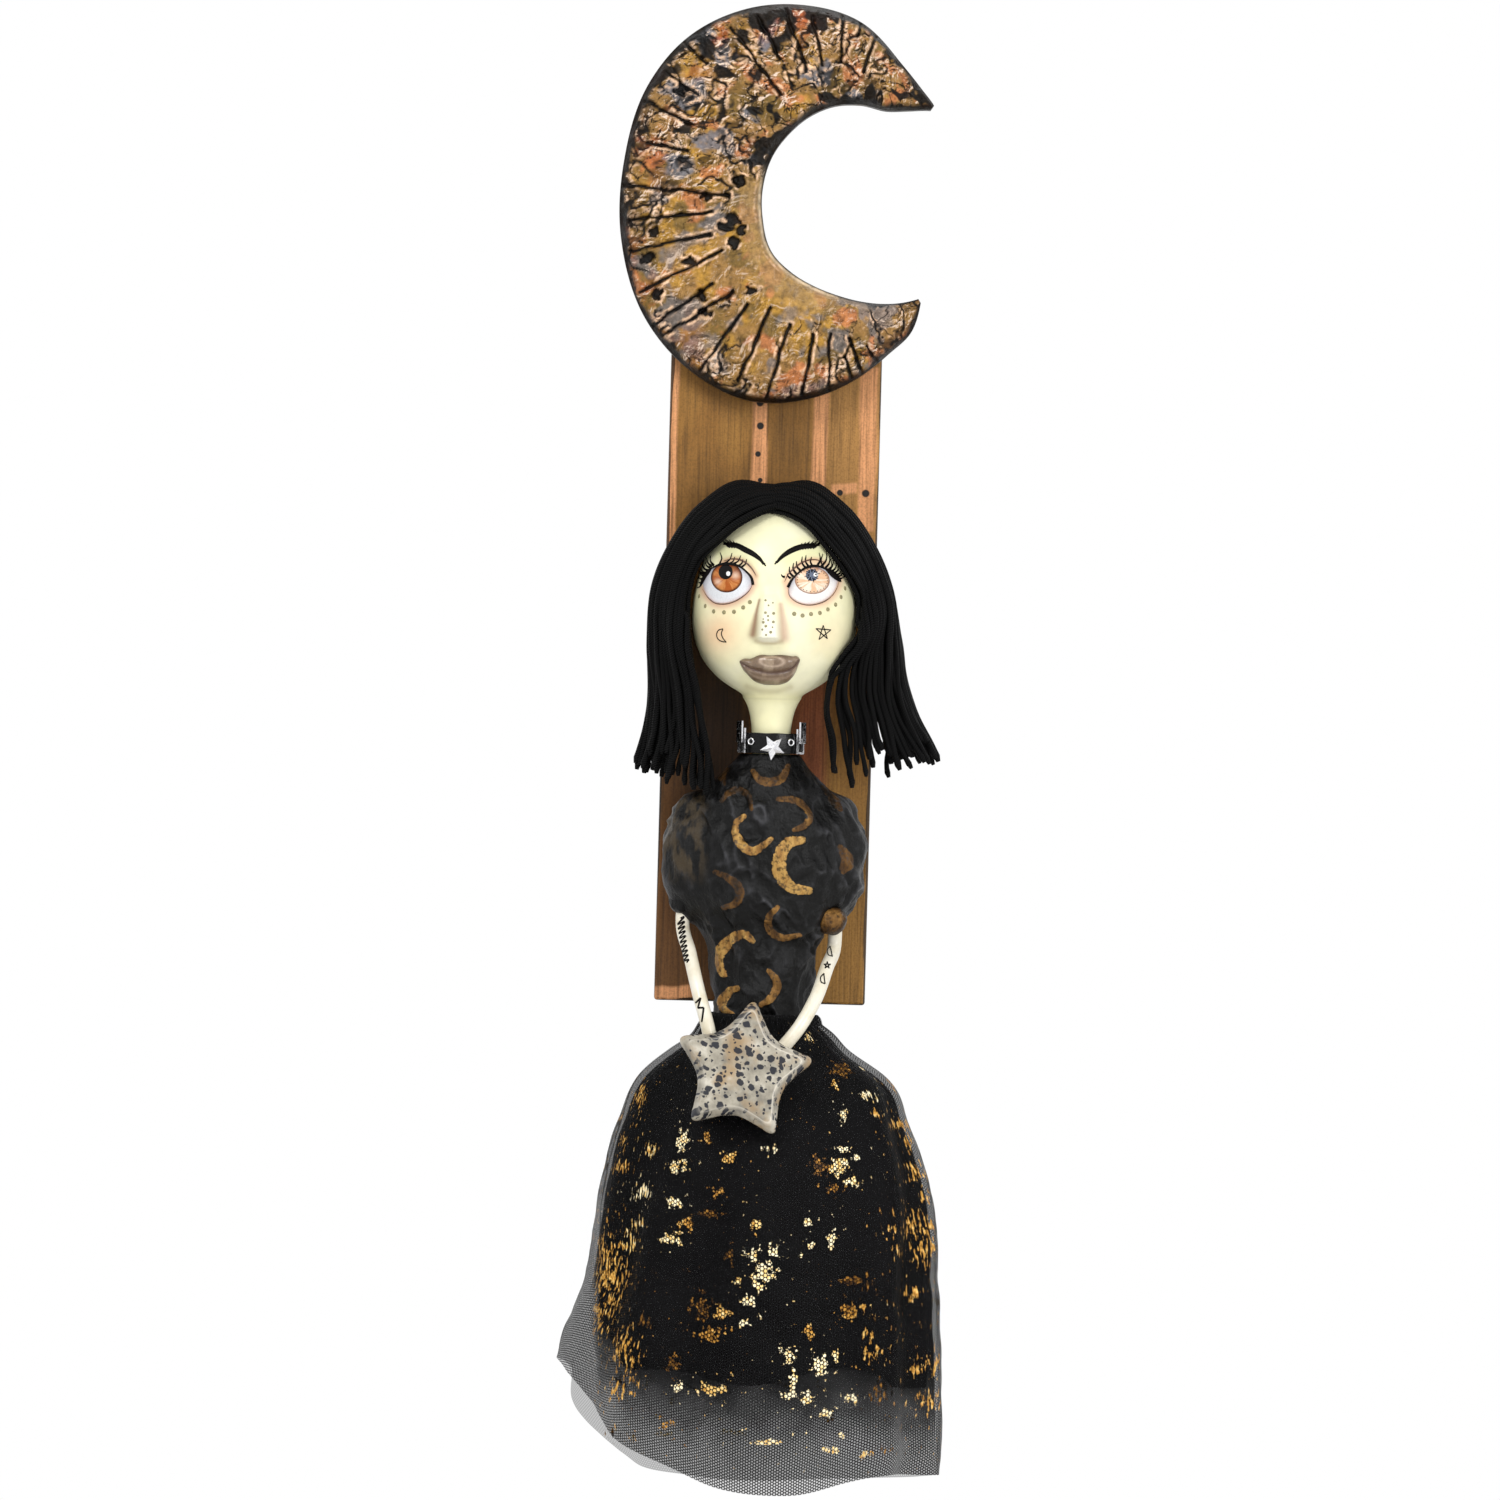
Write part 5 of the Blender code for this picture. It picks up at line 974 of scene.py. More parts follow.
keep(brush("lid_lines", [eye["lid"] for eye in EYES], (1.25, 1.25),
    lambda s: 0.62 + 0.38 * np.cos(2 * math.pi * s)**2, rows=60, lift=0.00022), ink)
keep(brush("lid_corner_left", [((-29.6, 29.2), (-28.6, 31.8), (-27.2, 34.4), (-25.0, 36.6))], 3.6, tapered), ink)
keep(brush("lid_corner_right", [((22.6, 38.0), (25.4, 36.2), (27.4, 34.7), (29.4, 33.0))], 3.4, tapered), ink)
keep(brush("brows", [eye["brow"] for eye in EYES], (2.4, 2.4),
    lambda s: 0.22 + 0.78 * np.sin(math.pi * np.clip(s * 0.9 + 0.05, 0, 1)), rows=50), ink)
hairs = []
for eye in EYES:
    roots = smooth_line(eye["brow"], np.linspace(0.03, 0.94, 34))
    lean = 1.4 if eye["side"] == "left" else -1.4
    hairs += [[tuple(r + (lean * 1.1, -1.3 - 0.3 * (n % 2))), tuple(r),
        tuple(r + (-lean * (1.1 + 0.35 * (n % 3)), 1.6 + 0.45 * (n % 2)))] for n, r in enumerate(roots)]
keep(brush("brow_hairs", hairs, 0.62, lambda s: 1.0 - 0.8 * s, rows=6, lift=0.00022), ink)
# Thinned umber: a dark brown line, paler every 0.7 mm where the brush ran dry.
brown, shader = finish("umber_wash_lines", "#6E4E3C", Roughness=0.4)
thin = add("TexNoise", Vector=add("TexCoord"), Scale=1400, Detail=2)
into(shader, Base_Color=add("ValToRGB", [thin], [(0.3, "#3A2319"), (0.7, "#6E4A38")]))
keep(brush("eye_creases", [eye["crease"] for eye in EYES], (0.75, 0.75), tapered, rows=40), brown)
keep(brush("under_lines", [eye["under"] for eye in EYES], (0.45, 0.45), tapered, rows=60), brown)
# Dabs of olive grey acrylic, uneven at 0.7 mm.
olive, shader = finish("olive_grey_dots", "#8E8660", Roughness=0.4)
dab = add("TexNoise", Vector=add("TexCoord"), Scale=1400, Detail=2)
into(shader, Base_Color=add("ValToRGB", [dab], [(0.3, "#7A7352"), (0.7, "#A39A70")]))
keep(dotted("dots_below_eyes", [d for eye in EYES for d in eye["dots"]], 1.8), olive)
FRECKLES = ((-2, 24.1), (1.1, 23.1), (-.7, 22), (-1.9, 18.9), (1.5, 18.7), (-.8, 17.5), (-2.7, 16.2), (-.7, 15.8),
    (1.5, 15.1),
            (-2.7, 14.9), (-3, 11.8), (1.2, 12.9), (-1.4, 9.6), (.5, 10.8), (-1.6, 13.3))
keep(dotted("freckles", FRECKLES, [0.95 + 0.3 * math.sin(5 * i) for i in range(len(FRECKLES))]), olive)
crescent = [((-19.4, 11.8), (-21.1, 11.3), (-22.0, 9.6), (-21.5, 7.7), (-19.9, 6.6), (-17.9, 6.3)),
    ((-17.9, 6.3), (-19.3, 7.9), (-20.0, 9.8), (-19.4, 11.8))]
corners = [(22.3, 14.4), (24.2, 8.9), (19.3, 12.9), (25.6, 12.6), (20.7, 8.4), (22.3, 14.4)]
star = [(a, ((a[0] + b[0]) / 2, (a[1] + b[1]) / 2), b) for a, b in zip(corners, corners[1:])]
keep(brush("cheek_marks", crescent + star, 0.48, lambda s: 0.8 + 0.2 * np.sin(math.pi * s), rows=20), ink)

# %% [markdown]
# ### The lips
#
# The lips are a pad of clay laid on the face and painted taupe, with a line pressed along their middle. Their
# surface swells between the upper and lower outline by one minus the fourth power of the offset, which gives
# a full pad with steep edges, less a narrow dip along the parting.

# %% Lips
LIP_TOP = ((-12.2, -1.4), (-10.7, -0.6), (-7.3, -0.3), (-4.0, 1.2), (0.7, 1.2), (5.4, 1.5), (9.7, 1.1), (12.4, 0.8),
    (13.1, 0.0))
LIP_BOTTOM = ((-12.2, -1.9), (-11.2, -4.2), (-8.9, -6.9), (-6.2, -9.4), (-2.8, -10.8), (1.5, -11.1), (5.7, -10.7),
    (9.1, -8.8), (11.5, -5.3), (13.1, -0.7))
PARTING = ((-12.2, -2.0), (-7.2, -4.5), (-2.9, -5.6), (1.4, -6.1), (5.6, -5.6), (9.8, -4.0), (13.1, -0.4))
reach = np.linspace(-1, 1, 90)
lip_x = 0.45 + 12.6 * np.sin(reach * math.pi / 2)
top_z, bottom_z, part_z = (smooth_value(line, lip_x)[:, None] / 1000 for line in (LIP_TOP, LIP_BOTTOM, PARTING))
part = np.linspace(0, 1, 44)[None]
z = top_z + (bottom_z - top_z) * part
x = lip_x[:, None] / 1000 + 0 * part
end = np.sqrt(np.clip(1 - (np.abs(reach[:, None]) ** 3), 0, 1))
swell = 0.0036 * end * (1 - np.abs(2 * part - 1) ** 3.2)
swell = swell - 0.0013 * end * bell(z - part_z, 0.0008) + 0.00022 * rough(stacked(x * 1.0, 0 * x, z * 0.35), 0.0018,
    101, 3) * end
y = head_front(x, z) - 0.0003 - np.clip(swell, 0.0, None)
front_grid = stacked(x, y, z)
back_z = z[:, ::-1][:, 3:-3:6]
back_x = x[:, 3:-3:6]
back_grid = stacked(back_x, head_front(back_x, back_z) + 0.0006, back_z)
tint = coat("#77614C", x)
streaks = rough(stacked(x, 0 * x, z * 0.25), 0.0022, 103, 3)
# Paler streaks: partly brush streaks, partly a painted highlight.
tint = over(tint, "#A08B74", 0.8 * ease(-0.1, 0.5, streaks))
# Darker along the parting and round the pad's edges: painted shade in the crease and where the pad turns away.
tint = over(tint, "#5B4136", 0.85 * bell(z - part_z, 0.0008))
tint = over(tint, "#553D31", 0.7 * (1 - ease(0.0, 0.16, np.minimum(part, 1 - part))))
# A pale ring on the upper lip and a pale band on the lower lip: painted highlights.
ring = np.abs(np.hypot((x - 0.0014) / 0.0048, (z + 0.0014) / 0.0020) - 1)
tint = over(tint, "#BFA893", 0.75 * bell(ring, 0.20))
tint = over(tint, "#B59D89", 0.6 * bell(part - 0.80, 0.06) * ease(0.9, 0.3, np.abs(reach[:, None])))
back_tint = np.broadcast_to(tint[:, :1], (90, back_x.shape[1], 3))
lips_mesh = surface("lips_pad", np.concatenate([front_grid, back_grid], axis=1),
    paint=np.concatenate([tint, back_tint], axis=1))
# Taupe acrylic with a satin varnish: long soft highlights, pigment grain of 0.9 mm.
lip_paint, shader = finish("satin_taupe_acrylic", Roughness=0.30, Coat_Weight=0.4, Coat_Roughness=0.18)
pigment = add("TexNoise", Vector=add("TexCoord"), Scale=1100, Detail=4)
tone = add("ValToRGB", [pigment], [(0.3, 0.86), (0.65, 1.08)])
into(shader, Base_Color=add("Mix", {0: 1, 6: add("Attribute", attribute_name="paint"), 7: tone}, **TINT),
     Normal=add("Bump", Strength=0.2, Distance=0.0004, Height=pigment))
keep(lips_mesh, lip_paint, ["lips"])

# %% [markdown]
# ## The hair
#
# Thick acrylic yarn, about 2.3 mm across, is glued along a middle parting and left to hang, so each strand is
# one rope that can be followed from parting to cut end. A particle system would grow hairs far too fine, so
# each strand here is a tube along the CAD's own hair sheet, in two layers, with its own wander and length.
# The twist of the plies is a stripe pattern along each tube's UV map.

# %% The sheet that the strands follow
YARN = 0.00115
HAIR = {
    -1: dict(face=((-.0016, .0450), (-.0138, .0372), (-.0232, .0298), (-.0302, .0216), (-.0352, .0080),
    (-.0348, -.0105),
                   (-.0305, -.0300), (-.0275, -.0490), (-.0248, -.0705)),
             outer=((-.0022, -.0004), (-.0150, -.0002), (-.0302, -.0080), (-.0422, -.0240), (-.0492, -.0425),
             (-.0500, -.0645),
                    (-.0484, -.0870), (-.0496, -.1010), (-.0526, -.1140)), lean=0.0),
    1: dict(face=((-.0016, .0450), (.0150, .0350), (.0212, .0286), (.0284, .0190), (.0342, .0070), (.0345, -.0080),
                  (.0240, -.0215), (.0222, -.0360), (.0245, -.0540), (.0262, -.0680)),
            outer=((-.0016, -.0004), (.0131, 0.0), (.0276, -.0080), (.0386, -.0225), (.0472, -.0425),
            (.0503, -.0620),
                   (.0525, -.0810), (.0568, -.0940), (.0645, -.1075)), lean=0.0060),
}
THICK = 0.0056


def hair_sheet(side, across, along):
    """Points between three guides, along the face, over the outline and down the board, joined by the parabola
    through them; across runs from face to board, along from parting to tips. Points in the head move out."""
    crown = HEAD_Z + RISE + 0.0003 + THICK / 2
    front = []
    for gx, rise in HAIR[side]["face"]:
        gz = HEAD_Z + rise
        hug = float(head_front(HEAD_X + gx * min(1.0, 0.97 * HALF_WIDE / max(abs(gx), 1e-6)),
            max(gz, CHIN_Z + 0.006)))
        fall = HEAD_Y - 0.0125 if rise < 0 else hug
        front.append((HEAD_X + gx, min(hug, fall) - 0.0003 - THICK / 2 if rise > 0.004 else fall - THICK / 2, gz))
    outer = [(HEAD_X + gx, HEAD_Y + 0.003, crown + drop) for gx, drop in HAIR[side]["outer"]]
    lean, back_y = HAIR[side]["lean"], SEAT - 0.0010 - THICK / 2 - 0.0009
    behind = ((-0.0019 + 0.0003 * side, -.0060), (0.016 * side, -.0125), (0.030 * side, -.027),
        (0.0385 * side, -.045),
              (0.0400 * side, -.068), (0.0405 * side + lean, -.092), (0.0410 * side + 1.5 * lean, -.117))
    back = [(HEAD_X + gx, back_y - 0.0022 * (i == 0), crown + drop) for i, (gx, drop) in enumerate(behind)]
    f, o, b = (smooth_line(guide, np.asarray(along).ravel()).reshape(np.shape(along) + (3,)) for guide in (front,
        outer, back))
    u = np.asarray(across, float)[..., None]
    return clear_of_head((2 * u**2 - 3 * u + 1) * f + (4 * u - 4 * u**2) * o + (2 * u**2 - u) * b)


def clear_of_head(points, clear=0.0003 + 0.0008 + THICK / 2):
    """Moves points near the head straight out, from its middle above and from its axis below."""
    px, py, pz = points[..., 0] - HEAD_X, points[..., 1] - HEAD_Y, points[..., 2] - HEAD_Z
    above = pz > 0
    wide = np.where(above, HALF_WIDE, head_half(pz + HEAD_Z, HALF_WIDE)) + clear
    deep = np.where(above, HALF_DEEP, head_half(pz + HEAD_Z, HALF_DEEP)) + clear
    size = np.sqrt((px / wide) ** 2 + (py / deep) ** 2 + np.where(above, pz / (RISE + clear), 0.0) ** 2)
    grow = 1 / np.clip(size, 1e-6, 1.0)
    points = stacked(HEAD_X + px * grow, HEAD_Y + py * grow, HEAD_Z + pz * np.where(above, grow, 1.0))
    points[..., 1] = np.minimum(points[..., 1], SEAT - 0.0010 - THICK / 2 - 0.0009)
    return points


def hair_normal(side, across, along):
    """Out of the sheet: the cross product of its two directions."""
    e = 0.004
    du = hair_sheet(side, across + e, along) - hair_sheet(side, across - e, along)
    dv = hair_sheet(side, across, along + e) - hair_sheet(side, across, along - e)
    out = np.cross(du, dv) * -side
    return out / np.maximum(np.linalg.norm(out, axis=-1, keepdims=True), 1e-9)


print("parting at", np.round(hair_sheet(1, np.array([0.0]), np.array([0.0]))[0], 4))

# %% Strands
rng = np.random.default_rng(12)
ROWS = 64
for side, name in ((-1, "left"), (1, "right")):
    paths, widths = [], []
    for layer, count, out in (("outer", 30, 0.00150), ("inner", 27, -0.00090)):
        across = (np.arange(count) + 0.5 + rng.uniform(-0.28, 0.28, count)) / count
        ends = 1.018 + rng.uniform(-0.065, 0.030, count) - (0.02 if layer == "inner" else 0.0)
        along = -0.011 + (ends[:, None] + 0.011) * np.linspace(0, 1, ROWS)[None]
        loose = ease(0.25, 1.0, along)
        wave = rng.uniform(0, 2 * math.pi, (count, 4))
        sway = np.sin(7.0 * along + wave[:, :1]) + 0.6 * np.sin(15.0 * along + wave[:,
            1:2]) + 0.3 * np.sin(31 * along + wave[:, 2:3])
        u = np.clip(across[:, None] + (0.008 + 0.012 * loose) * loose * sway, -0.01, 1.01)
        points = hair_sheet(side, u, along)
        hump = 0.0016 * bell(along - 0.11, 0.06) - 0.0012 * bell(along + 0.011, 0.035)
        lift = out + hump + 0.0008 * loose * np.sin(9 * along + wave[:, 3:]) + 0.0005 * rng.uniform(-1, 1,
            (count, 1))
        points = points + hair_normal(side, u, along) * lift[..., None]
        points[..., 1] = np.minimum(points[..., 1], SEAT - 0.0004 - YARN)
        paths.append(points)
        end_taper = 1 - 0.35 * ease(0.985, 1.0, np.linspace(0, 1, ROWS))[None] + 0.18 * bell(np.linspace(0, 1,
            ROWS)[None] - 0.985, 0.012)
        widths.append(YARN * rng.uniform(0.88, 1.14, (count, 1)) * end_taper)
    points, widths = np.concatenate(paths), np.concatenate(widths)
    middle = np.array([HEAD_X, HEAD_Y, HEAD_Z])
    strands = tubes(f"yarn_strands_{name}", points, widths, up=points - middle, sides=8)
    if side == -1:
        # Fuzzy spun acrylic: almost no shine; three plies turn once in 3.0 mm, so their ridges are 1 mm apart.
        yarn, shader = finish("twisted_black_acrylic_yarn", "#0B0B0C", Roughness=0.62, Specular_IOR_Level=0.09)
        uv = add("SeparateXYZ", [add("UVMap")])
        turns = add("Math MULTIPLY", [uv.outputs[1], 330])
        twist = add("Math MULTIPLY", [add("Math ADD", [uv.outputs[0], turns]), 6.2832 * 3])
        plies = add("Math SINE", [twist])
        fuzz = add("TexNoise", Vector=add("TexCoord"), Scale=1600, Detail=3)
        height_of_yarn = add("Math ADD", [plies, fuzz])
        into(shader, Normal=add("Bump", Strength=0.7, Distance=0.0004, Height=height_of_yarn),
             # The plies' crests are painted a little paler than their hollows: a painted sheen.
             Base_Color=add("ValToRGB", [add("MapRange", [height_of_yarn, -0.6, 1.6, 0, 1])],
             [(0, "#020202"), (0.6, "#080808"), (1, "#151516")]))
    keep(strands, yarn, [f"hair_{name}_{n}" for n in range(1, 8)])

# %% [markdown]
# ## The choker
#
# A toy collar of patent leather with a cast star stud, two eyelets and wire buckles. The strap is one rounded
# section carried round an oval. The metal pieces have the right shape in the CAD already, so they only get
# their silver plate.

# %% Strap
NECK = float(head_half(BODICE_TOP, HALF_WIDE))
STRAP_WIDE, STRAP_DEEP = NECK + 0.0042, NECK + 0.0045 * 0.3 + 0.0003
a = circle(160)[:, None]
b = circle(40)[None]
rounded = lambda wave: np.sign(wave) * np.abs(wave) ** 0.42
out = 0.0008 + 0.0008 * rounded(np.cos(b)) + 0 * a
up = 0.00425 + 0.00425 * rounded(np.sin(b)) + 0.00008 * np.sin(9 * a)
crest = bell(up - 0.0009, 0.00035) + bell(up - 0.0076, 0.00035)
out = out - 0.00012 * crest * (np.cos(b) > 0.3)
grid = stacked(HEAD_X + (STRAP_WIDE + out) * np.sin(a), HEAD_Y - (STRAP_DEEP + out) * np.cos(a),
    BODICE_TOP + 0.0003 + up)
# Lacquered leather: black with small sharp highlights, pebbled at 0.7 mm.
patent, shader = finish("black_patent_leather", "#0A0A0B", Roughness=0.2, Coat_Weight=0.08, Coat_Roughness=0.05,
    Specular_IOR_Level=0.15)
pebble = add("TexVoronoi", Vector=add("TexCoord"), Scale=1500)
into(shader, Base_Color=add("ValToRGB", [pebble], [(0, "#060606"), (1, "#151516")]),
     Normal=add("Bump", Strength=0.12, Distance=0.0003, Height=pebble))
keep(surface("strap", grid, loops=True), patent, ["choker_strap"])
# Polished nickel-silver plate: mirrors the white room, dulled in patches of 1.1 mm by handling.
silver, shader = finish("bright_silver_plate", "#E9E9EC", Roughness=0.16, Metallic=1.0)
polish = add("TexNoise", Vector=add("TexCoord"), Scale=900, Detail=3)
into(shader, Base_Color=add("ValToRGB", [polish], [(0.3, "#DADADF"), (0.6, "#FAFAFC")]),
     Roughness=add("MapRange", [polish, 0.3, 0.7, 0.10, 0.30]))
dress(silver, "choker_star", "eyelet_left", "eyelet_right", "buckle_left", "buckle_right", "buckle_tab_left",
    "buckle_tab_right")

# %% [markdown]
# ## The bodice
#
# Strips of glued paper were laid over a stuffed body, which leaves slack folds, and then brushed black. A soft
# union of egg-shaped forms gives the chest, puff sleeves and waist, found along rays from the body's middle,
# and a folded noise gives the slack paper. The gold crescents are strokes of thick paint, so the same stroke
# mask lifts the surface a little and tells the finish where the gold lies.

# %% The bodice's field
BODY_X, BODY_Y, WAIST_Z, BODICE_BOTTOM = 0.0010, -0.0468, -0.1530, -0.1800
FORMS = (
    ((HEAD_X, HEAD_Y, BODICE_TOP - 0.0040), (STRAP_WIDE + 0.0004, STRAP_DEEP + 0.0004, 0.0080)),
    ((BODY_X, BODY_Y, BODICE_TOP - 0.0445), (0.0325, 0.0260, 0.0450)),
    ((BODY_X - 0.0292, BODY_Y + 0.004, BODICE_TOP - 0.0440), (0.0140, 0.0185, 0.0275)),
    ((BODY_X + 0.0282, BODY_Y + 0.004, BODICE_TOP - 0.0430), (0.0140, 0.0185, 0.0265)),
    ((BODY_X, BODY_Y + 0.001, BODICE_BOTTOM + 0.008), (0.0240, 0.0185, 0.016)),
)


def bodice_field(x, y, z):
    """Below zero inside: minus s times the log of the summed exp(-distance / s) of all the forms."""
    total = 0.0
    for middle, half in FORMS:
        size = np.sqrt(sum(((p - m) / h) ** 2 for p, m, h in zip((x, y, z), middle, half)))
        total = total + np.exp(-(size - 1) * min(half) / 0.0016)
    wide = smooth_value(((BODICE_BOTTOM, .0192), (WAIST_Z, .0200), (-.1250, .0218), (-.1060, .0228),
        (BODICE_TOP, .010)), z)
    size = np.sqrt(((x - BODY_X) / wide) ** 2 + ((y - BODY_Y) / (wide * 0.0165 / 0.0192)) ** 2)
    return -0.0016 * np.log(total + np.exp(-(size - 1) * 0.0165 / 0.0016))


turn = circle(300)[None, None]
z = np.concatenate([BODICE_TOP - np.array([0.0, 0.0006, 0.0014, 0.0026]),
    np.linspace(BODICE_TOP - 0.004, BODICE_BOTTOM, 236)])[:, None, None]
reach = np.linspace(0.066, 0.002, 90)[None, :, None]
field = bodice_field(BODY_X + reach * np.cos(turn), BODY_Y + reach * np.sin(turn), z + 0 * reach * turn)
first = np.maximum(np.argmax(field < 0, axis=1), 1)[:, None]
before, after = np.take_along_axis(field, first - 1, 1), np.take_along_axis(field, first, 1)
steps = reach.ravel()
found = (steps[first - 1] + before / (before - after) * (steps[first] - steps[first - 1]))[:, 0]
print("bodice reaches", round(float(found.max()) * 1000, 1), "mm from its middle line")

# %% Folds, strokes and closed body
turn, z = turn[0], z[:, 0]
crease = np.sin(5 * turn + 190 * z) * np.sin(3 * turn - 130 * z + 1.0)
free = np.minimum(1, (BODICE_TOP - z) / 0.020)
base = found + 0.0009 * crease * free
at = stacked(BODY_X + base * np.cos(turn), BODY_Y + base * np.sin(turn), z + 0 * turn)
bent = at + 0.004 * stacked(noise(at, 0.013, 111), noise(at, 0.013, 112), noise(at, 0.013, 113))
leaning = stacked(bent[..., 0] + 0.55 * bent[..., 2], bent[..., 1], 0.45 * bent[..., 2] - 0.35 * bent[..., 0])
fold = 1 - np.abs(noise(leaning, 0.0105, 115)) * 2
small = 1 - np.abs(noise(leaning, 0.0052, 117)) * 2
paper = 0.0013 * fold + 0.0008 * small + 0.0007 * rough(at, 0.017, 119, 2) + 0.00018 * rough(at, 0.0020, 121,
    2) - 0.0008
CRESCENTS = (   # points in millimetres, half-width, brightness of the gold
    (((-5.3, -47.3), (-2.2, -50.9), (2.3, -51.6), (6.8, -49.9), (9.3, -44.8)), 1.9, .42),
    (((-18.8, -60.2), (-12.2, -55.4), (-7.5, -57.2), (-5.3, -63.1)), 1.6, .22),
    (((5.5, -58.7), (11.0, -58.8), (16, -60.9), (18.7, -65.6), (17.0, -69.4), (12.9, -71.4)), 1.8, .48),
    (((-8.6, -66.2), (-11.4, -69.3), (-11.0, -75.0), (-4.8, -80.7), (3, -75.5)), 1.9, .78),
    (((16.4, -75.5), (10.0, -77.0), (6.6, -84.2), (8.0, -91.5), (11.9, -95.3), (19, -96.8)), 2.9, 1.0),
    (((-19.6, -89.9), (-12, -93.4), (-8.8, -98.0), (-10.6, -102.6), (-15.9, -104.8)), 1.8, .30),
    (((6.3, -103.8), (3.3, -107.5), (2.7, -111), (5.6, -115.4), (9.1, -116.7), (14.9, -115.3)), 1.7, .50),
    (((-3.4, -118.3), (-6.8, -115.6), (-10.5, -116.4), (-16.0, -121.3), (-17.0, -127.0), (-15.1, -132.8)), 2.3,
    .92),
    (((3.6, -130.6), (6.6, -134.4), (7.1, -137.6), (5.0, -141.6), (.7, -144.9)), 1.9, .70),
    (((-9.1, -138.1), (-13.6, -140.0), (-15.4, -143.8), (-14.4, -147.4), (-10.9, -149.6)), 1.9, .82),
    (((-16.0, -46.5), (-18.2, -49.5), (-17.0, -53.0)), 1.5, .18),
    (((32.5, -78.5), (35.0, -83.0), (33.5, -88.0)), 3.0, .34),
    (((24.0, -51.0), (27.5, -56.0), (31.0, -62.5)), 1.4, .16),
)
x_of, y_of = at[..., 0] * 1000, at[..., 1]
gilt, bright = np.zeros(x_of.shape), np.zeros(x_of.shape)
facing = y_of < BODY_Y + 0.006
for points, half, shine in CRESCENTS:
    line = smooth_line(points, np.linspace(0, 1, 50))
    swell = half * (0.55 + 0.45 * np.sin(math.pi * np.linspace(0, 1, 50)))
    for (px, pz), width in zip(line, swell):
        close = np.clip(1 - 0.5 * np.hypot(x_of - px, (z + 0 * turn) * 1000 - pz) / width, 0, 1) * facing
        bright = np.where(close > gilt, shine, bright)
        gilt = np.maximum(gilt, close)
final = base + free * (paper + 0.00045 * ease(0.42, 0.58, gilt))
grid = stacked(BODY_X + final * np.cos(turn), np.minimum(BODY_Y + final * np.sin(turn), SEAT), z + 0 * turn)
proud = final - blurred(final, 24)
sleeve = bell(x_of + 30, 9) * ease(-0.105, -0.085, z) * (1 - ease(-0.062, -0.050, z))
# Blue is how far each point stands out of its blurred copy: the finish paints crests grey as a painted sheen and
# hollows black as painted shade.
paint = stacked(gilt, bright, np.clip(0.5 + proud / 0.0016, 0, 1) + 0 * sleeve)
bodice_mesh = surface("papier_mache_bodice", grid, paint=paint)

# %% Brushed black paper with gold strokes
# Black acrylic brushed on glued paper: a painted shade in the slack folds and a painted grey sheen on their
# crests, brush marks 3.3 by 11 mm, clouds of 16 mm and paper fibres of 1.6 mm. Gold paint keeps to the raised
# crescents and wears through, with a painted highlight where it stands proud.
paper_black, shader = finish("black_acrylic_on_papier_mache", Roughness=0.26, Specular_IOR_Level=0.19)
place = add("TexCoord")
parts = add("SeparateColor", [add("Attribute", attribute_name="paint")])
axes = add("SeparateXYZ", [place])
fine = add("TexNoise", Vector=place, Scale=620, Detail=5, Roughness=0.6)
strokes = add("TexNoise", Vector=add("Mapping", {0: place, 2: (0, 0.5, 0), 3: (300, 300, 90)}), Scale=1, Detail=4)
broad = add("TexNoise", Vector=place, Scale=62, Detail=3)
wear_and_sheen = add("Math ADD", [parts.outputs[2], add("MapRange", [broad, 0.35, 0.65, -0.34, 0.22])])
wear_and_sheen = add("Math ADD", [wear_and_sheen, add("MapRange", [strokes, 0.3, 0.7, -0.12, 0.12])])
black = add("ValToRGB", [wear_and_sheen], [(0.44, "#040404"), (0.64, "#121213"), (0.84, "#2A2A2C"), (1, "#3E3E41")])
left = add("MapRange", [axes.outputs[0], -0.0215, -0.0290, 0, 1], **SMOOTH)
level = add("MapRange", [axes.outputs[2], -0.098, -0.086, 0, 1], **SMOOTH)
brush_mark = add("MapRange", [strokes, 0.44, 0.58, 0, 0.8])
drab = add("Math MULTIPLY", [add("Math MULTIPLY", [left, level]), brush_mark])
black = add("Mix", {0: drab, 6: black, 7: "#473C2C"}, **COLOURS)
ragged = add("Math ADD", [parts.outputs[0], add("MapRange", [fine, 0.3, 0.7, -0.075, 0.075])])
mask = add("MapRange", [ragged, 0.49, 0.53, 0, 1])
thin = add("MapRange", [fine, 0.36, 0.52, 0.25, 1])
mask = add("Math MULTIPLY", [mask, thin])
lit = add("Math ADD", [parts.outputs[1], add("MapRange", [strokes, 0.3, 0.7, -0.30, 0.22])])
lit = add("Math ADD", [lit, add("MapRange", [parts.outputs[2], 0.2, 0.8, -0.15, 0.12])])
gold = add("ValToRGB", [lit], [(0, "#20160B"), (0.35, "#4E351A"), (0.62, "#755329"), (0.85, "#98703A"),
    (1, "#B48D4E")])
relief = add("Math ADD", [fine, add("Math MULTIPLY", [strokes, 1.6])])
into(shader, Base_Color=add("Mix", {0: mask, 6: black, 7: gold}, **COLOURS),
     Roughness=add("MapRange", [broad, 0.3, 0.7, 0.26, 0.50]),
     Metallic=add("Math MULTIPLY", [mask, 0.25]),
     Normal=add("Bump", Strength=0.65, Distance=0.0008, Height=relief))
keep(bodice_mesh, paper_black, ["bodice"])

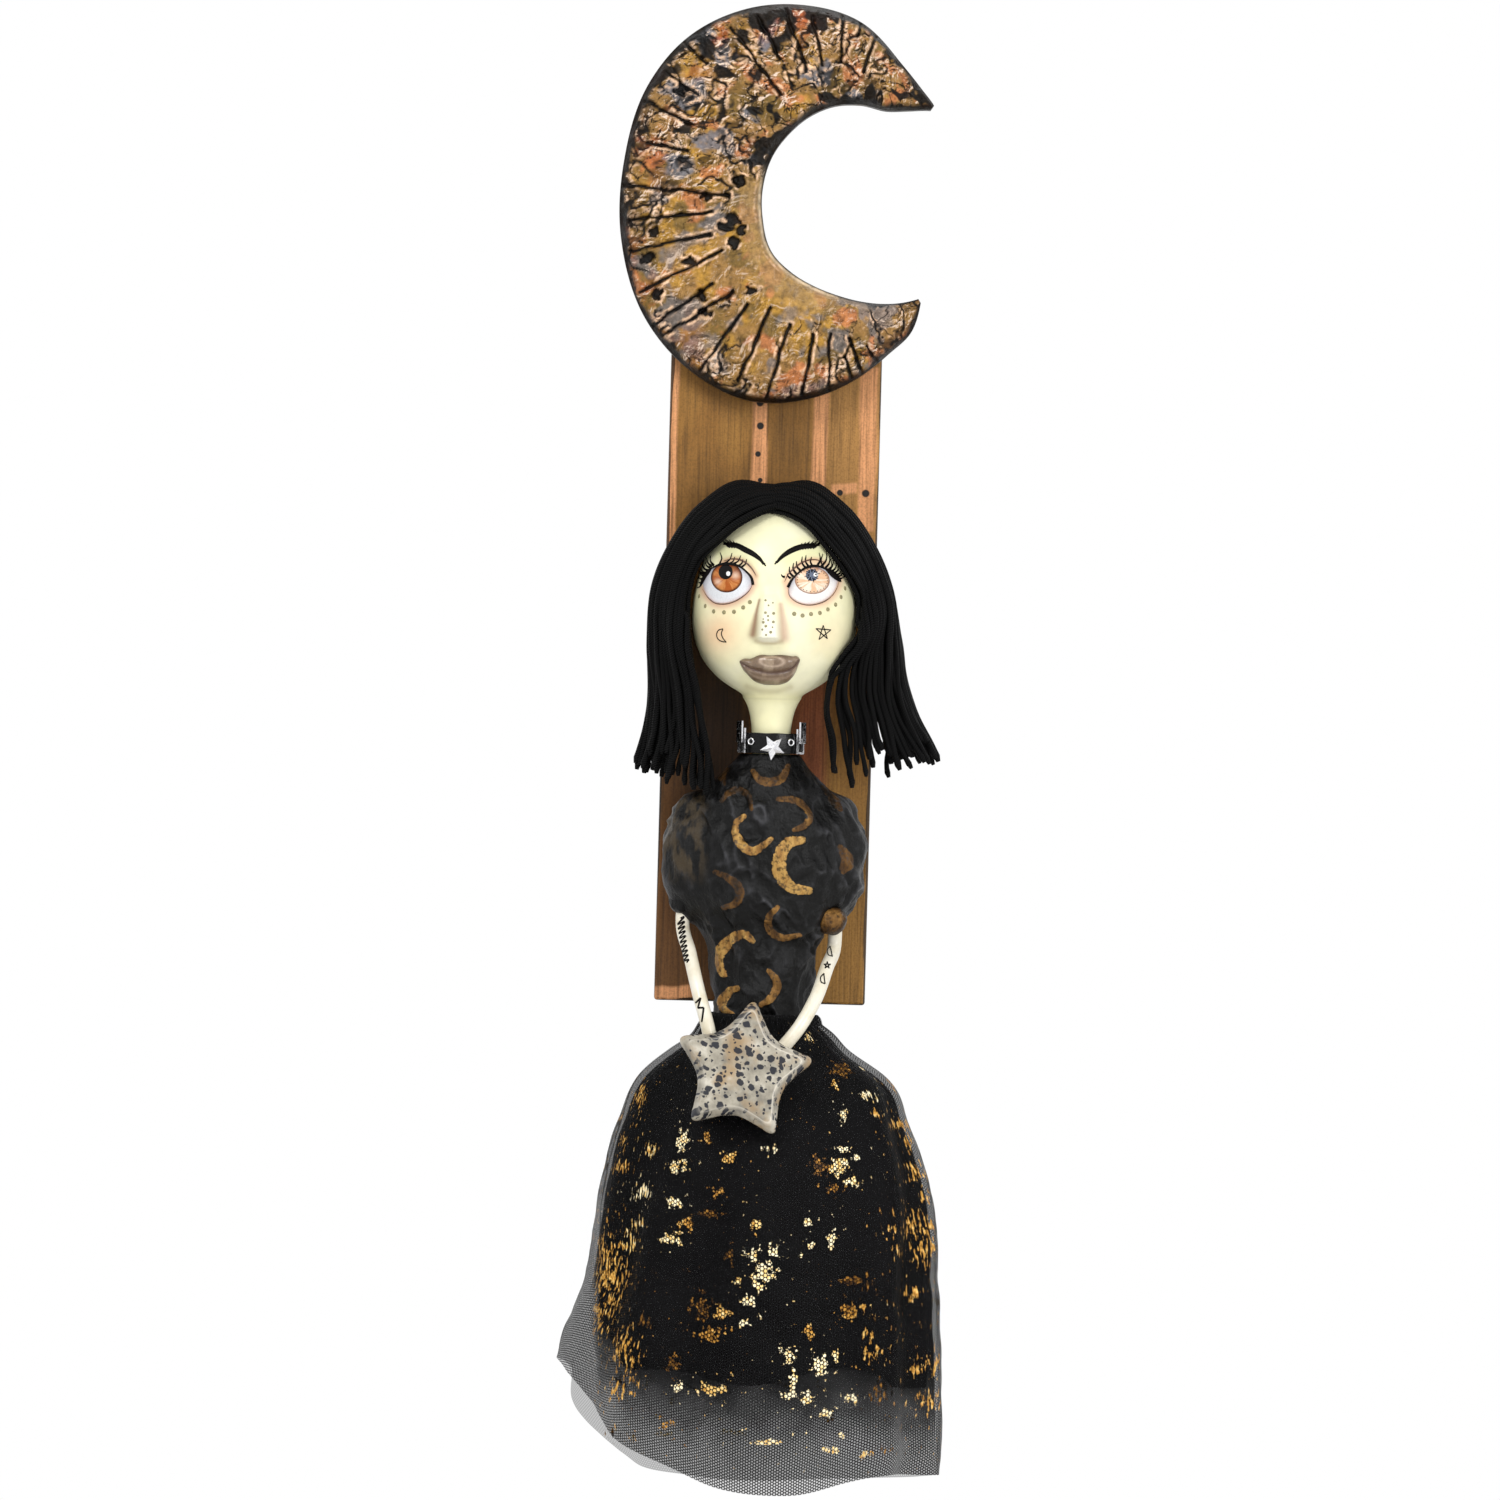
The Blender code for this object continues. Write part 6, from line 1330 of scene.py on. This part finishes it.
# %% Cuffs
CUFFS = {"left": (np.array([HEAD_X - .0351, BODY_Y, BODICE_TOP - .0620]), 0.0056),
         "right": (np.array([HEAD_X + .0289, BODY_Y - .0020, BODICE_TOP - .0705]), 0.0064)}
KNOBS = {"left": ((0.0, 0.0, 0.0), (0.0058, 0.0058, 0.0066)),
    "right": ((-0.0020, -0.0050, 0.0012), (0.0070, 0.0066, 0.0060))}
a = np.linspace(0.04, math.pi - 0.04, 48)[:, None]
b = circle(72)[None]
for side, (middle, radius) in CUFFS.items():
    way = stacked(np.sin(a) * np.cos(b), np.sin(a) * np.sin(b), np.cos(a) + 0 * b)
    shift, half = np.array(KNOBS[side])
    grid = middle + shift + way * half * (1 + 0.07 * rough(way, 0.6, 131, 3)[..., None])
    # The knob's front and top get brighter gold: a painted highlight.
    front = ease(0.35, 0.95, -way[..., 1] * 0.9 + 0.35 * way[..., 2])
    gilt = (0.62 + 0 * front) if side == "right" else 0.2 + 0 * front
    keep(surface(f"cuff_knob_{side}", grid, paint=stacked(gilt, 0.22 + 0.55 * front, 0.45 + 0 * gilt)), paper_black,
        ["bodice"])

# %% [markdown]
# ## The arms
#
# Each arm is a cream craft cord core or plastic tube, bent out of its cuff and glued behind the star. The CAD
# gives the route as a few anchors; the same smooth line through them carries a round section here, and the
# small ink marks are brush lines on the tube's own front.

# %% The star's place and the arms' routes
STAR_X, STAR_Z, SKIRT_Y = -0.0064, WAIST_Z - 0.0195, -0.0448
STAR_Y, TILT = SKIRT_Y - 0.0405, math.radians(8.0)


def star_back_y(z):
    """Y of the star's tilted back at a height."""
    return STAR_Y + (z - STAR_Z) * math.tan(TILT)


def arm_anchors(side):
    """Out of the cuff, down and inwards, and in behind the star, as in the CAD."""
    middle, radius = CUFFS[side]
    hand_z, inner = STAR_Z + 0.0060, 0.0032
    rows, hand_x, lean = {
        "left": (((-0.0296, 0.31), (-0.0254, 0.60), (-0.0216, 0.83)), STAR_X - 0.0120, 0.06),
        "right": (((0.0278, 0.26), (0.0232, 0.55), (0.0170, 0.80)), STAR_X + 0.0130, 0.05)}[side]
    lean = np.array([lean, 0, 1]) / math.hypot(lean, 1)
    out = middle[2] - radius
    line = [np.array([middle[0], middle[1], out]) + lean * (0.0080 - radius * 0.4),
        np.array([middle[0], middle[1], out - 0.003])]
    near = star_back_y(hand_z) + inner
    for ax, part in rows:
        az = out + (hand_z + 0.004 - out) * part
        ay = middle[1] + (near - middle[1]) * (1 - (1 - part) ** 1.8)
        line.append(np.array([ax, max(ay, star_back_y(az) + inner + 0.0006), az]))
    return line + [np.array([hand_x, near + 0.0008, hand_z])]


ARMS = {side: smooth_line(arm_anchors(side), np.linspace(0, 1, 110)) for side in CUFFS}


def arm_front(side):
    """Y of the front of one arm's tube at x and z: a ball of the tube's radius rolls down the middle line, and
    its furthest front there is y - sqrt(r^2 - d^2), with d the distance to the ball's middle in the XZ plane.
    Beside the tube it is the y of the nearest point of the middle line."""
    line = smooth_line(arm_anchors(side), np.linspace(0, 1, 2400))
    def height(x, z):
        away = (x[..., None] - line[:, 0]) ** 2 + (z[..., None] - line[:, 2]) ** 2
        front = line[:, 1] - np.sqrt(np.clip(0.0029**2 - away, 0, None))
        reached = away < np.maximum(0.0029**2, 1.001 * away.min(-1, keepdims=True))
        return np.where(reached, front, 9.0).min(-1)
    return height


# Cream enamel on a tube: glossy, with brownish handling clouds of 7.7 mm.
cream, shader = finish("cream_enamelled_tube", "#EEE6D0", Roughness=0.32, Coat_Weight=0.2, Coat_Roughness=0.12)
stain = add("TexNoise", Vector=add("TexCoord"), Scale=130, Detail=5)
into(shader, Base_Color=add("ValToRGB", [stain], [(0.30, "#E0D5B9"), (0.52, "#EFE8D4"), (0.75, "#F5F0E2")]),
     Normal=add("Bump", Strength=0.08, Distance=0.0004, Height=stain))
for side, line in ARMS.items():
    keep(tubes(f"arm_tube_{side}", line[None], 0.0029, up=(0, -1, 0.2), sides=32), cream,
        [f"arm_{side}"])

# %% Ink on the arms
def ink_on_arm(name, side, lines, width, rows=40, lift=0.00010):
    """Brush lines in millimetres, laid on the front of one arm."""
    height = arm_front(side)
    xz = np.stack([smooth_line(line, np.linspace(0, 1, rows)) for line in lines]) / 1000
    points = stacked(xz[..., 0], height(xz[..., 0], xz[..., 1]) - lift, xz[..., 1])
    keep(tubes(name, points, width / 2000, 0.00024, sides=6), ink)


t = np.linspace(0, 1, 90)
middle = smooth_line(((-34.0, -109.9), (-32.9, -117.5), (-30.8, -128.0)), t)
swing = np.sin(2 * math.pi * 9.5 * t) * (1 - 0.40 * t)
scribble = stacked(middle[:, 0] + 1.35 * swing, middle[:, 1] + 1.15 * swing)
ink_on_arm("hatched_band", "left", [scribble], 0.80, rows=260, lift=0.00016)
ink_on_arm("zigzag", "left", [((-26.6, -144.6), (-24.6, -142.4)), ((-24.6, -142.4), (-25.6, -146.6)),
    ((-25.6, -146.6), (-23.2, -146.4)), ((-23.2, -146.4), (-23.8, -152.4))], 0.80, rows=14, lift=0.00016)
ink_on_arm("arm_crescents", "right", [
    ((28.9, -119.9), (27.9, -121.6), (28.4, -123.4), (30.0, -123.9)),
    ((28.9, -119.9), (29.4, -121.3), (30.0, -123.9)),
    ((26.6, -131.0), (25.3, -132.6), (25.6, -134.6), (27.2, -135.2)),
    ((26.6, -131.0), (26.8, -132.8), (27.2, -135.2))], 0.50, rows=20, lift=0.00022)
points = [(27.9 + 1.5 * math.sin(k * 4 * math.pi / 5),
    -127.6 + 1.5 * math.cos(k * 4 * math.pi / 5)) for k in range(6)]
ink_on_arm("arm_star", "right", list(zip(points, points[1:])), 0.42, rows=12, lift=0.00016)

# %% [markdown]
# ## The stone star
#
# The star is a slice of spotted jasper, ground to shape and tumbled, so its face meets its ground bevel in a
# crisp edge, and the bright line along that edge is a painted highlight, stronger on the right. Its outline is a
# ten-cornered star whose corners are each rounded by a parabola. The spots are cells of a Voronoi pattern, bent
# by noise so that no spot is round.

# %% The ground and polished star
def star_outline(inset, rounding=0.34, steps=12):
    """The edge moved in by inset: straight runs, and at each corner the parabola (1-t)^2 a + 2t(1-t) c + t^2 b."""
    tip, hollow = 0.0306 - inset * 1.5, 0.0178 - inset * 1.05
    way = np.radians(90 + 36 * np.arange(10))
    size = np.where(np.arange(10) % 2 == 0, tip, hollow)
    corner = stacked(size * np.cos(way), size * np.sin(way))
    a = corner + (np.roll(corner, 1, 0) - corner) * rounding
    b = corner + (np.roll(corner, -1, 0) - corner) * rounding
    push = np.where(np.arange(10) % 2 == 0, 1.08, 1.0)[:, None, None]
    t = np.linspace(0, 1, steps)[None, :, None]
    return ((1 - t) ** 2 * a[:, None] + 2 * t * (1 - t) * corner[:, None] * push + t * t * b[:, None]).reshape(-1,
        2)


rings = ((0.0012, 0.0), (0.0004, 0.0003), (0.0, 0.0010), (0.0, 0.0044), (0.0003, 0.0050), (0.0009, 0.0058),
    (0.0018, 0.0069),
         (0.0027, 0.00800), (0.0029, 0.00825), (0.0031, 0.00835), (0.0034, 0.00838), (0.0045, 0.0085),
         (0.0070, 0.0087),
         (0.0100, 0.0089), (0.0130, 0.0090), (0.0150, 0.0090))
grid = np.stack([np.insert(star_outline(inset), 1, -out, axis=1) for inset, out in rings])
place_star = Matrix.Translation((STAR_X, STAR_Y, STAR_Z)) @ Matrix.Rotation(-TILT, 4,
    "X") @ Matrix.Rotation(math.radians(-8.0), 4, "Y").inverted()
move = np.array(place_star)
grid = grid @ move[:3, :3].T + move[:3, 3]
# Polished jasper: beige-grey clouds of 8 mm with rusty ones of 12 mm, blue-black spots from 0.5 to 3 mm, and a
# painted highlight as a bright line where the ground bevel meets the face, stronger towards the right.
jasper, shader = finish("tumbled_spotted_jasper", Roughness=0.18, Coat_Weight=0.1, Coat_Roughness=0.04, IOR=1.54,
    Specular_IOR_Level=0.35)
place = add("TexCoord")
cloud = add("TexNoise", Vector=place, Scale=120, Detail=5, Roughness=0.6)
rust = add("TexNoise", Vector=add("Mapping", [place, (0.31, 0.2, 0.1)]), Scale=85, Detail=3)
bend = add("TexNoise", Vector=place, Scale=420, Detail=2)
sheared = add("SeparateXYZ", [place])
level, upright = (add("Math MULTIPLY_ADD", [sheared.outputs[1], lean,
    sheared.outputs[axis]]) for lean, axis in ((0.7, 0), (0.5, 2)))
pushed = add("VectorMath ADD", [add("CombineXYZ", [level, upright]),
    add("VectorMath SCALE", {0: bend.outputs["Color"], 3: 0.0026})])
stone = add("ValToRGB", [cloud], [(0.28, "#6A665D"), (0.42, "#8F897C"), (0.56, "#B0A999"), (0.72, "#D4CEC0")])
warm = add("MapRange", [rust, 0.50, 0.66, 0, 0.75])
stone = add("Mix", {0: warm, 6: stone, 7: "#A98B62"}, **COLOURS)
spots = None
for scale, size, share in ((225.0, 0.30, 0.96), (400.0, 0.18, 0.60)):
    cells = add("TexVoronoi", Vector=pushed, Scale=scale, Randomness=0.9, voronoi_dimensions="2D")
    some = add("SeparateColor", [cells.outputs["Color"]])
    radius = add("MapRange", [some.outputs[0], 1 - share, 1, 0.12, size + 0.12])
    inside = add("Math SUBTRACT", [radius, cells.outputs["Distance"]])
    chosen = add("Math GREATER_THAN", [some.outputs[0], 1 - share])
    spot = add("MapRange", [add("Math MULTIPLY", [inside, chosen]), 0, 0.06, 0, 0.97])
    spots = spot if spots is None else add("Math MAXIMUM", [spots, spot])
stone = add("Mix", {0: spots, 6: stone, 7: "#1B1E29"}, **COLOURS)
bevel_highlight = add("Math MULTIPLY", [add("SeparateColor", [add("Attribute", attribute_name="paint")]),
                           add("MapRange", [sheared.outputs[0], -0.028, 0.010, 0.15, 0.7])])
into(shader, Base_Color=add("Mix", {0: bevel_highlight, 6: stone, 7: "#F4ECDC"}, **COLOURS))
# The painted highlight's line, 2.9 mm in from the edge.
bright = bell(np.array([inset for inset, _ in rings]) - 0.0029, 0.00028)
star_mesh = surface("spotted_stone_star", grid, paint=np.broadcast_to(bright[:, None, None], grid.shape))
keep(star_mesh, jasper, ["stone_star"], sharp=70)

# %% [markdown]
# ## The skirt
#
# Two layers of foil-printed tulle are gathered over an opaque lining and tied at the waist. Tulle is a net of
# hexagons with a pitch of about 1 mm; it is drawn at 1.25 mm so that it still shows. Every layer is one sheet
# whose half-widths follow the drop below the waist, with folds that grow from fine gathers into a few broad
# ones. A simulation would forget the outline in the photograph, so the folds are worked out instead.

# %% One layer of cloth
SKIRT_LEFT = ((0, -.0030), (.006, .0010), (.012, .0095), (.022, .0215), (.042, .0310), (.074, .0395), (.110, .0445),
    (.147, .0550), (.201, .0540))
SKIRT_RIGHT = ((0, -.0040), (.003, .0000), (.010, .0068), (.022, .0240), (.042, .0345), (.074, .0455),
    (.110, .0495), (.147, .0520), (.201, .0520))
SKIRT_FRONT = ((0, .0010), (.020, .0045), (.045, .0120), (.080, .0170), (.201, .0215))
HEM_RISE = ((0, .0080), (60, .0030), (105, .0020), (135, .0120), (160, .0440), (182, .0530), (205, .0450),
    (220, .0280), (236, .0160),
            (262, .0020), (282, 0), (312, .0085), (340, .0085), (360, .0080))


def skirt_layer(inset, length_share, columns, rows):
    """Points round a layer, from its gathered top to its hem: hips plus a width for each side plus folds,
    0.62 sin(9a) + 0.38 sin(13a), with fine gathers at the top and slack creases that all layers share. The
    inner layers hang exp(k (cos(a - b) - 1)) lower under the flare at the left and at the right."""
    turns = circle(columns)
    hem = WAIST_Z - 0.1955 + smooth_value(HEM_RISE, np.degrees(turns))
    lower = 0.15 * np.exp(6 * (np.cos(turns - 3.63) - 1)) + 0.09 * np.exp(5 * (np.cos(turns - 5.9) - 1))
    ragged = 1 + (lower + 0.020 * np.sin(3 * turns + 1) + 0.012 * np.sin(7 * turns)) * min(inset, 1)
    share = (np.linspace(0, 1, rows) ** 1.25)[:, None] * np.minimum(length_share * ragged, 1 - 0.012 * inset)[None]
    z = WAIST_Z + 0.0040 + share * (hem - WAIST_Z - 0.0040)[None]
    drop = np.clip(WAIST_Z - z, 0, None) * 0.201 / 0.1955
    fullness = np.clip(drop / 0.110, 0, 1)
    gather = 0.0036 * (0.25 + 0.75 * fullness)
    on = turns[None] + 0.25 * fullness
    folds = 0.62 * np.sin(9 * on + 0.6) + 0.38 * np.sin(13 * on + 2.1)
    layer = inset * (0.0016 + 0.0014 * fullness)
    fit = 0.0240 + 0.0048 + 0.0009
    under = np.clip(drop - layer, 0, None)
    left, right = fit + smooth_value(SKIRT_LEFT, under), fit + smooth_value(SKIRT_RIGHT, under)
    front = fit - 0.0055 + smooth_value(SKIRT_FRONT, under)
    side = ease(-0.25, 0.25, np.cos(turns))[None]
    wide = left * (1 - side) + right * side
    ruche = np.exp(-drop / 0.012) * 0.00045 * np.sin(56 * turns[None] + 3 * np.sin(5 * turns[None]))
    p = stacked(np.cos(turns)[None] + 0 * z, np.sin(turns)[None] + 0 * z, z / 0.05)
    slack = 0.0011 * fullness * rough(p, 0.42, 141, 2) + 0.0004 * fullness * rough(p, 0.16, 143, 2) + ruche
    pulled = 0.0022 * np.exp(-((WAIST_Z + 0.0040 - z) / 0.0016))
    x = BODY_X + (wide - pulled + gather * folds - gather - layer + slack) * np.cos(turns)
    y = SKIRT_Y + (front - 0.5 * pulled + gather * folds - layer + slack) * np.sin(turns)
    wall = -0.0020 - layer
    y = np.where(y > wall - 0.012, wall - 0.012 * np.exp(-(y - wall + 0.012) / 0.012), y)
    return stacked(x, y, z)


FOIL = (   # middle X and Z, half-width and half-height in millimetres, tone from 0 brown to 9 pale
    (-49, -184, 2.4, 7.7, 5), (-55, -203, 1.7, 3.1, 5), (-44, -207, 3.4, 3.4, 7), (-31, -202, 3.1, 6, 9),
    (-33, -213, 4.8, 3.1, 8), (-56, -214, 2.4, 3.4, 5), (-11, -208, 3.8, 2.4, 6), (-21, -200, 2.4, 2.7, 5),
    (5, -205, 4.8, 1.4, 9), (-46, -225, 5.5, 3.8, 9), (-33, -228, 4.3, 2.4, 9), (-15, -223, 2.7, 2.4, 4),
    (-18, -232, 5.1, 1.7, 2), (-47, -237, 3.4, 2.1, 7), (-51, -245, 3.1, 5.1, 7), (-28, -236, 3.4, 3.1, 5),
    (-34, -243, 5.1, 3.1, 8), (37, -204, 3.1, 2.1, 9), (43, -207, 2.4, 2.7, 9), (35, -211, 5.5, 4.5, 8),
    (42, -218, 4.8, 2.4, 8), (27, -211, 4.8, 4.5, 2), (33, -220, 4.3, 2.1, 3), (44, -171, 2.1, 3.1, 9),
    (35, -171, 4.8, 3.4, 2), (46, -181, 3.4, 2.7, 9), (21, -158, 1.7, 2.4, 8), (32, -177, 2.4, 1.7, 6),
    (36, -190, 2.1, 3.8, 9), (51, -190, 2.4, 2.1, 6), (60, -194, 5.8, 2.4, 5), (64, -200, 2.1, 5.1, 5),
    (68, -214, 3.1, 5.5, 5), (71, -223, 2.1, 3.1, 5), (67, -236, 4.5, 5.8, 5), (74, -237, 2.4, 7.5, 5),
    (23, -235, 3.1, 2.1, 9), (33, -242, 2.4, 3.8, 9), (24, -244, 3.4, 1.7, 9), (1, -236, 2.4, 3.1, 7),
    (9, -246, 2.1, 4.3, 9), (0, -248, 3.1, 3.4, 9), (5, -255, 6, 3.8, 9), (-10, -249, 2.1, 3.1, 2),
    (3, -262, 3.1, 2.4, 8), (-1, -268, 3.4, 3.1, 9), (-21, -271, 4.3, 6, 2), (-13, -273, 3.8, 3.1, 6),
    (-3, -277, 3.1, 1.7, 9), (-17, -282, 7.2, 3.1, 4), (44, -259, 7.2, 3.4, 2), (41, -271, 5.1, 4.8, 4),
    (47, -269, 3.1, 2.4, 6), (61, -245, 2.4, 3.1, 5), (67, -264, 2.1, 4.1, 5), (72, -246, 4.1, 6.8, 5),
    (-61, -258, 5.5, 16.3, 5), (-57, -270, 2.7, 6.8, 5), (-54, -289, 5.1, 8.6, 5), (-49, -300, 3.1, 5.1, 5),
    (-56, -306, 4.5, 4.1, 5), (-35, -320, 3.1, 2.7, 4), (-44, -278, 3.4, 3.4, 2), (-32, -295, 3.1, 5.1, 2),
    (-29, -305, 2.1, 3.1, 9), (-16, -305, 7.2, 2.7, 7), (16, -290, 3.8, 3.4, 9), (29, -294, 3.8, 5.1, 9),
    (35, -290, 2.1, 2.6, 8), (18, -299, 2.1, 4.3, 9), (16, -306, 3.8, 2.1, 9), (25, -308, 3.8, 3.1, 9),
    (32, -314, 3.1, 2.1, 9), (43, -307, 4.8, 2.4, 9), (51, -289, 3.4, 3.8, 5), (48, -281, 2.6, 2.6, 5),
    (54, -306, 2.4, 5.1, 2), (71, -295, 2.1, 5.5, 5), (78, -294, 1.7, 6.8, 5), (75, -310, 3.8, 3.8, 5),
    (38, -322, 2.4, 1.4, 9), (6, -327, 6.2, 1.4, 8), (36, -329, 4.5, 1.7, 8), (48, -331, 1.7, 2.6, 7),
    (58, -328, 2.7, 1.7, 2), (78, -270, 1.7, 10.3, 5), (25, -280, 2.1, 4.1, 5), (-6, -259, 1.7, 2.4, 7),
    (58, -237, 1.7, 2.7, 5), (63, -174, 1.7, 6.8, 4), (-64, -248, 2.4, 5.1, 5), (-64, -277, 2.4, 10.3, 5),
)


def foil_paint(grid):
    """Where foil stuck. Each patch is exp(-(h / w)^2 - (v / t)^2), with h the level distance and v the height
    from its middle: red is the strongest patch, green its tone, blue how far round the side. The front's
    patches come again on the back, mirrored."""
    x, y, z = np.moveaxis(grid, -1, 0) * 1000
    most, tone = np.zeros(x.shape), np.full(x.shape, 0.5)
    for facing in (1, -1):
        half = facing * (y - SKIRT_Y * 1000) < 0
        for middle_x, middle_z, wide, tall, shade in FOIL:
            near = np.where(half, np.hypot(x - facing * middle_x, z - middle_z), 999).argmin()
            level = np.hypot(x - x.flat[near], y - y.flat[near]) / (wide * (1 + 1.0 * float(ease(40, 62,
                abs(middle_x)))))
            close = np.exp(-level**2 - ((z - z.flat[near]) / tall) ** 2)
            tone = np.where(close > most, shade / 9, tone)
            most = np.maximum(most, close)
    return stacked(most, tone, ease(34, 50, np.abs(x - 2)))


def cloth_sheet(name, inset, length_share, columns, rows, material, node):
    """A layer as a sheet of cloth: its UV map is in metres of cloth round the hem and down the fall."""
    grid = skirt_layer(inset, length_share, columns, rows)
    closed_row = np.concatenate([grid[-1], grid[-1, :1]])
    round_hem = np.concatenate([[0], np.cumsum(np.linalg.norm(np.diff(closed_row, axis=0), axis=1))])
    down = np.concatenate([[0], np.cumsum(np.linalg.norm(np.diff(grid, axis=0), axis=-1).max(axis=1))])
    paint = foil_paint(grid) if inset == 0 else None
    piece = keep(surface(name, grid, closed=False, u=round_hem, v=down, paint=paint), material, [node])
    return piece


print("skirt functions ready")

# %% [markdown]
# ### Tulle and foil
#
# Nylon tulle is see-through where its hexagons are open. Three cosine waves, 60 degrees apart, add up to a
# high value in the middle of each hexagon and a low one on the threads, and their threshold is the cloth's
# alpha. Gold foil was pressed on in random flakes and stuck only to the threads, so the flakes are noise
# broken up by the same net: pale where they face the light, ochre at the sides.

# %% Foil-printed tulle
def tulle(name, foil):
    """Black net, with or without foil flakes."""
    # Nylon net: matt black threads round open hexagons 1.25 mm apart in front and
    # 1.05 mm, cut on the cross, behind, which keeps the two from beating; the inner layer is too fine to show
    # its threads and thins out, torn, towards its hem. Foil flakes are 2.8 mm in front and 1.5 by 5 mm at the
    # sides, cut into beads of 1.8 mm by the net, and glint gold.
    made, shader = finish(name, "#060607", Roughness=0.6, Specular_IOR_Level=0.10)
    uv = add("UVMap")

    def hexagons(pitch, turned=0):
        """Three cosine waves, 60 degrees apart, whose sum is high in the middle of each hexagon of the net."""
        wave, total = 4 * math.pi / (math.sqrt(3) * pitch), None
        for degrees in (turned, turned + 60, turned + 120):
            way = (math.cos(math.radians(degrees)) * wave, math.sin(math.radians(degrees)) * wave, 0)
            ripple = add("Math COSINE", [add("VectorMath DOT_PRODUCT", [uv, way]).outputs["Value"]])
            total = ripple if total is None else add("Math ADD", [total, ripple])
        return total

    axes = add("SeparateXYZ", [add("TexCoord")])
    if not foil:
        grain = add("TexNoise", Vector=uv, Scale=900, Detail=2)
        threads = add("MapRange", [grain, 0.3, 0.7, 0.80, 0.97])
        down = add("SeparateXYZ", [uv]).outputs[1]
        torn = add("TexNoise", Vector=uv, Scale=60, Detail=4)
        for part, low, high, least, most in ((torn, 0.3, 0.7, -0.009, 0.009),
            (axes.outputs[0], -0.074, -0.063, 0.050, -0.010)):
            down = add("Math ADD", [down, add("MapRange", [part, low, high, least, most])])
        worn_out = add("MapRange", [down, 0.154, 0.204, 1, 0], **SMOOTH)
        into(shader, Alpha=add("Math MULTIPLY", [threads, worn_out]))
        return made
    behind = add("Math GREATER_THAN", [axes.outputs[1], SKIRT_Y])
    holes = add("MapRange", [behind, 0, 1, hexagons(0.00125), hexagons(0.00105, 30)])
    most, least = (add("MapRange", [behind, 0, 1, front, back]) for front, back in ((0.94, 0.58), (0.20, 0.36)))
    threads = add("MapRange", [holes, -0.4, 1.1, most, least], **SMOOTH)
    parts = add("SeparateColor", [add("Attribute", attribute_name="paint")])
    side = parts.outputs[2]
    round_flakes, long_flakes = (add("TexNoise", Vector=add("Mapping", {0: uv, 3: size}), Scale=1, Detail=3,
        Roughness=0.55)
                                 for size in ((350, 310, 1), (640, 200, 1)))
    flakes = add("MapRange", [side, 0, 1, round_flakes, long_flakes])
    shine = add("TexNoise", Vector=uv, Scale=480, Detail=2)
    crumbs = add("TexNoise", Vector=uv, Scale=620, Detail=1)
    pull = add("Math MULTIPLY", [parts.outputs[0], add("MapRange", [side, 0, 1, 0.322, 0.176])])
    stuck = add("Math ADD", [pull, flakes])
    mask = add("MapRange", [stuck, add("MapRange", [side, 0, 1, 0.680, 0.645]), 0.700, 0, 1])
    crumb = add("MapRange", [crumbs, 0.762, 0.780, 0, 1])
    dots = add("MapRange", [hexagons(0.0018), -1, -0.3, 0, 1])
    mask = add("Math MULTIPLY", [mask, add("Math MAXIMUM", [dots, side])])
    mask = add("Math MAXIMUM", [mask, crumb])
    for axis, bare, covered in ((2, -0.340, -0.332), (0, -0.068, -0.062), (2, -0.150, -0.158)):
        inside = add("MapRange", [axes.outputs[axis], bare, covered, 0, 1])
        mask = add("Math MULTIPLY", [mask, inside])
    hue = add("Math ADD", [parts.outputs[1], add("MapRange", [shine, 0.3, 0.7, -0.34, 0.22])])
    gold = add("ValToRGB", [hue], [(0.08, "#35220F"), (0.30, "#8A5F24"), (0.52, "#CF9844"), (0.76, "#F6D080"),
        (1, "#FFF2CC")])
    into(shader, Base_Color=add("Mix", {0: mask, 6: "#060607", 7: gold}, **COLOURS),
         Metallic=add("Math MULTIPLY", [mask, 0.2]),
         Roughness=add("MapRange", [mask, 0, 1, 0.6, 0.36]),
         Alpha=add("Math MAXIMUM", [threads, mask]))
    return made


foiled, net = tulle("foil_printed_nylon_tulle", True), tulle("plain_nylon_tulle", False)
# Woven polyester: an even black with a weave of 0.35 mm and hardly any sheen.
satin, shader = finish("black_polyester_lining", "#060606", Roughness=0.7, Specular_IOR_Level=0.12)
weave = add("TexWave", Vector=add("UVMap"), Scale=900)
into(shader, Base_Color=add("ValToRGB", [weave], [(0, "#030303"), (1, "#0A0A0A")]),
     Normal=add("Bump", Strength=0.2, Distance=0.0003, Height=weave))
lining = cloth_sheet("lining_cloth", 2, 0.75, 240, 90, satin, "skirt_lining")
middle_net = cloth_sheet("inner_tulle", 1, 0.96, 300, 110, net, "skirt_middle_net")
outer_net = cloth_sheet("foiled_tulle", 0, 1.0, 480, 170, foiled, "skirt_outer_net")
